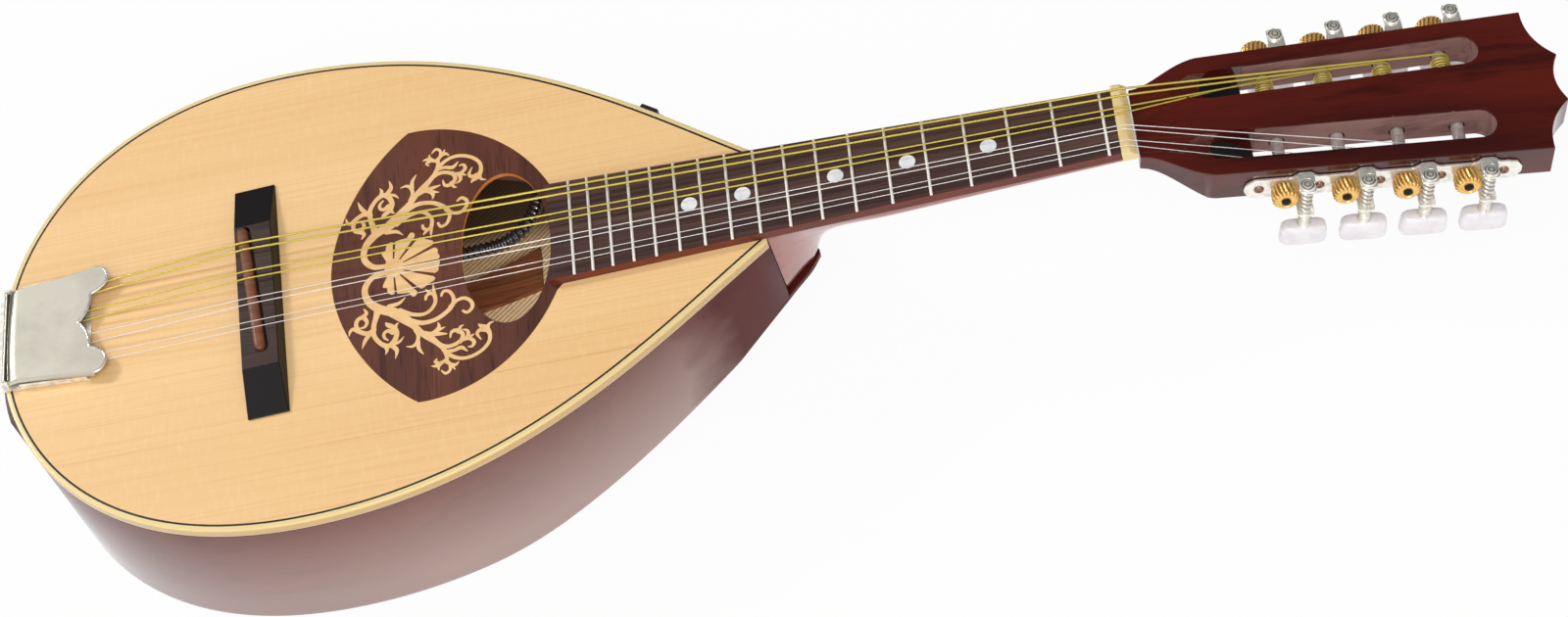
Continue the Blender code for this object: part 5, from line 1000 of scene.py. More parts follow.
# Each scroll's strokes, in millimetres: points as x, y and half width.
STROKES: tuple[tuple[Triple, ...], ...] = (
    ((50.7, 1.6, 1.3), (46.2, 2.3, 1.4), (42.9, 5.6, 1.5), (42.1, 9.8, 1.5), (43.8, 14.5, 1.8),
     (48.2, 18.8, 2.2), (53.8, 21.5, 2.4)),
    ((51.9, 18.2, 1.1), (56.0, 17.7, 0.9), (58.7, 15.5, 0.2)),
    ((53.0, 21.3, 2.4), (58.2, 25.8, 2.4), (62.4, 30.6, 1.5), (66.3, 35.7, 1.3), (70.6, 39.9, 1.1),
     (73.5, 43.4, 1.1), (74.7, 47.4, 0.9), (74.6, 50.1, 0.9)),
    ((56.3, 21.1, 1.1), (61.0, 24.1, 1.0), (65.9, 25.2, 0.9), (69.2, 23.6, 0.9), (71.1, 20.2, 0.9),
     (70.7, 16.3, 0.9), (70.4, 11.4, 0.2)),
    ((71.0, 17.3, 0.9), (69.5, 15.8, 0.8), (67.6, 16.5, 0.8), (67.1, 18.3, 0.6)),
    ((69.8, 16.1, 0.8), (68.3, 14.8, 0.7), (67.3, 13.6, 0.3)),
    ((59.7, 26.6, 1.3), (64.9, 29.2, 1.2), (70.2, 29.0, 1.1), (74.3, 27.1, 1.1), (77.6, 24.1, 1.1),
     (78.6, 20.5, 0.9), (77.1, 16.8, 0.8), (74.7, 16.0, 0.8), (73.6, 17.9, 0.6)),
    ((77.2, 24.0, 1.1), (79.8, 21.7, 0.9), (83.0, 21.2, 0.9), (85.7, 23.5, 0.9), (86.0, 26.4, 0.9),
     (83.9, 28.3, 0.8), (82.2, 27.2, 0.6)),
    ((47.4, 18.6, 2.0), (46.5, 22.2, 1.4), (45.4, 26.3, 1.2), (45.4, 31.0, 1.1), (47.8, 35.1, 1.1),
     (50.9, 37.2, 1.3), (53.4, 35.6, 1.3), (54.7, 32.1, 1.2), (53.6, 29.1, 1.3), (51.2, 27.1, 1.1),
     (50.4, 26.0, 0.4)),
    ((54.0, 30.1, 1.0), (54.6, 27.9, 0.7), (55.5, 27.1, 0.3)),
    ((54.2, 34.4, 0.9), (52.2, 35.8, 0.4)),
    ((53.1, 31.3, 1.1), (51.1, 29.9, 0.9), (49.5, 31.0, 0.8), (49.6, 32.9, 0.7), (51.0, 34.4, 0.4)),
    ((52.9, 36.9, 0.9), (55.8, 36.1, 0.7), (57.5, 34.2, 0.2)),
    ((50.1, 36.8, 1.1), (50.5, 39.2, 0.8), (49.8, 40.9, 0.2)),
    ((52.5, 37.3, 1.1), (54.5, 40.1, 1.0), (53.8, 43.7, 0.2)),
    ((45.5, 28.2, 1.1), (42.6, 29.4, 1.2), (39.4, 27.8, 1.1), (37.0, 26.0, 1.0), (35.6, 26.9, 0.7),
     (35.1, 28.9, 0.2)),
    ((43.8, 29.7, 1.1), (41.7, 32.5, 1.0), (40.4, 36.0, 0.2)),
    ((39.4, 27.8, 1.1), (38.1, 24.6, 1.0), (38.8, 21.9, 1.0), (41.2, 20.8, 1.1), (42.5, 19.4, 0.9),
     (41.5, 17.3, 0.3)),
    ((41.2, 21.0, 1.1), (42.6, 23.7, 0.9), (41.7, 25.9, 0.7), (39.9, 26.2, 0.4)),
    ((62.4, 32.0, 1.0), (63.5, 35.0, 0.9), (62.8, 38.2, 0.9), (60.9, 39.6, 0.7), (58.5, 39.1, 0.2)),
    ((63.4, 37.8, 0.9), (63.5, 41.1, 0.9), (65.2, 44.1, 0.3)),
    ((65.6, 34.1, 1.1), (68.7, 35.3, 1.1), (71.2, 34.0, 1.0), (72.1, 32.3, 0.8), (71.7, 30.5, 0.2)),
    ((68.7, 35.5, 1.1), (71.9, 36.0, 1.0), (75.1, 36.7, 0.3)),
    ((71.2, 34.4, 0.9), (72.8, 33.8, 0.7), (74.5, 33.3, 0.2)),
    ((69.1, 37.2, 1.1), (72.1, 41.2, 1.1), (75.3, 42.8, 1.0), (78.5, 42.4, 1.0), (81.4, 40.9, 1.0),
     (84.2, 40.9, 0.9), (86.1, 42.9, 0.9), (85.2, 44.8, 0.7), (83.6, 44.7, 0.3)),
    ((80.5, 41.7, 1.0), (81.7, 38.7, 1.0), (79.8, 36.1, 1.0), (77.2, 36.2, 0.8), (76.5, 38.7, 0.4)),
    ((79.9, 36.9, 0.9), (80.8, 34.7, 0.7), (82.1, 34.0, 0.2)),
    ((79.2, 36.2, 0.8), (78.0, 35.0, 0.2)),
    ((83.0, 40.8, 0.9), (83.9, 38.7, 0.9), (83.4, 36.9, 0.7), (81.6, 36.0, 0.2)),
    ((83.4, 40.4, 0.9), (85.0, 39.9, 0.7), (86.3, 39.2, 0.2)),
    ((74.4, 45.0, 0.9), (77.6, 45.2, 0.9), (80.8, 44.5, 1.0), (83.1, 46.7, 0.3)),
    ((73.6, 43.9, 1.1), (76.3, 47.3, 1.0), (80.2, 49.5, 0.9), (84.6, 49.6, 0.9), (89.1, 47.6, 0.9),
     (92.1, 44.3, 0.9), (92.6, 40.6, 1.0), (91.2, 37.5, 1.4), (89.2, 36.1, 1.0), (88.3, 35.0, 0.3)),
    ((91.1, 38.4, 1.1), (88.7, 37.9, 1.0), (87.5, 39.5, 0.8), (88.9, 42.4, 0.3)),
    ((91.7, 38.6, 1.0), (92.4, 35.9, 0.7), (94.5, 35.0, 0.2)),
    ((74.2, 49.1, 0.9), (71.8, 50.0, 0.9), (70.0, 48.9, 0.8), (70.7, 47.7, 0.3)),
    ((71.8, 50.2, 0.9), (70.2, 51.0, 0.8), (68.4, 50.6, 0.2)),
    ((71.0, 50.7, 0.8), (71.3, 52.9, 0.4)),
    ((72.6, 50.2, 0.7), (71.5, 51.8, 0.2)),
    ((74.2, 49.1, 0.9), (76.1, 51.4, 0.9), (78.1, 52.1, 0.8), (79.4, 51.0, 0.3)),
    ((76.5, 52.0, 0.8), (77.8, 54.1, 0.3)),
    ((75.9, 51.6, 0.8), (75.8, 54.1, 0.7), (74.0, 55.3, 0.7), (72.3, 53.6, 0.3)),
)

# Half of the scallop shell's outline, in millimetres.
SCALLOP_SHELL: tuple[Pair, ...] = (
    (58.4, 0.12), (73.2, 0.3), (73.7, 1.4), (73.3, 2.6), (72.7, 3.3), (73.1, 4.4), (72.6, 5.7),
    (71.4, 6.25), (58.7, 1.75), (58.3, 2.15), (70.7, 7.7), (71.5, 8.7), (70.9, 9.9), (69.4, 10.6),
    (68.0, 11.2), (67.0, 12.2), (65.8, 12.7), (64.9, 12.3), (57.2, 3.5), (56.7, 3.9), (63.6, 13.4),
    (63.7, 14.7), (63.0, 15.7), (61.9, 15.8), (61.1, 14.9), (60.3, 13.5), (57.8, 13.3), (55.5, 12.9),
    (54.8, 4.6), (54.2, 4.6), (54.4, 12.8), (53.2, 12.9), (52.1, 12.2), (51.5, 10.9), (51.4, 9.5),
    (50.9, 8.8), (50.1, 8.9), (49.6, 8.2), (49.8, 7.3), (51.5, 3.7), (50.6, 2.2))


@dataclass
class Rosette:
    """The rosewood panel round the soundhole with its maple scrolls and shell. The corners are on the
    wound side, and thin scales the strokes' widths."""

    bench: Bench
    box: SoundBox
    tail: float = 0.0282
    corner: Pair = (0.0625, 0.0664)
    neck: Pair = (0.1209, 0.0260)
    tongue: Pair = (0.1275, 0.0190)
    thin: float = 0.88

    def outline(self) -> Array:
        """Return the pointed outline from the tail side round one corner and back by the other."""
        tail = bezier([(self.tail, 0.0), (self.tail, 0.0220), (0.0410, 0.0500), self.corner], 30)
        neck = bezier([self.corner, (0.0800, 0.0675), (0.1060, 0.0580), self.neck], 30)[1:]
        half = np.vstack([tail, neck, [self.tongue]])
        close = np.linspace(self.tongue, (self.tongue[0], -self.tongue[1]), 14)[1:-1]
        return np.vstack([half, close, half[::-1][:-1] * MIRROR])

    def build_panel(self) -> None:
        """Make the panel and the thin pale line round it, flush with the soundboard."""
        loop = self.outline()
        inner = self.box.towards_hole(loop, -0.0002)
        panel = self.box.ring(loop, inner, T - 0.0005, T + 0.00006)
        self.bench.piece("rosewood_panel", panel, "panel", nodes=["rosette_panel"], slot="rosewood",
                         crease=60.0)
        way = unit(np.roll(loop, -1, axis=0) - np.roll(loop, 1, axis=0))
        out = np.column_stack([way[:, 1], -way[:, 0]])
        out *= np.sign(((loop - (self.box.hole[0], 0.0)) * out).sum(axis=1))[:, None]
        line = self.box.ring(loop + out * 0.00035, loop, T - 0.0005, T + 0.00005)
        self.bench.piece("panel_edge_line", line, "maple", slot="maple_inlay", crease=60.0)

    def stroke(self, shell: Shell, points: Array, top: float, steps: int = 5) -> None:
        """Add one tapering stroke: a smooth path with its half widths, its two ends rounded by
        w * sqrt(1 - s^2).

        Args:
            shell: The shell that takes the stroke.
            points: Centre points with their half widths.
            top: The height of its upper face.
            steps: Steps between two points.
        """
        curve = through(points, steps)
        path, halves = curve[:, :2], curve[:, 2]
        s = np.cos(np.radians(np.array([15.0, 40.0, 65.0])))
        start = path[0] - unit(path[1] - path[0]) * halves[0] * s[:, None]
        end = path[-1] + unit(path[-1] - path[-2]) * halves[-1] * s[::-1][:, None]
        round_off = np.sqrt(1.0 - s**2)
        path = np.vstack([start, path, end])
        halves = np.concatenate([halves[0] * round_off, halves, halves[-1] * round_off[::-1]])
        shell.ribbon(path, np.maximum(halves, 0.00008), T - 0.0002, top)

    def build_inlay(self) -> None:
        """Make the scrolls and the scallop shell, mirrored about the middle line."""
        shell = Shell()
        count = 0
        for sign in (1.0, -1.0):
            for points in STROKES:
                count += 1
                scaled = np.array(points) * (0.001, 0.001 * sign, 0.001 * self.thin)
                self.stroke(shell, scaled, T + 0.00012 + count * 2e-7)
        half = np.array(SCALLOP_SHELL) * 0.001
        shell.slab(np.vstack([half, half[::-1] * MIRROR]), T - 0.0002, T + 0.00011)
        self.bench.piece("maple_scrolls", shell, "maple", nodes=["rosette_inlay"], slot="maple_inlay",
                         crease=50.0)

    def build(self) -> None:
        """Build the panel and then its inlay."""
        self.build_panel()
        self.build_inlay()


@dataclass
class Neck:
    """The neck with its heel, the fretboard, frets, dots and nut. A station is the way from the body's
    joint, the depth, the half width at the root and the power of the section."""

    bench: Bench
    box: SoundBox
    frets: int = 17
    dots: tuple[int, ...] = (3, 5, 7, 10, 12)
    board_half: Pair = (0.01595, 0.0232)
    heel_end: float = 0.2225
    fret_half: float = 0.00062
    dot_radius: float = 0.0033
    board_end: Pair = (0.1190, 0.0015)
    nut_front: float = 0.3496
    nut_back: float = 0.3558
    stations: tuple[Quad, ...] = (
        (0.0003, 0.0470, 0.0160, 9.0), (0.0108, 0.0460, 0.0066, 5.0), (0.0140, 0.0420, 0.0042, 4.5),
        (0.0163, 0.0350, 0.0058, 4.0), (0.0190, 0.0275, 0.0086, 3.4), (0.0228, 0.0208, 0.0113, 3.0),
        (0.0280, 0.0162, 0.0140, 2.6), (0.0350, 0.0137, 0.0160, 2.4), (0.0495, 0.0118, 0.0186, 2.2),
        (0.0800, 0.0105, 0.0178, 2.1), (0.1493, 0.0068, 0.0154, 2.0))

    def half_width(self, x: Array | float) -> Array:
        """Return the fretboard's half width: a straight taper from the last fret to the zero fret."""
        last = self.fret_x(self.frets)
        share = (SCALE - np.asarray(x, float)) / (SCALE - last)
        return self.board_half[0] + (self.board_half[1] - self.board_half[0]) * share

    def fret_x(self, number: float) -> float:
        """Return a fret's place: the scale over the twelfth root of two to its number."""
        return SCALE * 2.0 ** (-number / 12.0)

    def build_neck(self) -> None:
        """Make the neck: U sections whose half width flares from the board to the root as
        (1 - s^p)^(1/p) over the depth share s."""
        rows = [(self.box.joint + x, *rest) for x, *rest in self.stations]
        x, depth, base, power = through(rows, 5).T
        seat = self.box.back_height(x) + self.box.back_thickness + 0.0003
        depth = np.where(x < self.heel_end, np.minimum(depth, T - seat), depth)
        wide = self.half_width(x)
        s = np.sin(np.linspace(0.0, np.pi / 2.0, 26))[None]
        flare = wide[:, None] + (base - wide)[:, None] * s
        y = flare * (1.0 - s ** power[:, None]) ** (1.0 / power[:, None])
        shear = np.zeros(len(x))
        shear[-1] = math.tan(math.radians(HEAD_ANGLE))
        down = s * depth[:, None]
        right = np.stack([x[:, None] - down * shear[:, None], y, T - down], axis=-1)
        left = right[:, -2::-1] * (1.0, -1.0, 1.0)
        self.bench.piece("neck_and_heel", Shell().sweep(np.concatenate([right, left], axis=1)), "mahogany",
                         nodes=["neck"], slot="dark_mahogany", crease=40.0)

    def build_board(self) -> None:
        """Make the fretboard, its end hollowed along a parabola beside the soundhole, with a dark top on a
        browner board."""
        low, bow = self.board_end
        share = np.linspace(1.0, -1.0, 17)
        end = np.column_stack([low + bow * (1.0 - share**2), self.half_width(low) * share])
        right = self.nut_front
        wide = float(self.half_width(right))
        loop = np.vstack([[(right, wide)], end, [(right, -wide)]])
        board = Shell().slab(loop, T + 0.0001, BOARD_TOP - 0.00005)
        self.bench.piece("fretboard_wood", board, "board_side", nodes=["fretboard"], slot="rosewood",
                         crease=30.0)
        face = Shell().slab(loop * (1.0, 0.985), BOARD_TOP - 0.0004, BOARD_TOP)
        self.bench.piece("fretboard_face", face, "board", slot="rosewood", crease=30.0)

    def fret(self, shell: Shell, number: int, low: float) -> None:
        """Add one fret wire: a half ellipse carried across the board, its ends bevelled.

        Args:
            shell: The shell that takes the wire.
            number: The fret's number, 0 for the zero fret.
            low: The height of its foot.
        """
        a = np.linspace(0.0, np.pi, 11)
        x = self.fret_x(number)
        wide = float(self.half_width(x))
        high = BOARD_TOP + FRET_HEIGHT - low
        ends = ((-wide + 0.0001, 0.55), (-wide + 0.0005, 1.0), (wide - 0.0005, 1.0),
                (wide - 0.0001, 0.55))
        shell.sweep(np.stack([np.column_stack([x + self.fret_half * np.cos(a), np.full(len(a), y),
                                               low + high * np.sin(a) * size]) for y, size in ends]))

    def build_frets(self) -> None:
        """Make the seventeen frets, the zero fret and the pearl dots between the frets."""
        wires = Shell()
        for number in range(1, self.frets + 1):
            self.fret(wires, number, BOARD_TOP - 0.0003)
        self.bench.piece("frets", wires, "fret", slot="fret_metal", crease=60.0)
        zero = Shell()
        self.fret(zero, 0, BOARD_TOP - 0.0001)
        self.bench.piece("zero_fret_wire", zero, "fret", nodes=["zero_fret"], slot="fret_metal", crease=60.0)
        dots = Shell()
        for number in self.dots:
            x = (self.fret_x(number) + self.fret_x(number - 1)) / 2.0
            dots.turned([(0.0, -0.0003), (self.dot_radius, -0.0003), (self.dot_radius, 0.00004),
                         (0.0, 0.00006)], placed(x, 0.0, BOARD_TOP))
        self.bench.piece("pearl_dots", dots, "pearl", slot="pearloid", crease=50.0)

    def build_nut(self, strings: Sequence[Pair]) -> None:
        """Make the nut: across y, each section's top is the smaller of the crest and the notch floors.

        Args:
            strings: The strings' places and radii at the nut.
        """
        steps = np.array([-1.6, -1.0, 0.0, 1.0, 1.6])
        notch_y = np.concatenate([y + steps * (r + 0.0002) for y, r in strings])
        y = np.unique(np.concatenate([np.linspace(-NUT_HALF, NUT_HALF, 30), notch_y]))
        floor = np.full(len(y), 1.0)
        for place, r in strings:
            away = np.abs(y - place) / (r + 0.0002)
            floor = np.where(away < 1.1, BOARD_TOP + 0.0011, floor)
        edge = np.clip((NUT_HALF - np.abs(y)) / 0.0008, 0.0, 1.0) ** 0.5
        crest = BOARD_TOP + 0.0015
        low = T + 0.0002
        front, back = self.nut_front, self.nut_back
        columns = [(front + 0.0001, low), (back, low), (back, crest - 0.0026),
                   (back - 0.0004, crest - 0.0020), (NUT_CREST + 0.0008, crest - 0.0003),
                   (NUT_CREST, crest), (front + 0.0006, crest), (front + 0.0001, crest - 0.0005)]
        rings = []
        for x, z in columns:
            height = low + (z - low) * (0.93 + 0.07 * edge)
            rings.append(np.column_stack([np.full(len(y), x), y, np.minimum(height, floor)]))
        self.bench.piece("string_nut", Shell().sweep(np.stack(rings, axis=1)), "ivoroid", nodes=["nut"],
                         slot="ivoroid", crease=30.0)

    def build(self, strings: Sequence[Pair]) -> None:
        """Build the neck, board, frets and nut."""
        self.build_neck()
        self.build_board()
        self.build_frets()
        self.build_nut(strings)


@dataclass
class Bridge:
    """The ebony bridge and its slanting saddle rod, whose angles are in degrees."""

    bench: Bench
    length: float = 0.1124
    flat: float = 0.0700
    tail: float = -0.0103
    width: float = 0.0154
    slope: float = 0.0018
    height: float = 0.0052
    end_height: float = 0.0010
    centre: Pair = (0.0009, -0.0034)
    skew: float = 2.5
    saddle_centre: Pair = (-0.0038, -0.0004)
    saddle_size: Triple = (0.0615, 0.0046, 0.0069)
    saddle_foot: float = 0.0029
    saddle_skew: float = 7.0
    saddle_end: float = 0.0024

    def stadium(self, half: float, wide: float) -> Array:
        """Return a long outline with round ends: two half circles joined by straight sides."""
        a = np.linspace(0.0, np.pi, 13)
        cap = np.column_stack([wide * np.cos(a), half - wide + wide * np.sin(a)])
        return np.vstack([cap, -cap])

    def build_base(self) -> None:
        """Make the bridge: flat in the middle, both ends sloping down, its front leaning back, and a slot."""
        full, flat = self.length / 2.0, self.flat / 2.0
        rows = [(-full, self.end_height), (-flat, self.height), (flat, self.height), (full, self.end_height)]
        front = self.tail + self.width + self.slope
        rings = [[(self.tail, y, 0.0), (front, y, 0.0), (front - self.slope * h / self.height, y, h),
                  (self.tail, y, h)] for y, h in rows]
        place = placed(*self.centre, T + 0.0001, self.skew)
        base = self.bench.piece("ebony_bridge", Shell().sweep(carried(np.array(rings), place)), "ebony",
                                nodes=["bridge_base"], slot="ebony", crease=6.0)
        loop = self.stadium(self.saddle_size[0] / 2.0 + 0.0007, self.saddle_size[1] / 2.0 + 0.0004)
        slot = Shell().slab(loop, self.saddle_foot - 0.0001, self.height + 0.0028, self.saddle_place(0.0006))
        self.bench.cut(base, slot, "saddle_slot")
        self.bench.bevelled(base, 0.0003)

    def saddle_place(self, shift: float = 0.0) -> Array:
        """Return the saddle's matrix, moved a little towards the head."""
        x, y = self.saddle_centre
        return placed(x + shift, y, T + 0.0001, self.saddle_skew)

    def crown_x(self, y: float) -> float:
        """Return where the saddle's crown carries a string."""
        return self.saddle_centre[0] - (y - self.saddle_centre[1]) * math.tan(math.radians(self.saddle_skew))

    def build_saddle(self) -> None:
        """Make the saddle: along the rod, a superellipse section |x|^2.6 + |z|^2.6 = 1 over straight
        sides, shrinking at both ends as a quarter circle."""
        length, width, top = self.saddle_size
        straight = length / 2 - self.saddle_end
        quarter = np.linspace(0.0, np.pi / 2, 9)
        y = np.concatenate([-np.cos(quarter) * self.saddle_end - straight,
                            np.linspace(-length / 2 + 0.006, length / 2 - 0.006, 5),
                            np.sin(quarter) * self.saddle_end + straight])
        end = np.clip((np.abs(y) - straight) / self.saddle_end, 0.0, 1.0)
        size = np.sqrt(np.maximum(1.0 - end**2, 0.02))[:, None]
        a = np.linspace(0.0, np.pi, 15)
        arch_x = bulged(np.cos(a), 2.0 / 2.6) * width / 2.0
        arch_z = np.sin(a) ** (2.0 / 2.6)
        x = np.concatenate([arch_x, [-width / 2.0, width / 2.0]])
        z = np.concatenate([self.height + (top - self.height) * arch_z[None] * (0.4 + 0.6 * size),
                            np.full((len(y), 2), self.saddle_foot)], axis=1)
        rings = np.stack([size * x[None], np.broadcast_to(y[:, None], z.shape), z], axis=-1)
        self.bench.piece("saddle_rod", Shell().sweep(carried(rings, self.saddle_place())), "saddle",
                         nodes=["bridge_saddle"], slot="saddle_rosewood", crease=50.0)

    def build(self) -> None:
        """Build the bridge and its saddle."""
        self.build_base()
        self.build_saddle()


@dataclass
class Tailpiece:
    """The plate that holds the strings, its hinged cover and the end pin. The front is half of the
    cover's scalloped edge, from the middle outwards."""

    bench: Bench
    hinge: Pair = (-0.1085, 0.0745)
    barrel: Triple = (0.00085, 0.0014, 0.0214)
    pin: Pair = (-0.1159, 0.0495)
    top: float = T + 0.0051
    sheet: float = 0.0008
    flange: float = 0.0016
    bend: float = -0.1025
    roll: Pair = (0.0066, 0.0046)
    bow: float = 0.0009
    tail_half: float = 0.0220
    front: tuple[Pair, ...] = (
        (-0.0773, 0.0), (-0.0753, 0.0024), (-0.0737, 0.0054), (-0.0725, 0.0095), (-0.0722, 0.0128),
        (-0.0697, 0.0142), (-0.0664, 0.0169), (-0.0652, 0.0200), (-0.0661, 0.0232), (-0.0680, 0.0252),
        (-0.0700, 0.0257))

    def cover_grid(self, front: Array) -> Array:
        """Return the cover's upper face, from the rolled tail edge to the scalloped front: flat, then falling
        round the bend along an ellipse to the hinge. Both sides are folded down in two steps, never below
        the soundboard.

        Args:
            front: The scalloped edge.

        Returns:
            The grid's points, by row and column.
        """
        length = lengths(front)
        across = 1.0 - 2.0 * length / length[-1]
        share = 0.35 * (front[:, 1] / front[:, 1].max()) + 0.65 * across
        tail_y = share * self.tail_half
        t = np.linspace(0.0, 1.0, 24)[:, None]
        bow = 1.0 - 0.012 * np.sin(np.pi * t)
        bend = self.bend - self.bow * (1.0 - across**2)
        flat_x = bend + (front[None, :, 0] - bend) * t
        flat_y = (tail_y[None] + (front[None, :, 1] - tail_y[None]) * t) * bow
        flat = np.stack([flat_x, flat_y, np.full_like(flat_x, self.top)], axis=-1)
        a = np.radians(np.linspace(100.0, 0.0, 17))[:-1]
        deep_x, deep_z = self.roll
        roll = [np.column_stack([bend - deep_x * math.sin(v), tail_y,
                                 np.full(len(share), self.top - deep_z * (1.0 - math.cos(v)))]) for v in a]
        grid = np.concatenate([np.array(roll), flat])
        for end in (0, -1):
            for out, drop in ((0.0004, 0.0004), (0.0005, self.flange)):
                fold = grid[:, [end]] + (0.0, math.copysign(out, grid[0, end, 1]), 0.0)
                fold[..., 2] = np.minimum(fold[..., 2], np.maximum(fold[..., 2] - drop, T + 0.0006))
                grid = np.concatenate([fold, grid] if end == 0 else [grid, fold], axis=1)
        return grid

    def sheet_shell(self, grid: Array) -> Shell:
        """Return a closed sheet: a grid, the same grid moved down its normals by the sheet's thickness, and
        a band of faces round the border.

        Args:
            grid: The upper face's points, by row and column.

        Returns:
            The sheet.
        """
        normal = unit(np.cross(np.gradient(grid, axis=1), np.gradient(grid, axis=0)))
        normal *= np.sign(normal[-1, grid.shape[1] // 2, 2])
        under = grid - normal * self.sheet
        rows, cols = grid.shape[:2]
        points = np.concatenate([grid.reshape(-1, 3), under.reshape(-1, 3)])
        size = rows * cols
        upper = quads(rows, cols, False, False)
        faces = upper + [tuple(k + size for k in face[::-1]) for face in upper]
        index = np.arange(size).reshape(rows, cols)
        border = np.concatenate([index[0, :-1], index[:-1, -1], index[-1, :0:-1], index[:0:-1, 0]])
        after = np.roll(border, -1)
        faces += [(int(b), int(a), int(a + size), int(b + size)) for a, b in zip(border, after)]
        shell = Shell()
        shell.add(points, faces)
        return shell

    def build_cover(self) -> None:
        """Make the cover's sheet, the bead on its front and the barrel of its hinge. The front is a smooth
        curve through the scallops."""
        near = through(self.front, 6)
        front = np.vstack([near[::-1], near[1:] * MIRROR])
        shell = self.sheet_shell(self.cover_grid(front))
        self.bench.piece("cover_sheet", shell, "cover", body="cover", nodes=["tailpiece_cover"],
                         slot="nickel_plate", crease=40.0)
        edge = lifted(front, self.top - 0.0003)
        self.bench.piece("cover_bead", Shell().tube(edge, 0.0006, (0.0, 0.0, 1.0), 10), "chrome",
                         body="cover", slot="nickel_plate", crease=60.0)
        x, z = self.hinge
        bore, outer, half = self.barrel
        barrel = Shell().turned([(bore, -half), (outer, -half), (outer, half), (bore, half)],
                                placed(x, 0.0, z, 90.0, "X"), 24)
        self.bench.piece("cover_barrel", barrel, "cover", body="cover", slot="nickel_plate")

    def build_fittings(self) -> None:
        """Make the end pin and keep the plate, its pin and the wooden guard."""
        profile = [(0.0, 0.0004), (0.0036, 0.0004), (0.0044, 0.0010), (0.0037, 0.0058), (0.0042, 0.0080),
                   (0.0060, 0.0096), (0.0060, 0.0116), (0.0053, 0.0128), (0.0, 0.0130)]
        place = placed(self.pin[0], 0.0, self.pin[1], -90.0, "Y")
        shell = Shell().turned(profile, place, 40)
        shell.turned([(0.0, -0.020), (0.0021, -0.020), (0.0021, 0.0012), (0.0, 0.0012)], place, 20)
        self.bench.piece("turned_end_pin", shell, "nickel", nodes=["end_pin"], slot="nickel_plate",
                         crease=40.0)
        self.bench.keep("tailpiece_base", "nickel")
        self.bench.keep("hinge_pin", "steel")
        self.bench.keep("tail_guard", "head")

    def build(self) -> None:
        """Build the cover and the fittings."""
        self.build_cover()
        self.build_fittings()


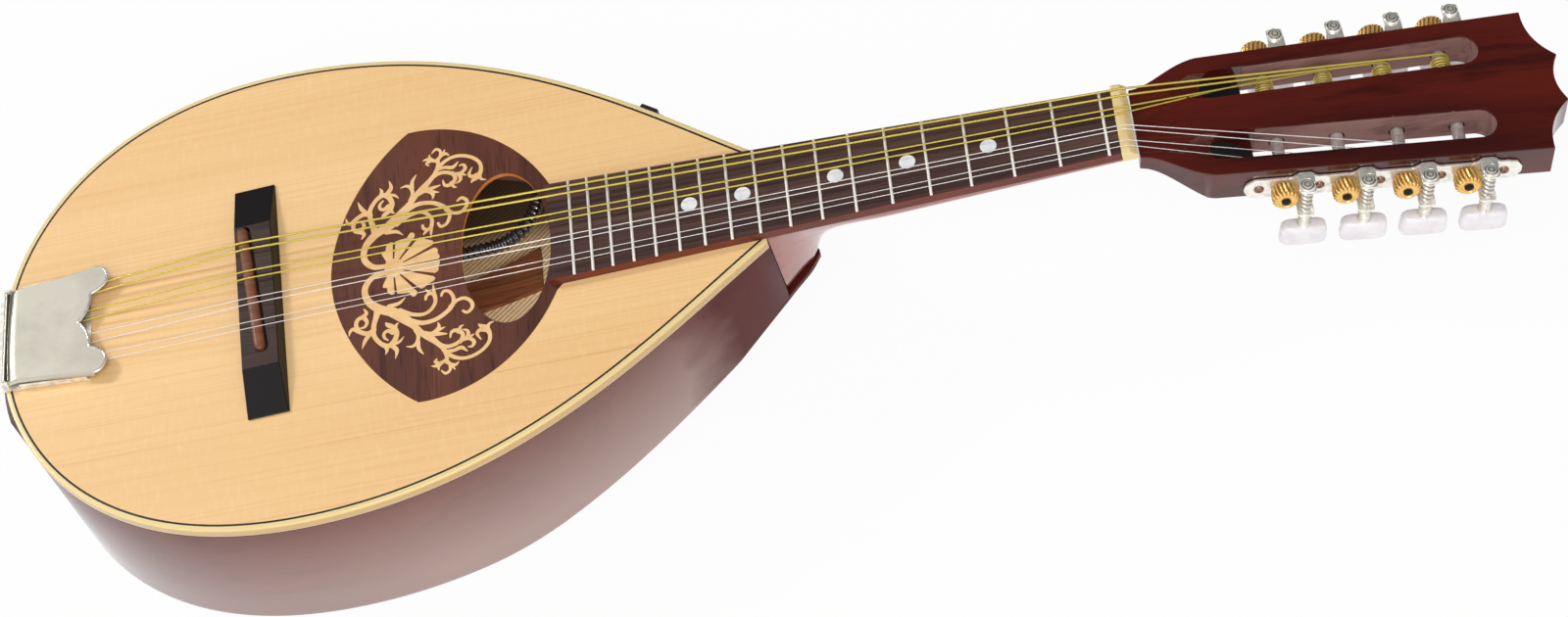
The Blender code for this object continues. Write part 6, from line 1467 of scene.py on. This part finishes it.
@dataclass
class Headstock:
    """The slotted headstock, in its own frame: u to the tip, v to the wound side, n off the face. A slot
    is its start, middle line, length and width, and splay is in degrees; a ramp is its start, slope and
    length; a roller's bore is its radius and reach."""

    bench: Bench
    start: float = 0.3565
    rise: float = 0.0005
    thick: float = 0.0160
    thin: float = 0.0073
    volute: float = 0.0260
    corner: Pair = (0.0258, 0.0291)
    shoulder: float = 0.0284
    tip: Pair = (0.1595, 0.0341)
    crest: Pair = (0.1697, 0.0112)
    hollow: float = 0.0032
    slot: Quad = (0.0280, 0.01495, 0.1118, 0.0136)
    splay: float = 1.8
    slot_end: float = 0.0180
    ramp: Triple = (0.0175, 0.25, 0.0190)
    roller_first: float = 0.0545
    roller_pitch: float = 0.0237
    roller_deep: float = 0.0099
    bore: Pair = (0.0032, 0.0268)

    def place(self) -> Array:
        """Return the headstock's matrix."""
        return placed(self.start, 0.0, T + self.rise) @ placed(turn=HEAD_ANGLE, axis="Y")

    def roller_x(self, number: int) -> float:
        """Return a roller's place along its machine head."""
        return self.roller_first + self.roller_pitch * number

    def side_slope(self) -> float:
        """Return how fast the straight sides spread."""
        return (self.tip[1] - self.corner[1]) / (self.tip[0] - self.corner[0])

    def tuner_place(self, sign: float) -> Array:
        """Return the frame of one side's machine head: x to the tip, y out of the side, z off the face."""
        v = self.corner[1] - self.corner[0] * self.side_slope()
        spread = placed(turn=sign * math.degrees(math.atan(self.side_slope())))
        return self.place() @ placed(0.0, sign * v, 0.0) @ spread @ np.diag([1.0, sign, 1.0, 1.0])

    def scallop(self, a: Sequence[float], b: Sequence[float]) -> Array:
        """Return a hollow between two points: the chord moved in by 4 h t (1 - t)."""
        a, b = np.asarray(a, float), np.asarray(b, float)
        way = unit(b - a)
        t = np.linspace(0.0, 1.0, 15)[:, None]
        return a + (b - a) * t + np.array([way[1], -way[0]]) * self.hollow * 4.0 * t * (1.0 - t)

    def outline(self) -> Array:
        """Return the outline: flared shoulders, straight sides and a crest of three scallops."""
        start = np.array([0.0, NUT_HALF])
        spread = (self.shoulder - self.corner[0]) * self.side_slope()
        corner = np.array([self.shoulder, self.corner[1] + spread])
        flare = bezier([start, start + (0.0090, 0.0002), corner - (0.0120, 0.0022), corner], 20)
        half = np.vstack([flare, self.scallop(self.tip, self.crest)])
        middle = self.scallop(self.crest, (self.crest[0], -self.crest[1]))[1:-1]
        return np.vstack([half, middle, half[::-1] * MIRROR])

    def slot_loop(self, sign: float, grow: float = 0.0) -> Array:
        """Return a string slot's outline: a splayed stadium.

        Args:
            sign: 1 on the wound strings' side, -1 on the other.
            grow: How far the outline is grown.

        Returns:
            The loop of points.
        """
        u, v, length, width = self.slot
        radius = width / 2.0
        splay = math.radians(self.splay)
        way = np.array([math.cos(splay), math.sin(splay)])
        a = np.linspace(0.0, np.pi, 25)[:, None]
        loops = []
        for centre, first in ((length - radius, -np.pi / 2), (radius, np.pi / 2)):
            turn = a + first + splay
            bend = np.hstack([np.cos(turn), np.sin(turn)]) * (radius + grow)
            loops.append(np.array([u, v]) + way * centre + bend)
        return np.vstack(loops) * (1.0, sign)

    def ramps(self) -> Shell:
        """Return the cutters of the string ramps: round hollows that fall towards the slots."""
        first, slope, length = self.ramp
        x = np.linspace(first, first + length, 12)[:, None]
        wide = self.slot[3] / 2.0 * np.sqrt(np.clip((x - first) / 0.009 + 0.08, 0.0, 1.0))
        a = np.linspace(0.0, np.pi, 15)[None]
        drop = (x - first) * slope + 0.0001
        shell = Shell()
        for _, sign in SIDES:
            y = sign * self.slot[1] + wide * np.cos(a)
            z = 0.0030 - (drop + 0.0030) * np.sin(a) ** 0.6
            shell.sweep(carried(np.stack([np.broadcast_to(x, y.shape), y, z], axis=-1), self.place()))
        return shell

    def bores(self) -> Shell:
        """Return the cutters of the rollers' eight holes."""
        radius, reach = self.bore
        shell = Shell()
        for _, sign in SIDES:
            for number in range(4):
                turn = placed(self.roller_x(number), 0.0, -self.roller_deep, 90.0, "X")
                shell.turned([(0.0, -0.002), (radius, -0.002), (radius, reach), (0.0, reach)],
                             self.tuner_place(sign) @ turn, 24)
        return shell

    def volute_cutter(self, deep: float) -> Shell:
        """Return the cutter of the hollow behind the nut, where the wood thins from thick to thin."""
        share = np.linspace(0.0, 1.0, 14)
        drop = self.thin + (self.thick - self.thin) * share**1.7
        loop = np.vstack([[(-0.003, -deep), (-0.003, -self.thin + 0.0004)],
                          np.column_stack([self.volute * share, -drop]), [(self.volute + 0.002, -deep)]])
        rings = np.stack([np.insert(loop, 1, y, axis=1) for y in (-0.045, 0.045)])
        return Shell().sweep(carried(rings, self.place()))

    def build(self) -> None:
        """Make the headstock: the outline stood up and rounded at its edges, then cut by slots, ramps,
        roller holes and the hollow behind the nut; then what lines and closes the slots."""
        place = self.place()
        head = self.bench.piece("headstock_wood", Shell().slab(self.outline(), -self.thick, 0.0, place),
                                "head", nodes=["headstock"], slot="dark_mahogany", crease=22.0)
        self.bench.bevelled(head, 0.0006)
        deep = self.thick + 0.004
        slots = Shell()
        for _, sign in SIDES:
            slots.slab(self.slot_loop(sign), -deep, 0.004, place)
        for name, tool in (("string_slots", slots), ("string_ramps", self.ramps()),
                           ("roller_bores", self.bores()), ("volute_hollow", self.volute_cutter(deep))):
            self.bench.cut(head, tool, name)
        shaded(head.data, 22.0)
        for side, sign in SIDES:
            self.build_slot_wall(side, sign, deep)
            self.build_slot_end(side, sign)

    def build_slot_wall(self, side: str, sign: float, deep: float) -> None:
        """Make a slot's rough wooden wall, a thin ring that leaves the roller holes and the nut end open.

        Args:
            side: The side's name.
            sign: 1 on the wound strings' side, -1 on the other.
            deep: How far down the cutters reach.
        """
        outer, inner = self.slot_loop(sign, -0.00002), self.slot_loop(sign, -0.0003)
        low, high = -self.thick + 0.0006, -0.0006
        rings = strip_rings(((outer, low), (outer, high), (inner, high), (inner, low)))
        wall = self.bench.piece("slot_wall_" + side, Shell().sweep(carried(rings, self.place()), closed=True),
                                "slot_wood", slot="dark_mahogany", crease=50.0)
        end = (self.slot[0] + self.slot_end + 0.0003, 0.04, 0.004)
        self.bench.cut(wall, self.bores(), "bore_gap_" + side)
        self.bench.cut(wall, Shell().box((0.0, -0.04, -deep), end, self.place()), "end_gap_" + side)
        shaded(wall.data, 50.0)

    def build_slot_end(self, side: str, sign: float) -> None:
        """Make the wood that closes a slot's nut end, near black as painted shade: the slot's own outline up
        to a straight line, its top falling from under the ramp to the back as the share of the way to the
        power of 1.6.

        Args:
            side: The side's name.
            sign: 1 on the wound strings' side, -1 on the other.
        """
        loop = self.slot_loop(sign, -0.0001) * (1.0, sign)
        far = self.slot[0] + self.slot_end
        end = loop[loop[:, 0] < far]
        lower, upper = float(end[:, 1].min()), float(end[:, 1].max())
        x = np.linspace(self.slot[0] + 0.0002, far, 16)
        ring = []
        back = -self.thick + 0.0005
        for u in x:
            near = np.clip((u - self.slot[0]) / (self.slot[3] / 2.0), 0.0, 1.0)
            wide = (upper - lower) / 2.0 * math.sqrt(1.0 - (1.0 - near) ** 2) + 0.0001
            share = (u - self.slot[0]) / (far - self.slot[0])
            high = -0.0052 - (self.thick - 0.0066) * share**1.6
            middle = self.slot[1] + (u - self.slot[0]) * math.tan(math.radians(self.splay))
            ring.append([(u, sign * (middle + s * wide * 0.97), z)
                         for s, z in ((-1, high), (1, high), (1, back), (-1, back))])
        self.bench.piece("slot_end_" + side, Shell().sweep(carried(np.array(ring), self.place())),
                         "painted_shade", slot="dark_mahogany", crease=40.0)


@dataclass
class MachineHead:
    """One side's four machine heads: plate, screws, gears, rollers, worms and buttons. A gear is its
    radius and where it starts and ends; a button is its start, length, width and thickness."""

    bench: Bench
    head: Headstock
    side: str
    sign: float
    worm: Pair = (0.0080, 0.0070)
    plate_ends: Pair = (0.0388, 0.1473)
    plate_rows: Pair = (-0.0155, -0.0045)
    plate_round: float = 0.0055
    screw_steps: Pair = (-0.0098, 0.0147)
    ears: Pair = (-0.0184, -0.0021)
    ear_size: Triple = (0.0033, 0.0103, 0.0012)
    roller: Pair = (0.0028, 0.0265)
    gear: Triple = (0.0054, 0.0016, 0.0086)
    teeth: int = 18
    button: Quad = (0.0270, 0.0112, 0.0193, 0.0068)

    def __post_init__(self) -> None:
        """Work out this side's frame."""
        self.place = self.head.tuner_place(self.sign)

    def plate_loop(self) -> Array:
        """Return the plate's outline seen from the side: straight edges that swell at each pair of ears as
        a raised cosine, a round end at the nut and a pointed one at the tip."""
        low, high = self.plate_rows
        start, end = self.plate_ends
        x = np.linspace(start + self.plate_round, end - self.plate_round, 160)
        swell = np.zeros(len(x))
        for number in range(4):
            away = np.clip(np.abs(x - self.head.roller_x(number) - self.worm[0]) / 0.0058, 0.0, 1.0)
            swell = np.maximum(swell, np.clip(1.5 * (0.5 + 0.5 * np.cos(np.pi * away)), 0.0, 1.0))
        upper = np.column_stack([x, high + (self.ears[1] - high) * swell])
        lower = np.column_stack([x, low + (self.ears[0] - low) * swell])[::-1]
        a = np.radians(np.linspace(90.0, 270.0, 15))[1:-1]
        middle = (low + high) / 2.0
        round_end = np.column_stack([start + self.plate_round + self.plate_round * np.cos(a),
                                     middle + self.plate_round * np.sin(a)])
        tip = np.array([(end - 0.0020, high - 0.0008), (end, middle + 0.0016), (end, middle - 0.0016),
                        (end - 0.0020, low + 0.0008)])
        return np.vstack([upper, tip, lower, round_end[::-1]])

    def side_view(self) -> Array:
        """Return the matrix that stands a drawing seen from the side on the machine head."""
        return self.place @ np.array([[1, 0, 0, 0], [0, 0, 1, 0], [0, 1, 0, 0], [0, 0, 0, 1]], float)

    def axle(self, x: float, turn: float = 0.0) -> Array:
        """Return the matrix of what turns on a roller's or a screw's axis, its z out of the side."""
        return self.side_view() @ placed(x, -self.head.roller_deep, 0.0, turn)

    def cross(self, shell: Shell, x: float, face: float, size: float, turn: float) -> None:
        """Add the two bars of a cross recess as painted shade: near-black bars just proud of a screw's head,
        with no recess cut.
        """
        for angle in (turn, turn + 90.0):
            shell.box((-size, -size * 0.2, face - 0.0003), (size, size * 0.2, face + 0.00003),
                      self.axle(x, angle))

    def build_plate(self) -> None:
        """Make the plate with its bent ears, and the wood screws with domed heads and cross recesses of
        painted shade.
        """
        shell = Shell().slab(self.plate_loop(), 0.0003, 0.0014, self.side_view())
        half, reach, sheet = self.ear_size
        a = np.radians(np.linspace(0.0, 90.0, 7))
        soft = 0.0016
        corner = np.column_stack([half - soft + soft * np.cos(a), reach - soft + soft * np.sin(a)])
        loop = np.vstack([[(half, 0.0008)], corner, corner[::-1] * (-1.0, 1.0), [(-half, 0.0008)]])
        for number in range(4):
            for top in (self.ears[1], self.ears[0] + sheet):
                middle = (self.head.roller_x(number) + self.worm[0], 0.0)
                shell.slab(loop + middle, top - sheet, top, self.place)
        self.bench.piece("tuner_plate_metal_" + self.side, shell, "nickel",
                         nodes=["tuner_plate_" + self.side], slot="nickel_plate", bevel=0.0002)
        domes, bars = Shell(), Shell()
        dome = [(0.0, 0.0010), (0.0017, 0.0012), (0.0020, 0.0015), (0.0018, 0.0020), (0.0012, 0.0024),
                (0.0, 0.0025)]
        before, after = self.screw_steps
        places = [self.head.roller_x(n) + before for n in range(4)] + [self.head.roller_x(3) + after]
        for k, x in enumerate(places):
            domes.turned(dome, self.axle(x), 24)
            self.cross(bars, x, 0.00245, 0.0008, 25.0 + 37.0 * k)
        self.bench.piece("wood_screws_" + self.side, domes, "wood_screw", slot="steel", crease=40.0)
        self.bench.piece("wood_screw_recess_shade_" + self.side, bars, "painted_shade", slot="steel")

    def build_gear(self, number: int) -> None:
        """Make one roller with its gear. The gear's radius is the root plus a rounded tooth whose phase
        shifts across the width, which slants the teeth, and both rims are chamfered.

        Args:
            number: Which roller, from 0 at the nut.
        """
        name = f"{self.side}_{number + 1}"
        body = f"string_roller_{name}"
        x = self.head.roller_x(number)
        radius, low, high = self.gear
        place = self.axle(x)
        a = circle(self.teeth * 8)
        z = np.array([low, low + 0.0001, low + 0.0007, *np.linspace(low + 0.0012, high - 0.0012, 9),
                      high - 0.0007, high - 0.0001, high, high, high - 0.0004, high - 0.0004])
        size = np.array([0.55, 0.80, 0.93, *np.ones(9), 0.93, 0.80, 0.66, 0.60, 0.55, 0.2])
        slant = (z[:, None] - low) * 900.0
        tooth = np.clip(0.6 + 0.9 * np.cos(self.teeth * a[None] + slant), 0.0, 1.0)
        grip = np.clip((size - 0.66) / 0.27, 0.0, 1.0)[:, None]
        r = radius * size[:, None] * (1.0 - 0.11 * (1.0 - tooth) * grip)
        rings = carried(round_rings(r, a, z), place)
        # the hollows between the teeth carry the share that the brass paints as shade
        self.bench.piece("gear_" + name, Shell().sweep(rings, along=(1.0 - tooth) * grip), "brass", body=body,
                         nodes=[body], slot="brass", crease=55.0)
        width, reach = self.roller
        foot, neck = low + 0.0003, width * 0.93
        post = [(0.0, foot), (width * 0.9, foot), (width, 0.0), (width, -0.0060), (neck, -0.0066),
                (neck, -reach + 0.0040), (width, -reach + 0.0034), (width, -reach + 0.0004),
                (width * 0.85, -reach), (0.0, -reach)]
        screw = [(0.0, high - 0.0008), (0.0018, high - 0.0008), (0.0019, high + 0.0002),
                 (0.0014, high + 0.0006), (0.0, high + 0.0007)]
        for kind, profile, sides, finish in (("post_", post, 28, "chrome"),
                                             ("gear_screw_", screw, 24, "screw")):
            self.bench.piece(kind + name, Shell().turned(profile, place, sides), finish, body=body,
                             slot="steel", crease=40.0)
        # the gear screw's cross recess is painted shade
        bars = Shell()
        self.cross(bars, x, high + 0.00068, 0.0009, 15.0 + 50.0 * number)
        self.bench.piece("gear_screw_recess_" + name, bars, "painted_shade", body=body, slot="steel")

    def build_worm(self, name: str, place: Array) -> None:
        """Make one key's ringed cap, worm and ribbed shaft. The worm's radius is its core plus a thread
        whose phase is the angle less the height over the lead.

        Args:
            name: The key's side and number.
            place: The matrix of the key's axis.
        """
        top, foot, lead = -0.0036, -0.0169, 0.0026
        a = circle(24)
        z = np.linspace(top, foot, 70)
        phase = (a[None] / (2.0 * np.pi) - z[:, None] / lead) % 1.0
        edge = np.clip(np.minimum(z - foot, top - z) / 0.0012, 0.0, 1.0)[:, None]
        thread = np.clip(1.25 - np.abs(2.0 * phase - 1.0) * 2.2, 0.0, 1.0) * edge
        rings = round_rings(0.00165 + 0.00085 * thread, a, z)
        # the thread's valleys carry the share that the nickel paints as shade
        shell = Shell().sweep(carried(rings, place), along=(1.0 - thread) * edge)
        # the third number marks the cap's ring grooves for painted shade
        cap = [(0.0, -0.0004, 0), (0.0008, -0.0005, 0), (0.0010, -0.0010, 1), (0.0013, -0.0010, 1),
               (0.0015, -0.0007, 0), (0.0020, -0.0008, 0), (0.0022, -0.0013, 1), (0.0025, -0.0013, 1),
               (0.0028, -0.0011, 0), (0.0032, -0.0015, 0), (0.0032, -0.0019, 0), (0.0, -0.0019, 0)]
        shell.turned([row[:2] for row in cap], place, 32, np.array([row[2] for row in cap], float))
        shaft = [(0.0, -0.0010), (0.0015, -0.0010), (0.0015, -0.0187), (0.0024, -0.0188), (0.0026, -0.0192),
                 (0.0024, -0.0196), (0.0018, -0.0198)]
        for step in range(4):
            shaft += [(r, z - step * 0.0016) for r, z in ((0.0018, -0.0202), (0.0026, -0.0206),
                                                          (0.0026, -0.0211), (0.0018, -0.0215))]
        shaft += [(0.0027, -0.0268), (0.0027, -0.0273), (0.0, -0.0273)]
        shell.turned(shaft, place, 24)
        self.bench.piece("worm_" + name, shell, "nickel", body="tuner_key_" + name, slot="nickel_plate",
                         crease=40.0)

    def build_button(self, name: str, place: Array) -> None:
        """Make one key's button: its section is a superellipse that shrinks to both ends.

        Args:
            name: The key's side and number.
            place: The matrix of the key's axis.
        """
        start, length, width, thick = self.button
        t = np.sin(np.linspace(-1.0, 1.0, 23) * np.pi / 2.0)[:, None]
        size = np.maximum((1.0 - np.abs(t) ** 5.0) ** (1.0 / 5.0), 0.3)
        b = circle(48)[None]
        x = bulged(np.cos(b), 2.0 / 4.5) * width / 2.0
        y = bulged(np.sin(b), 2.0 / 3.0) * thick / 2.0
        waist = 1.0 - 0.03 * (1.0 + t)
        z = np.broadcast_to(-start - length / 2.0 + t * length / 2.0, (len(t), b.size))
        rings = np.stack([(0.4 + 0.6 * size) * waist * x, size * y, z], axis=-1)
        body = "tuner_key_" + name
        self.bench.piece("button_" + name, Shell().sweep(carried(rings, place)), "pearloid", body=body,
                         nodes=[body], slot="pearloid", crease=50.0)

    def build(self) -> None:
        """Build the plate and the four pairs of gear and key."""
        self.build_plate()
        for number in range(4):
            self.build_gear(number)
            place = self.place @ placed(self.head.roller_x(number) + self.worm[0], self.worm[1], 0.0)
            name = f"{self.side}_{number + 1}"
            self.build_worm(name, place)
            self.build_button(name, place)


@dataclass
class Strings:
    """The eight strings, from their hooks over saddle and nut to their loops on the rollers. The first
    four are wound."""

    bench: Bench
    head: Headstock
    bridge: Bridge
    names: tuple[str, ...] = ("g_outer", "g_inner", "d_outer", "d_inner", "a_inner", "a_outer", "e_inner",
                              "e_outer")
    nut_y: tuple[float, ...] = (0.0141, 0.0107, 0.0051, 0.0022, -0.0034, -0.0055, -0.0108, -0.0134)
    saddle_y: tuple[float, ...] = (0.0218, 0.0183, 0.0074, 0.0038, -0.0059, -0.0088, -0.0175, -0.0205)
    tail_y: tuple[float, ...] = (0.0174, 0.0132, 0.0060, 0.0014, -0.0052, -0.0100, -0.0155, -0.0193)
    radii: tuple[float, ...] = (0.00045, 0.00045, 0.00034, 0.00034, 0.0002, 0.0002, 0.00016, 0.00016)
    hook: Pair = (-0.0900, T + 0.0019)
    crown: float = T + 0.00685
    roller_radius: float = 0.0028
    wound_roll: tuple[int, float] = (4, -0.0106)
    plain_roll: tuple[int, float] = (2, -0.0086)
    roll_gap: float = 0.0005

    def at_nut(self) -> list[Pair]:
        """Return the strings' places and radii at the nut."""
        return list(zip(self.nut_y, self.radii))

    def route(self, index: int) -> Array:
        """Return one string's route; on the roller it is a helix of the circle r (sin a, cos a) that moves
        inwards by the pitch each turn.

        Args:
            index: Which string, from the outer wound one.

        Returns:
            The route's points.
        """
        radius = self.radii[index]
        wound = index < 4
        place = self.head.tuner_place(1.0 if wound else -1.0)
        nut_z = BOARD_TOP + FRET_HEIGHT + 0.0002 + radius
        saddle, nut_y = self.saddle_y[index], self.nut_y[index]
        straight = np.array([(self.hook[0], self.tail_y[index], self.hook[1]),
                             (self.bridge.crown_x(saddle), saddle, self.crown + radius),
                             (SCALE, nut_y, nut_z), (NUT_CREST, nut_y, nut_z)])
        nut = carried(straight[-1:], np.linalg.inv(place))[0]
        x, deep = self.head.roller_x(3 - index % 4), self.head.roller_deep
        bend = self.roller_radius + 0.0003 + radius
        first = math.atan2(nut[2] + deep - bend, x - nut[0])
        turns, start = self.wound_roll if wound else self.plain_roll
        turn = np.linspace(0.0, turns, turns * 28 + 1)
        a = first + 2.0 * np.pi * turn
        y = start - (2.0 * radius + self.roll_gap) * turn - 0.0006 * np.minimum(turn, 1.0)
        helix = np.column_stack([x + bend * np.sin(a), y, bend * np.cos(a) - deep])
        return np.vstack([straight, carried(helix, place)])

    def build(self) -> None:
        """Make each string as one unbroken wire."""
        for index, name in enumerate(self.names):
            wound = index < 4
            route = self.route(index)
            spans = zip(route[:4], route[1:5], (12, 30, 3, 12))
            dense = np.vstack([np.linspace(a, b, n, endpoint=False) for a, b, n in spans] + [route[4:]])
            shell = Shell().tube(dense, self.radii[index], (0.0, 1.0, 0.0), 12)
            self.bench.piece("wire_" + name, shell, "bronze" if wound else "steel", nodes=["string_" + name],
                             slot="wound_bronze" if wound else "plain_steel", crease=60.0)


@dataclass
class Electronics:
    """The pickup electronics in the side, and the cable that shows through the soundhole."""

    bench: Bench
    box: SoundBox
    knobs: tuple[tuple[str, float], ...] = (("volume_knob", 0.1380), ("bass_knob", 0.1490),
                                            ("treble_knob", 0.1600))
    bundle: tuple[Pair, ...] = (
        (0.0400, 0.0200), (0.0600, 0.0193), (0.0800, 0.0190), (0.0947, 0.0207), (0.1030, 0.0262),
        (0.1078, 0.0340), (0.1098, 0.0410))
    bundle_height: float = 0.0458
    lip_ends: Pair = (0.1595, 0.1685)
    lip_heights: Pair = (0.0585, 0.0682)
    lip_half: float = 0.0017
    wrap_radius: float = 0.0027
    wrap_pitch: float = 0.0025

    def build(self) -> None:
        """Make the knobs, lip and cable wrap; the housing, battery door and cable keep their CAD form."""
        for node in ("preamp_housing", "battery_door", "pickup_cable"):
            self.bench.keep(node, "black_plastic")
        for name, x in self.knobs:
            self.build_knob(name, x)
        self.build_bezel()
        self.build_wrap()

    def build_knob(self, name: str, x: float) -> None:
        """Make one ribbed knob in the middle of its CAD node's box, square to the side.

        Args:
            name: The knob's node and body.
            x: Its place along the side.
        """
        line = self.box.outline(-0.0027)
        upper = line[: len(line) // 2]
        index = int(np.argmin(np.abs(upper[:, 0] - x)))
        way = unit(upper[index + 1] - upper[index - 1])
        out = np.array([-way[1], way[0], 0.0])
        out *= np.sign(out[1])
        centre = np.mean([np.array(c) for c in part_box(name)], axis=0)
        turn = Vector(unit(out)).to_track_quat("Z", "Y").to_matrix().to_4x4()
        a = circle(96)
        heights = np.array([-0.0014, 0.0014, 0.0026, 0.0031, 0.0032])
        sizes = np.array([0.0042, 0.00415, 0.0040, 0.0036, 0.0010])
        rib = 1.0 - 0.04 * (np.cos(24 * a) > 0.0)[None] * (heights < 0.0027)[:, None]
        rings = round_rings(sizes[:, None] * rib, a, heights)
        shell = Shell().sweep(carried(rings, np.array(Matrix.Translation(Vector(centre)) @ turn)))
        self.bench.piece(name + "_cap", shell, "black_plastic", body=name, nodes=[name],
                         slot="black_plastic", crease=25.0)

    def build_bezel(self) -> None:
        """Make the raised lip that shows beyond the far edge: a ribbon along the side's outer face."""
        line = self.box.outline(-self.lip_half - 0.0001)
        near = line[(line[:, 1] > 0.0) & (line[:, 0] > self.lip_ends[0]) & (line[:, 0] < self.lip_ends[1])]
        shell = Shell().ribbon(near, np.full(len(near), self.lip_half), *self.lip_heights)
        self.bench.piece("preamp_lip", shell, "black_plastic", slot="black_plastic", bevel=0.0006)

    def build_wrap(self) -> None:
        """Make the bundle's spiral wrap: a tube whose radius is raised by a narrow pulse of the length
        over the pitch of its turns."""
        path = lifted(through(self.bundle, 60), self.bundle_height)
        pulse = np.clip(np.cos(2.0 * np.pi * lengths(path) / self.wrap_pitch) * 1.6, -1.0, 1.0)
        shell = Shell().tube(path, self.wrap_radius + 0.00035 * pulse, (0.0, 0.0, 1.0), 16)
        self.bench.piece("cable_wrap", shell, "wrap", slot="black_plastic", crease=80.0)


@dataclass
class Studio:
    """The camera at the photograph's angle, the pale floor and the soft light. A panel is its name,
    place, size, power and aim; the dome is a range of the way's y and the world's strength at its ends."""

    centre: Triple = (0.3637, -0.8197, 1.1875)
    right: Triple = (0.97604204, -0.09196832, -0.19718966)
    down: Triple = (-0.18613090, -0.82226776, -0.53780203)
    forward: Triple = (-0.11268195, 0.56162048, -0.81968605)
    lens: float = 80.36
    floor_white: float = 0.95
    dome: Quad = (-0.6, 0.4, 0.9, 0.06)
    panels: tuple[tuple[str, Triple, float, float, Triple], ...] = (
        ("key_panel", (-1.4, 0.9, 1.5), 0.45, 19.0, (0.1, 0.0, 0.07)),
        ("fill_panel", (0.25, -1.1, 1.75), 1.0, 14.0, (0.1, 0.0, 0.07)),
        ("metal_card", (-0.72, 1.12, 1.68), 0.8, 1.9, (-0.1, 0.0, 0.07)),
        ("hole_glow", (0.10, -0.050, 0.056), 0.02, 0.032, (0.10, 0.02, 0.0)))

    def build_camera(self) -> None:
        """Place the camera by its three directions."""
        data = bpy.data.cameras.new("camera")
        data.lens = self.lens
        data.sensor_width = 36.0
        data.sensor_fit = "HORIZONTAL"
        data.clip_start, data.clip_end = 0.05, 30.0
        obj = linked("camera", data)
        matrix = np.eye(4)
        matrix[:3, :3] = np.column_stack([self.right, -np.array(self.down), -np.array(self.forward)])
        matrix[:3, 3] = self.centre
        obj.matrix_world = Matrix(matrix.tolist())
        bpy.context.scene.camera = obj

    def build_floor(self) -> None:
        """Lay the wide white floor just under the back. To camera, glossy and transmission rays it is
        mostly plain white."""
        obj = linked("floor", Shell().box((-6.0, -6.0, -0.0104), (6.0, 6.0, -0.0004)).mesh("floor"))
        paint = Paint("white_floor", roughness=0.9)
        paint.fill(paint.shader.inputs["Base Color"], (0.86, 0.86, 0.86, 1.0))
        rays = paint.node("ShaderNodeLightPath").outputs
        seen = Socket(paint, rays["Is Camera Ray"])
        for name in ("Is Glossy Ray", "Is Transmission Ray"):
            seen = seen.math("MAXIMUM", Socket(paint, rays[name]))
        white = paint.node("ShaderNodeEmission").outputs[0]
        lit = paint.shader.outputs[0]
        mix = paint.node("ShaderNodeMixShader", {0: seen * self.floor_white, 1: lit, 2: white})
        paint.fill(paint.nodes["Material Output"].inputs[0], mix.outputs[0])
        obj.data.materials.append(paint.material)

    def build_light(self) -> None:
        """Light the scene with a world that is pale behind the camera and dim above the far side, a key
        panel from the far left, a fill panel over the camera, a small card for the metal and a glow
        inside the body that stands for the light through the soundhole."""
        world = bpy.data.worlds.new("studio")
        bpy.context.scene.world = world
        tree = Tree(world)
        way = tree.node("ShaderNodeTexCoord").outputs["Generated"]
        far = tree.node("ShaderNodeSeparateXYZ", (way,)).outputs["Y"]
        fall = tree.node("ShaderNodeMapRange", (far, *self.dome))
        lit = tree.nodes["Background"].inputs
        tree.fill(lit["Color"], (1.0, 1.0, 1.0, 1.0))
        tree.fill(lit["Strength"], fall.outputs["Result"])
        for name, place, size, power, aim in self.panels:
            data = bpy.data.lights.new(name, "AREA")
            data.shape = "SQUARE"
            data.size = size
            data.energy = power
            obj = linked(name, data)
            obj.location = place
            obj.visible_camera = False
            obj.rotation_euler = (Vector(aim) - Vector(place)).to_track_quat("-Z", "Y").to_euler()

    def build(self) -> None:
        """Set up the camera, floor and light."""
        self.build_camera()
        self.build_floor()
        self.build_light()
        bpy.context.scene.view_settings.view_transform = "Standard"


def main() -> None:
    """Load the frame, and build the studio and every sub-assembly in order."""
    logging.basicConfig(level=logging.INFO, format="%(message)s")
    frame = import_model()
    Studio().build()
    bench = Bench(Finishes(), frame)
    box = SoundBox(bench)
    box.build()
    Rosette(bench, box).build()
    head, bridge = Headstock(bench), Bridge(bench)
    strings = Strings(bench, head, bridge)
    Neck(bench, box).build(strings.at_nut())
    bridge.build()
    Tailpiece(bench).build()
    head.build()
    for side, sign in SIDES:
        MachineHead(bench, head, side, sign).build()
    strings.build()
    Electronics(bench, box).build()


if __name__ == "__main__":
    main()
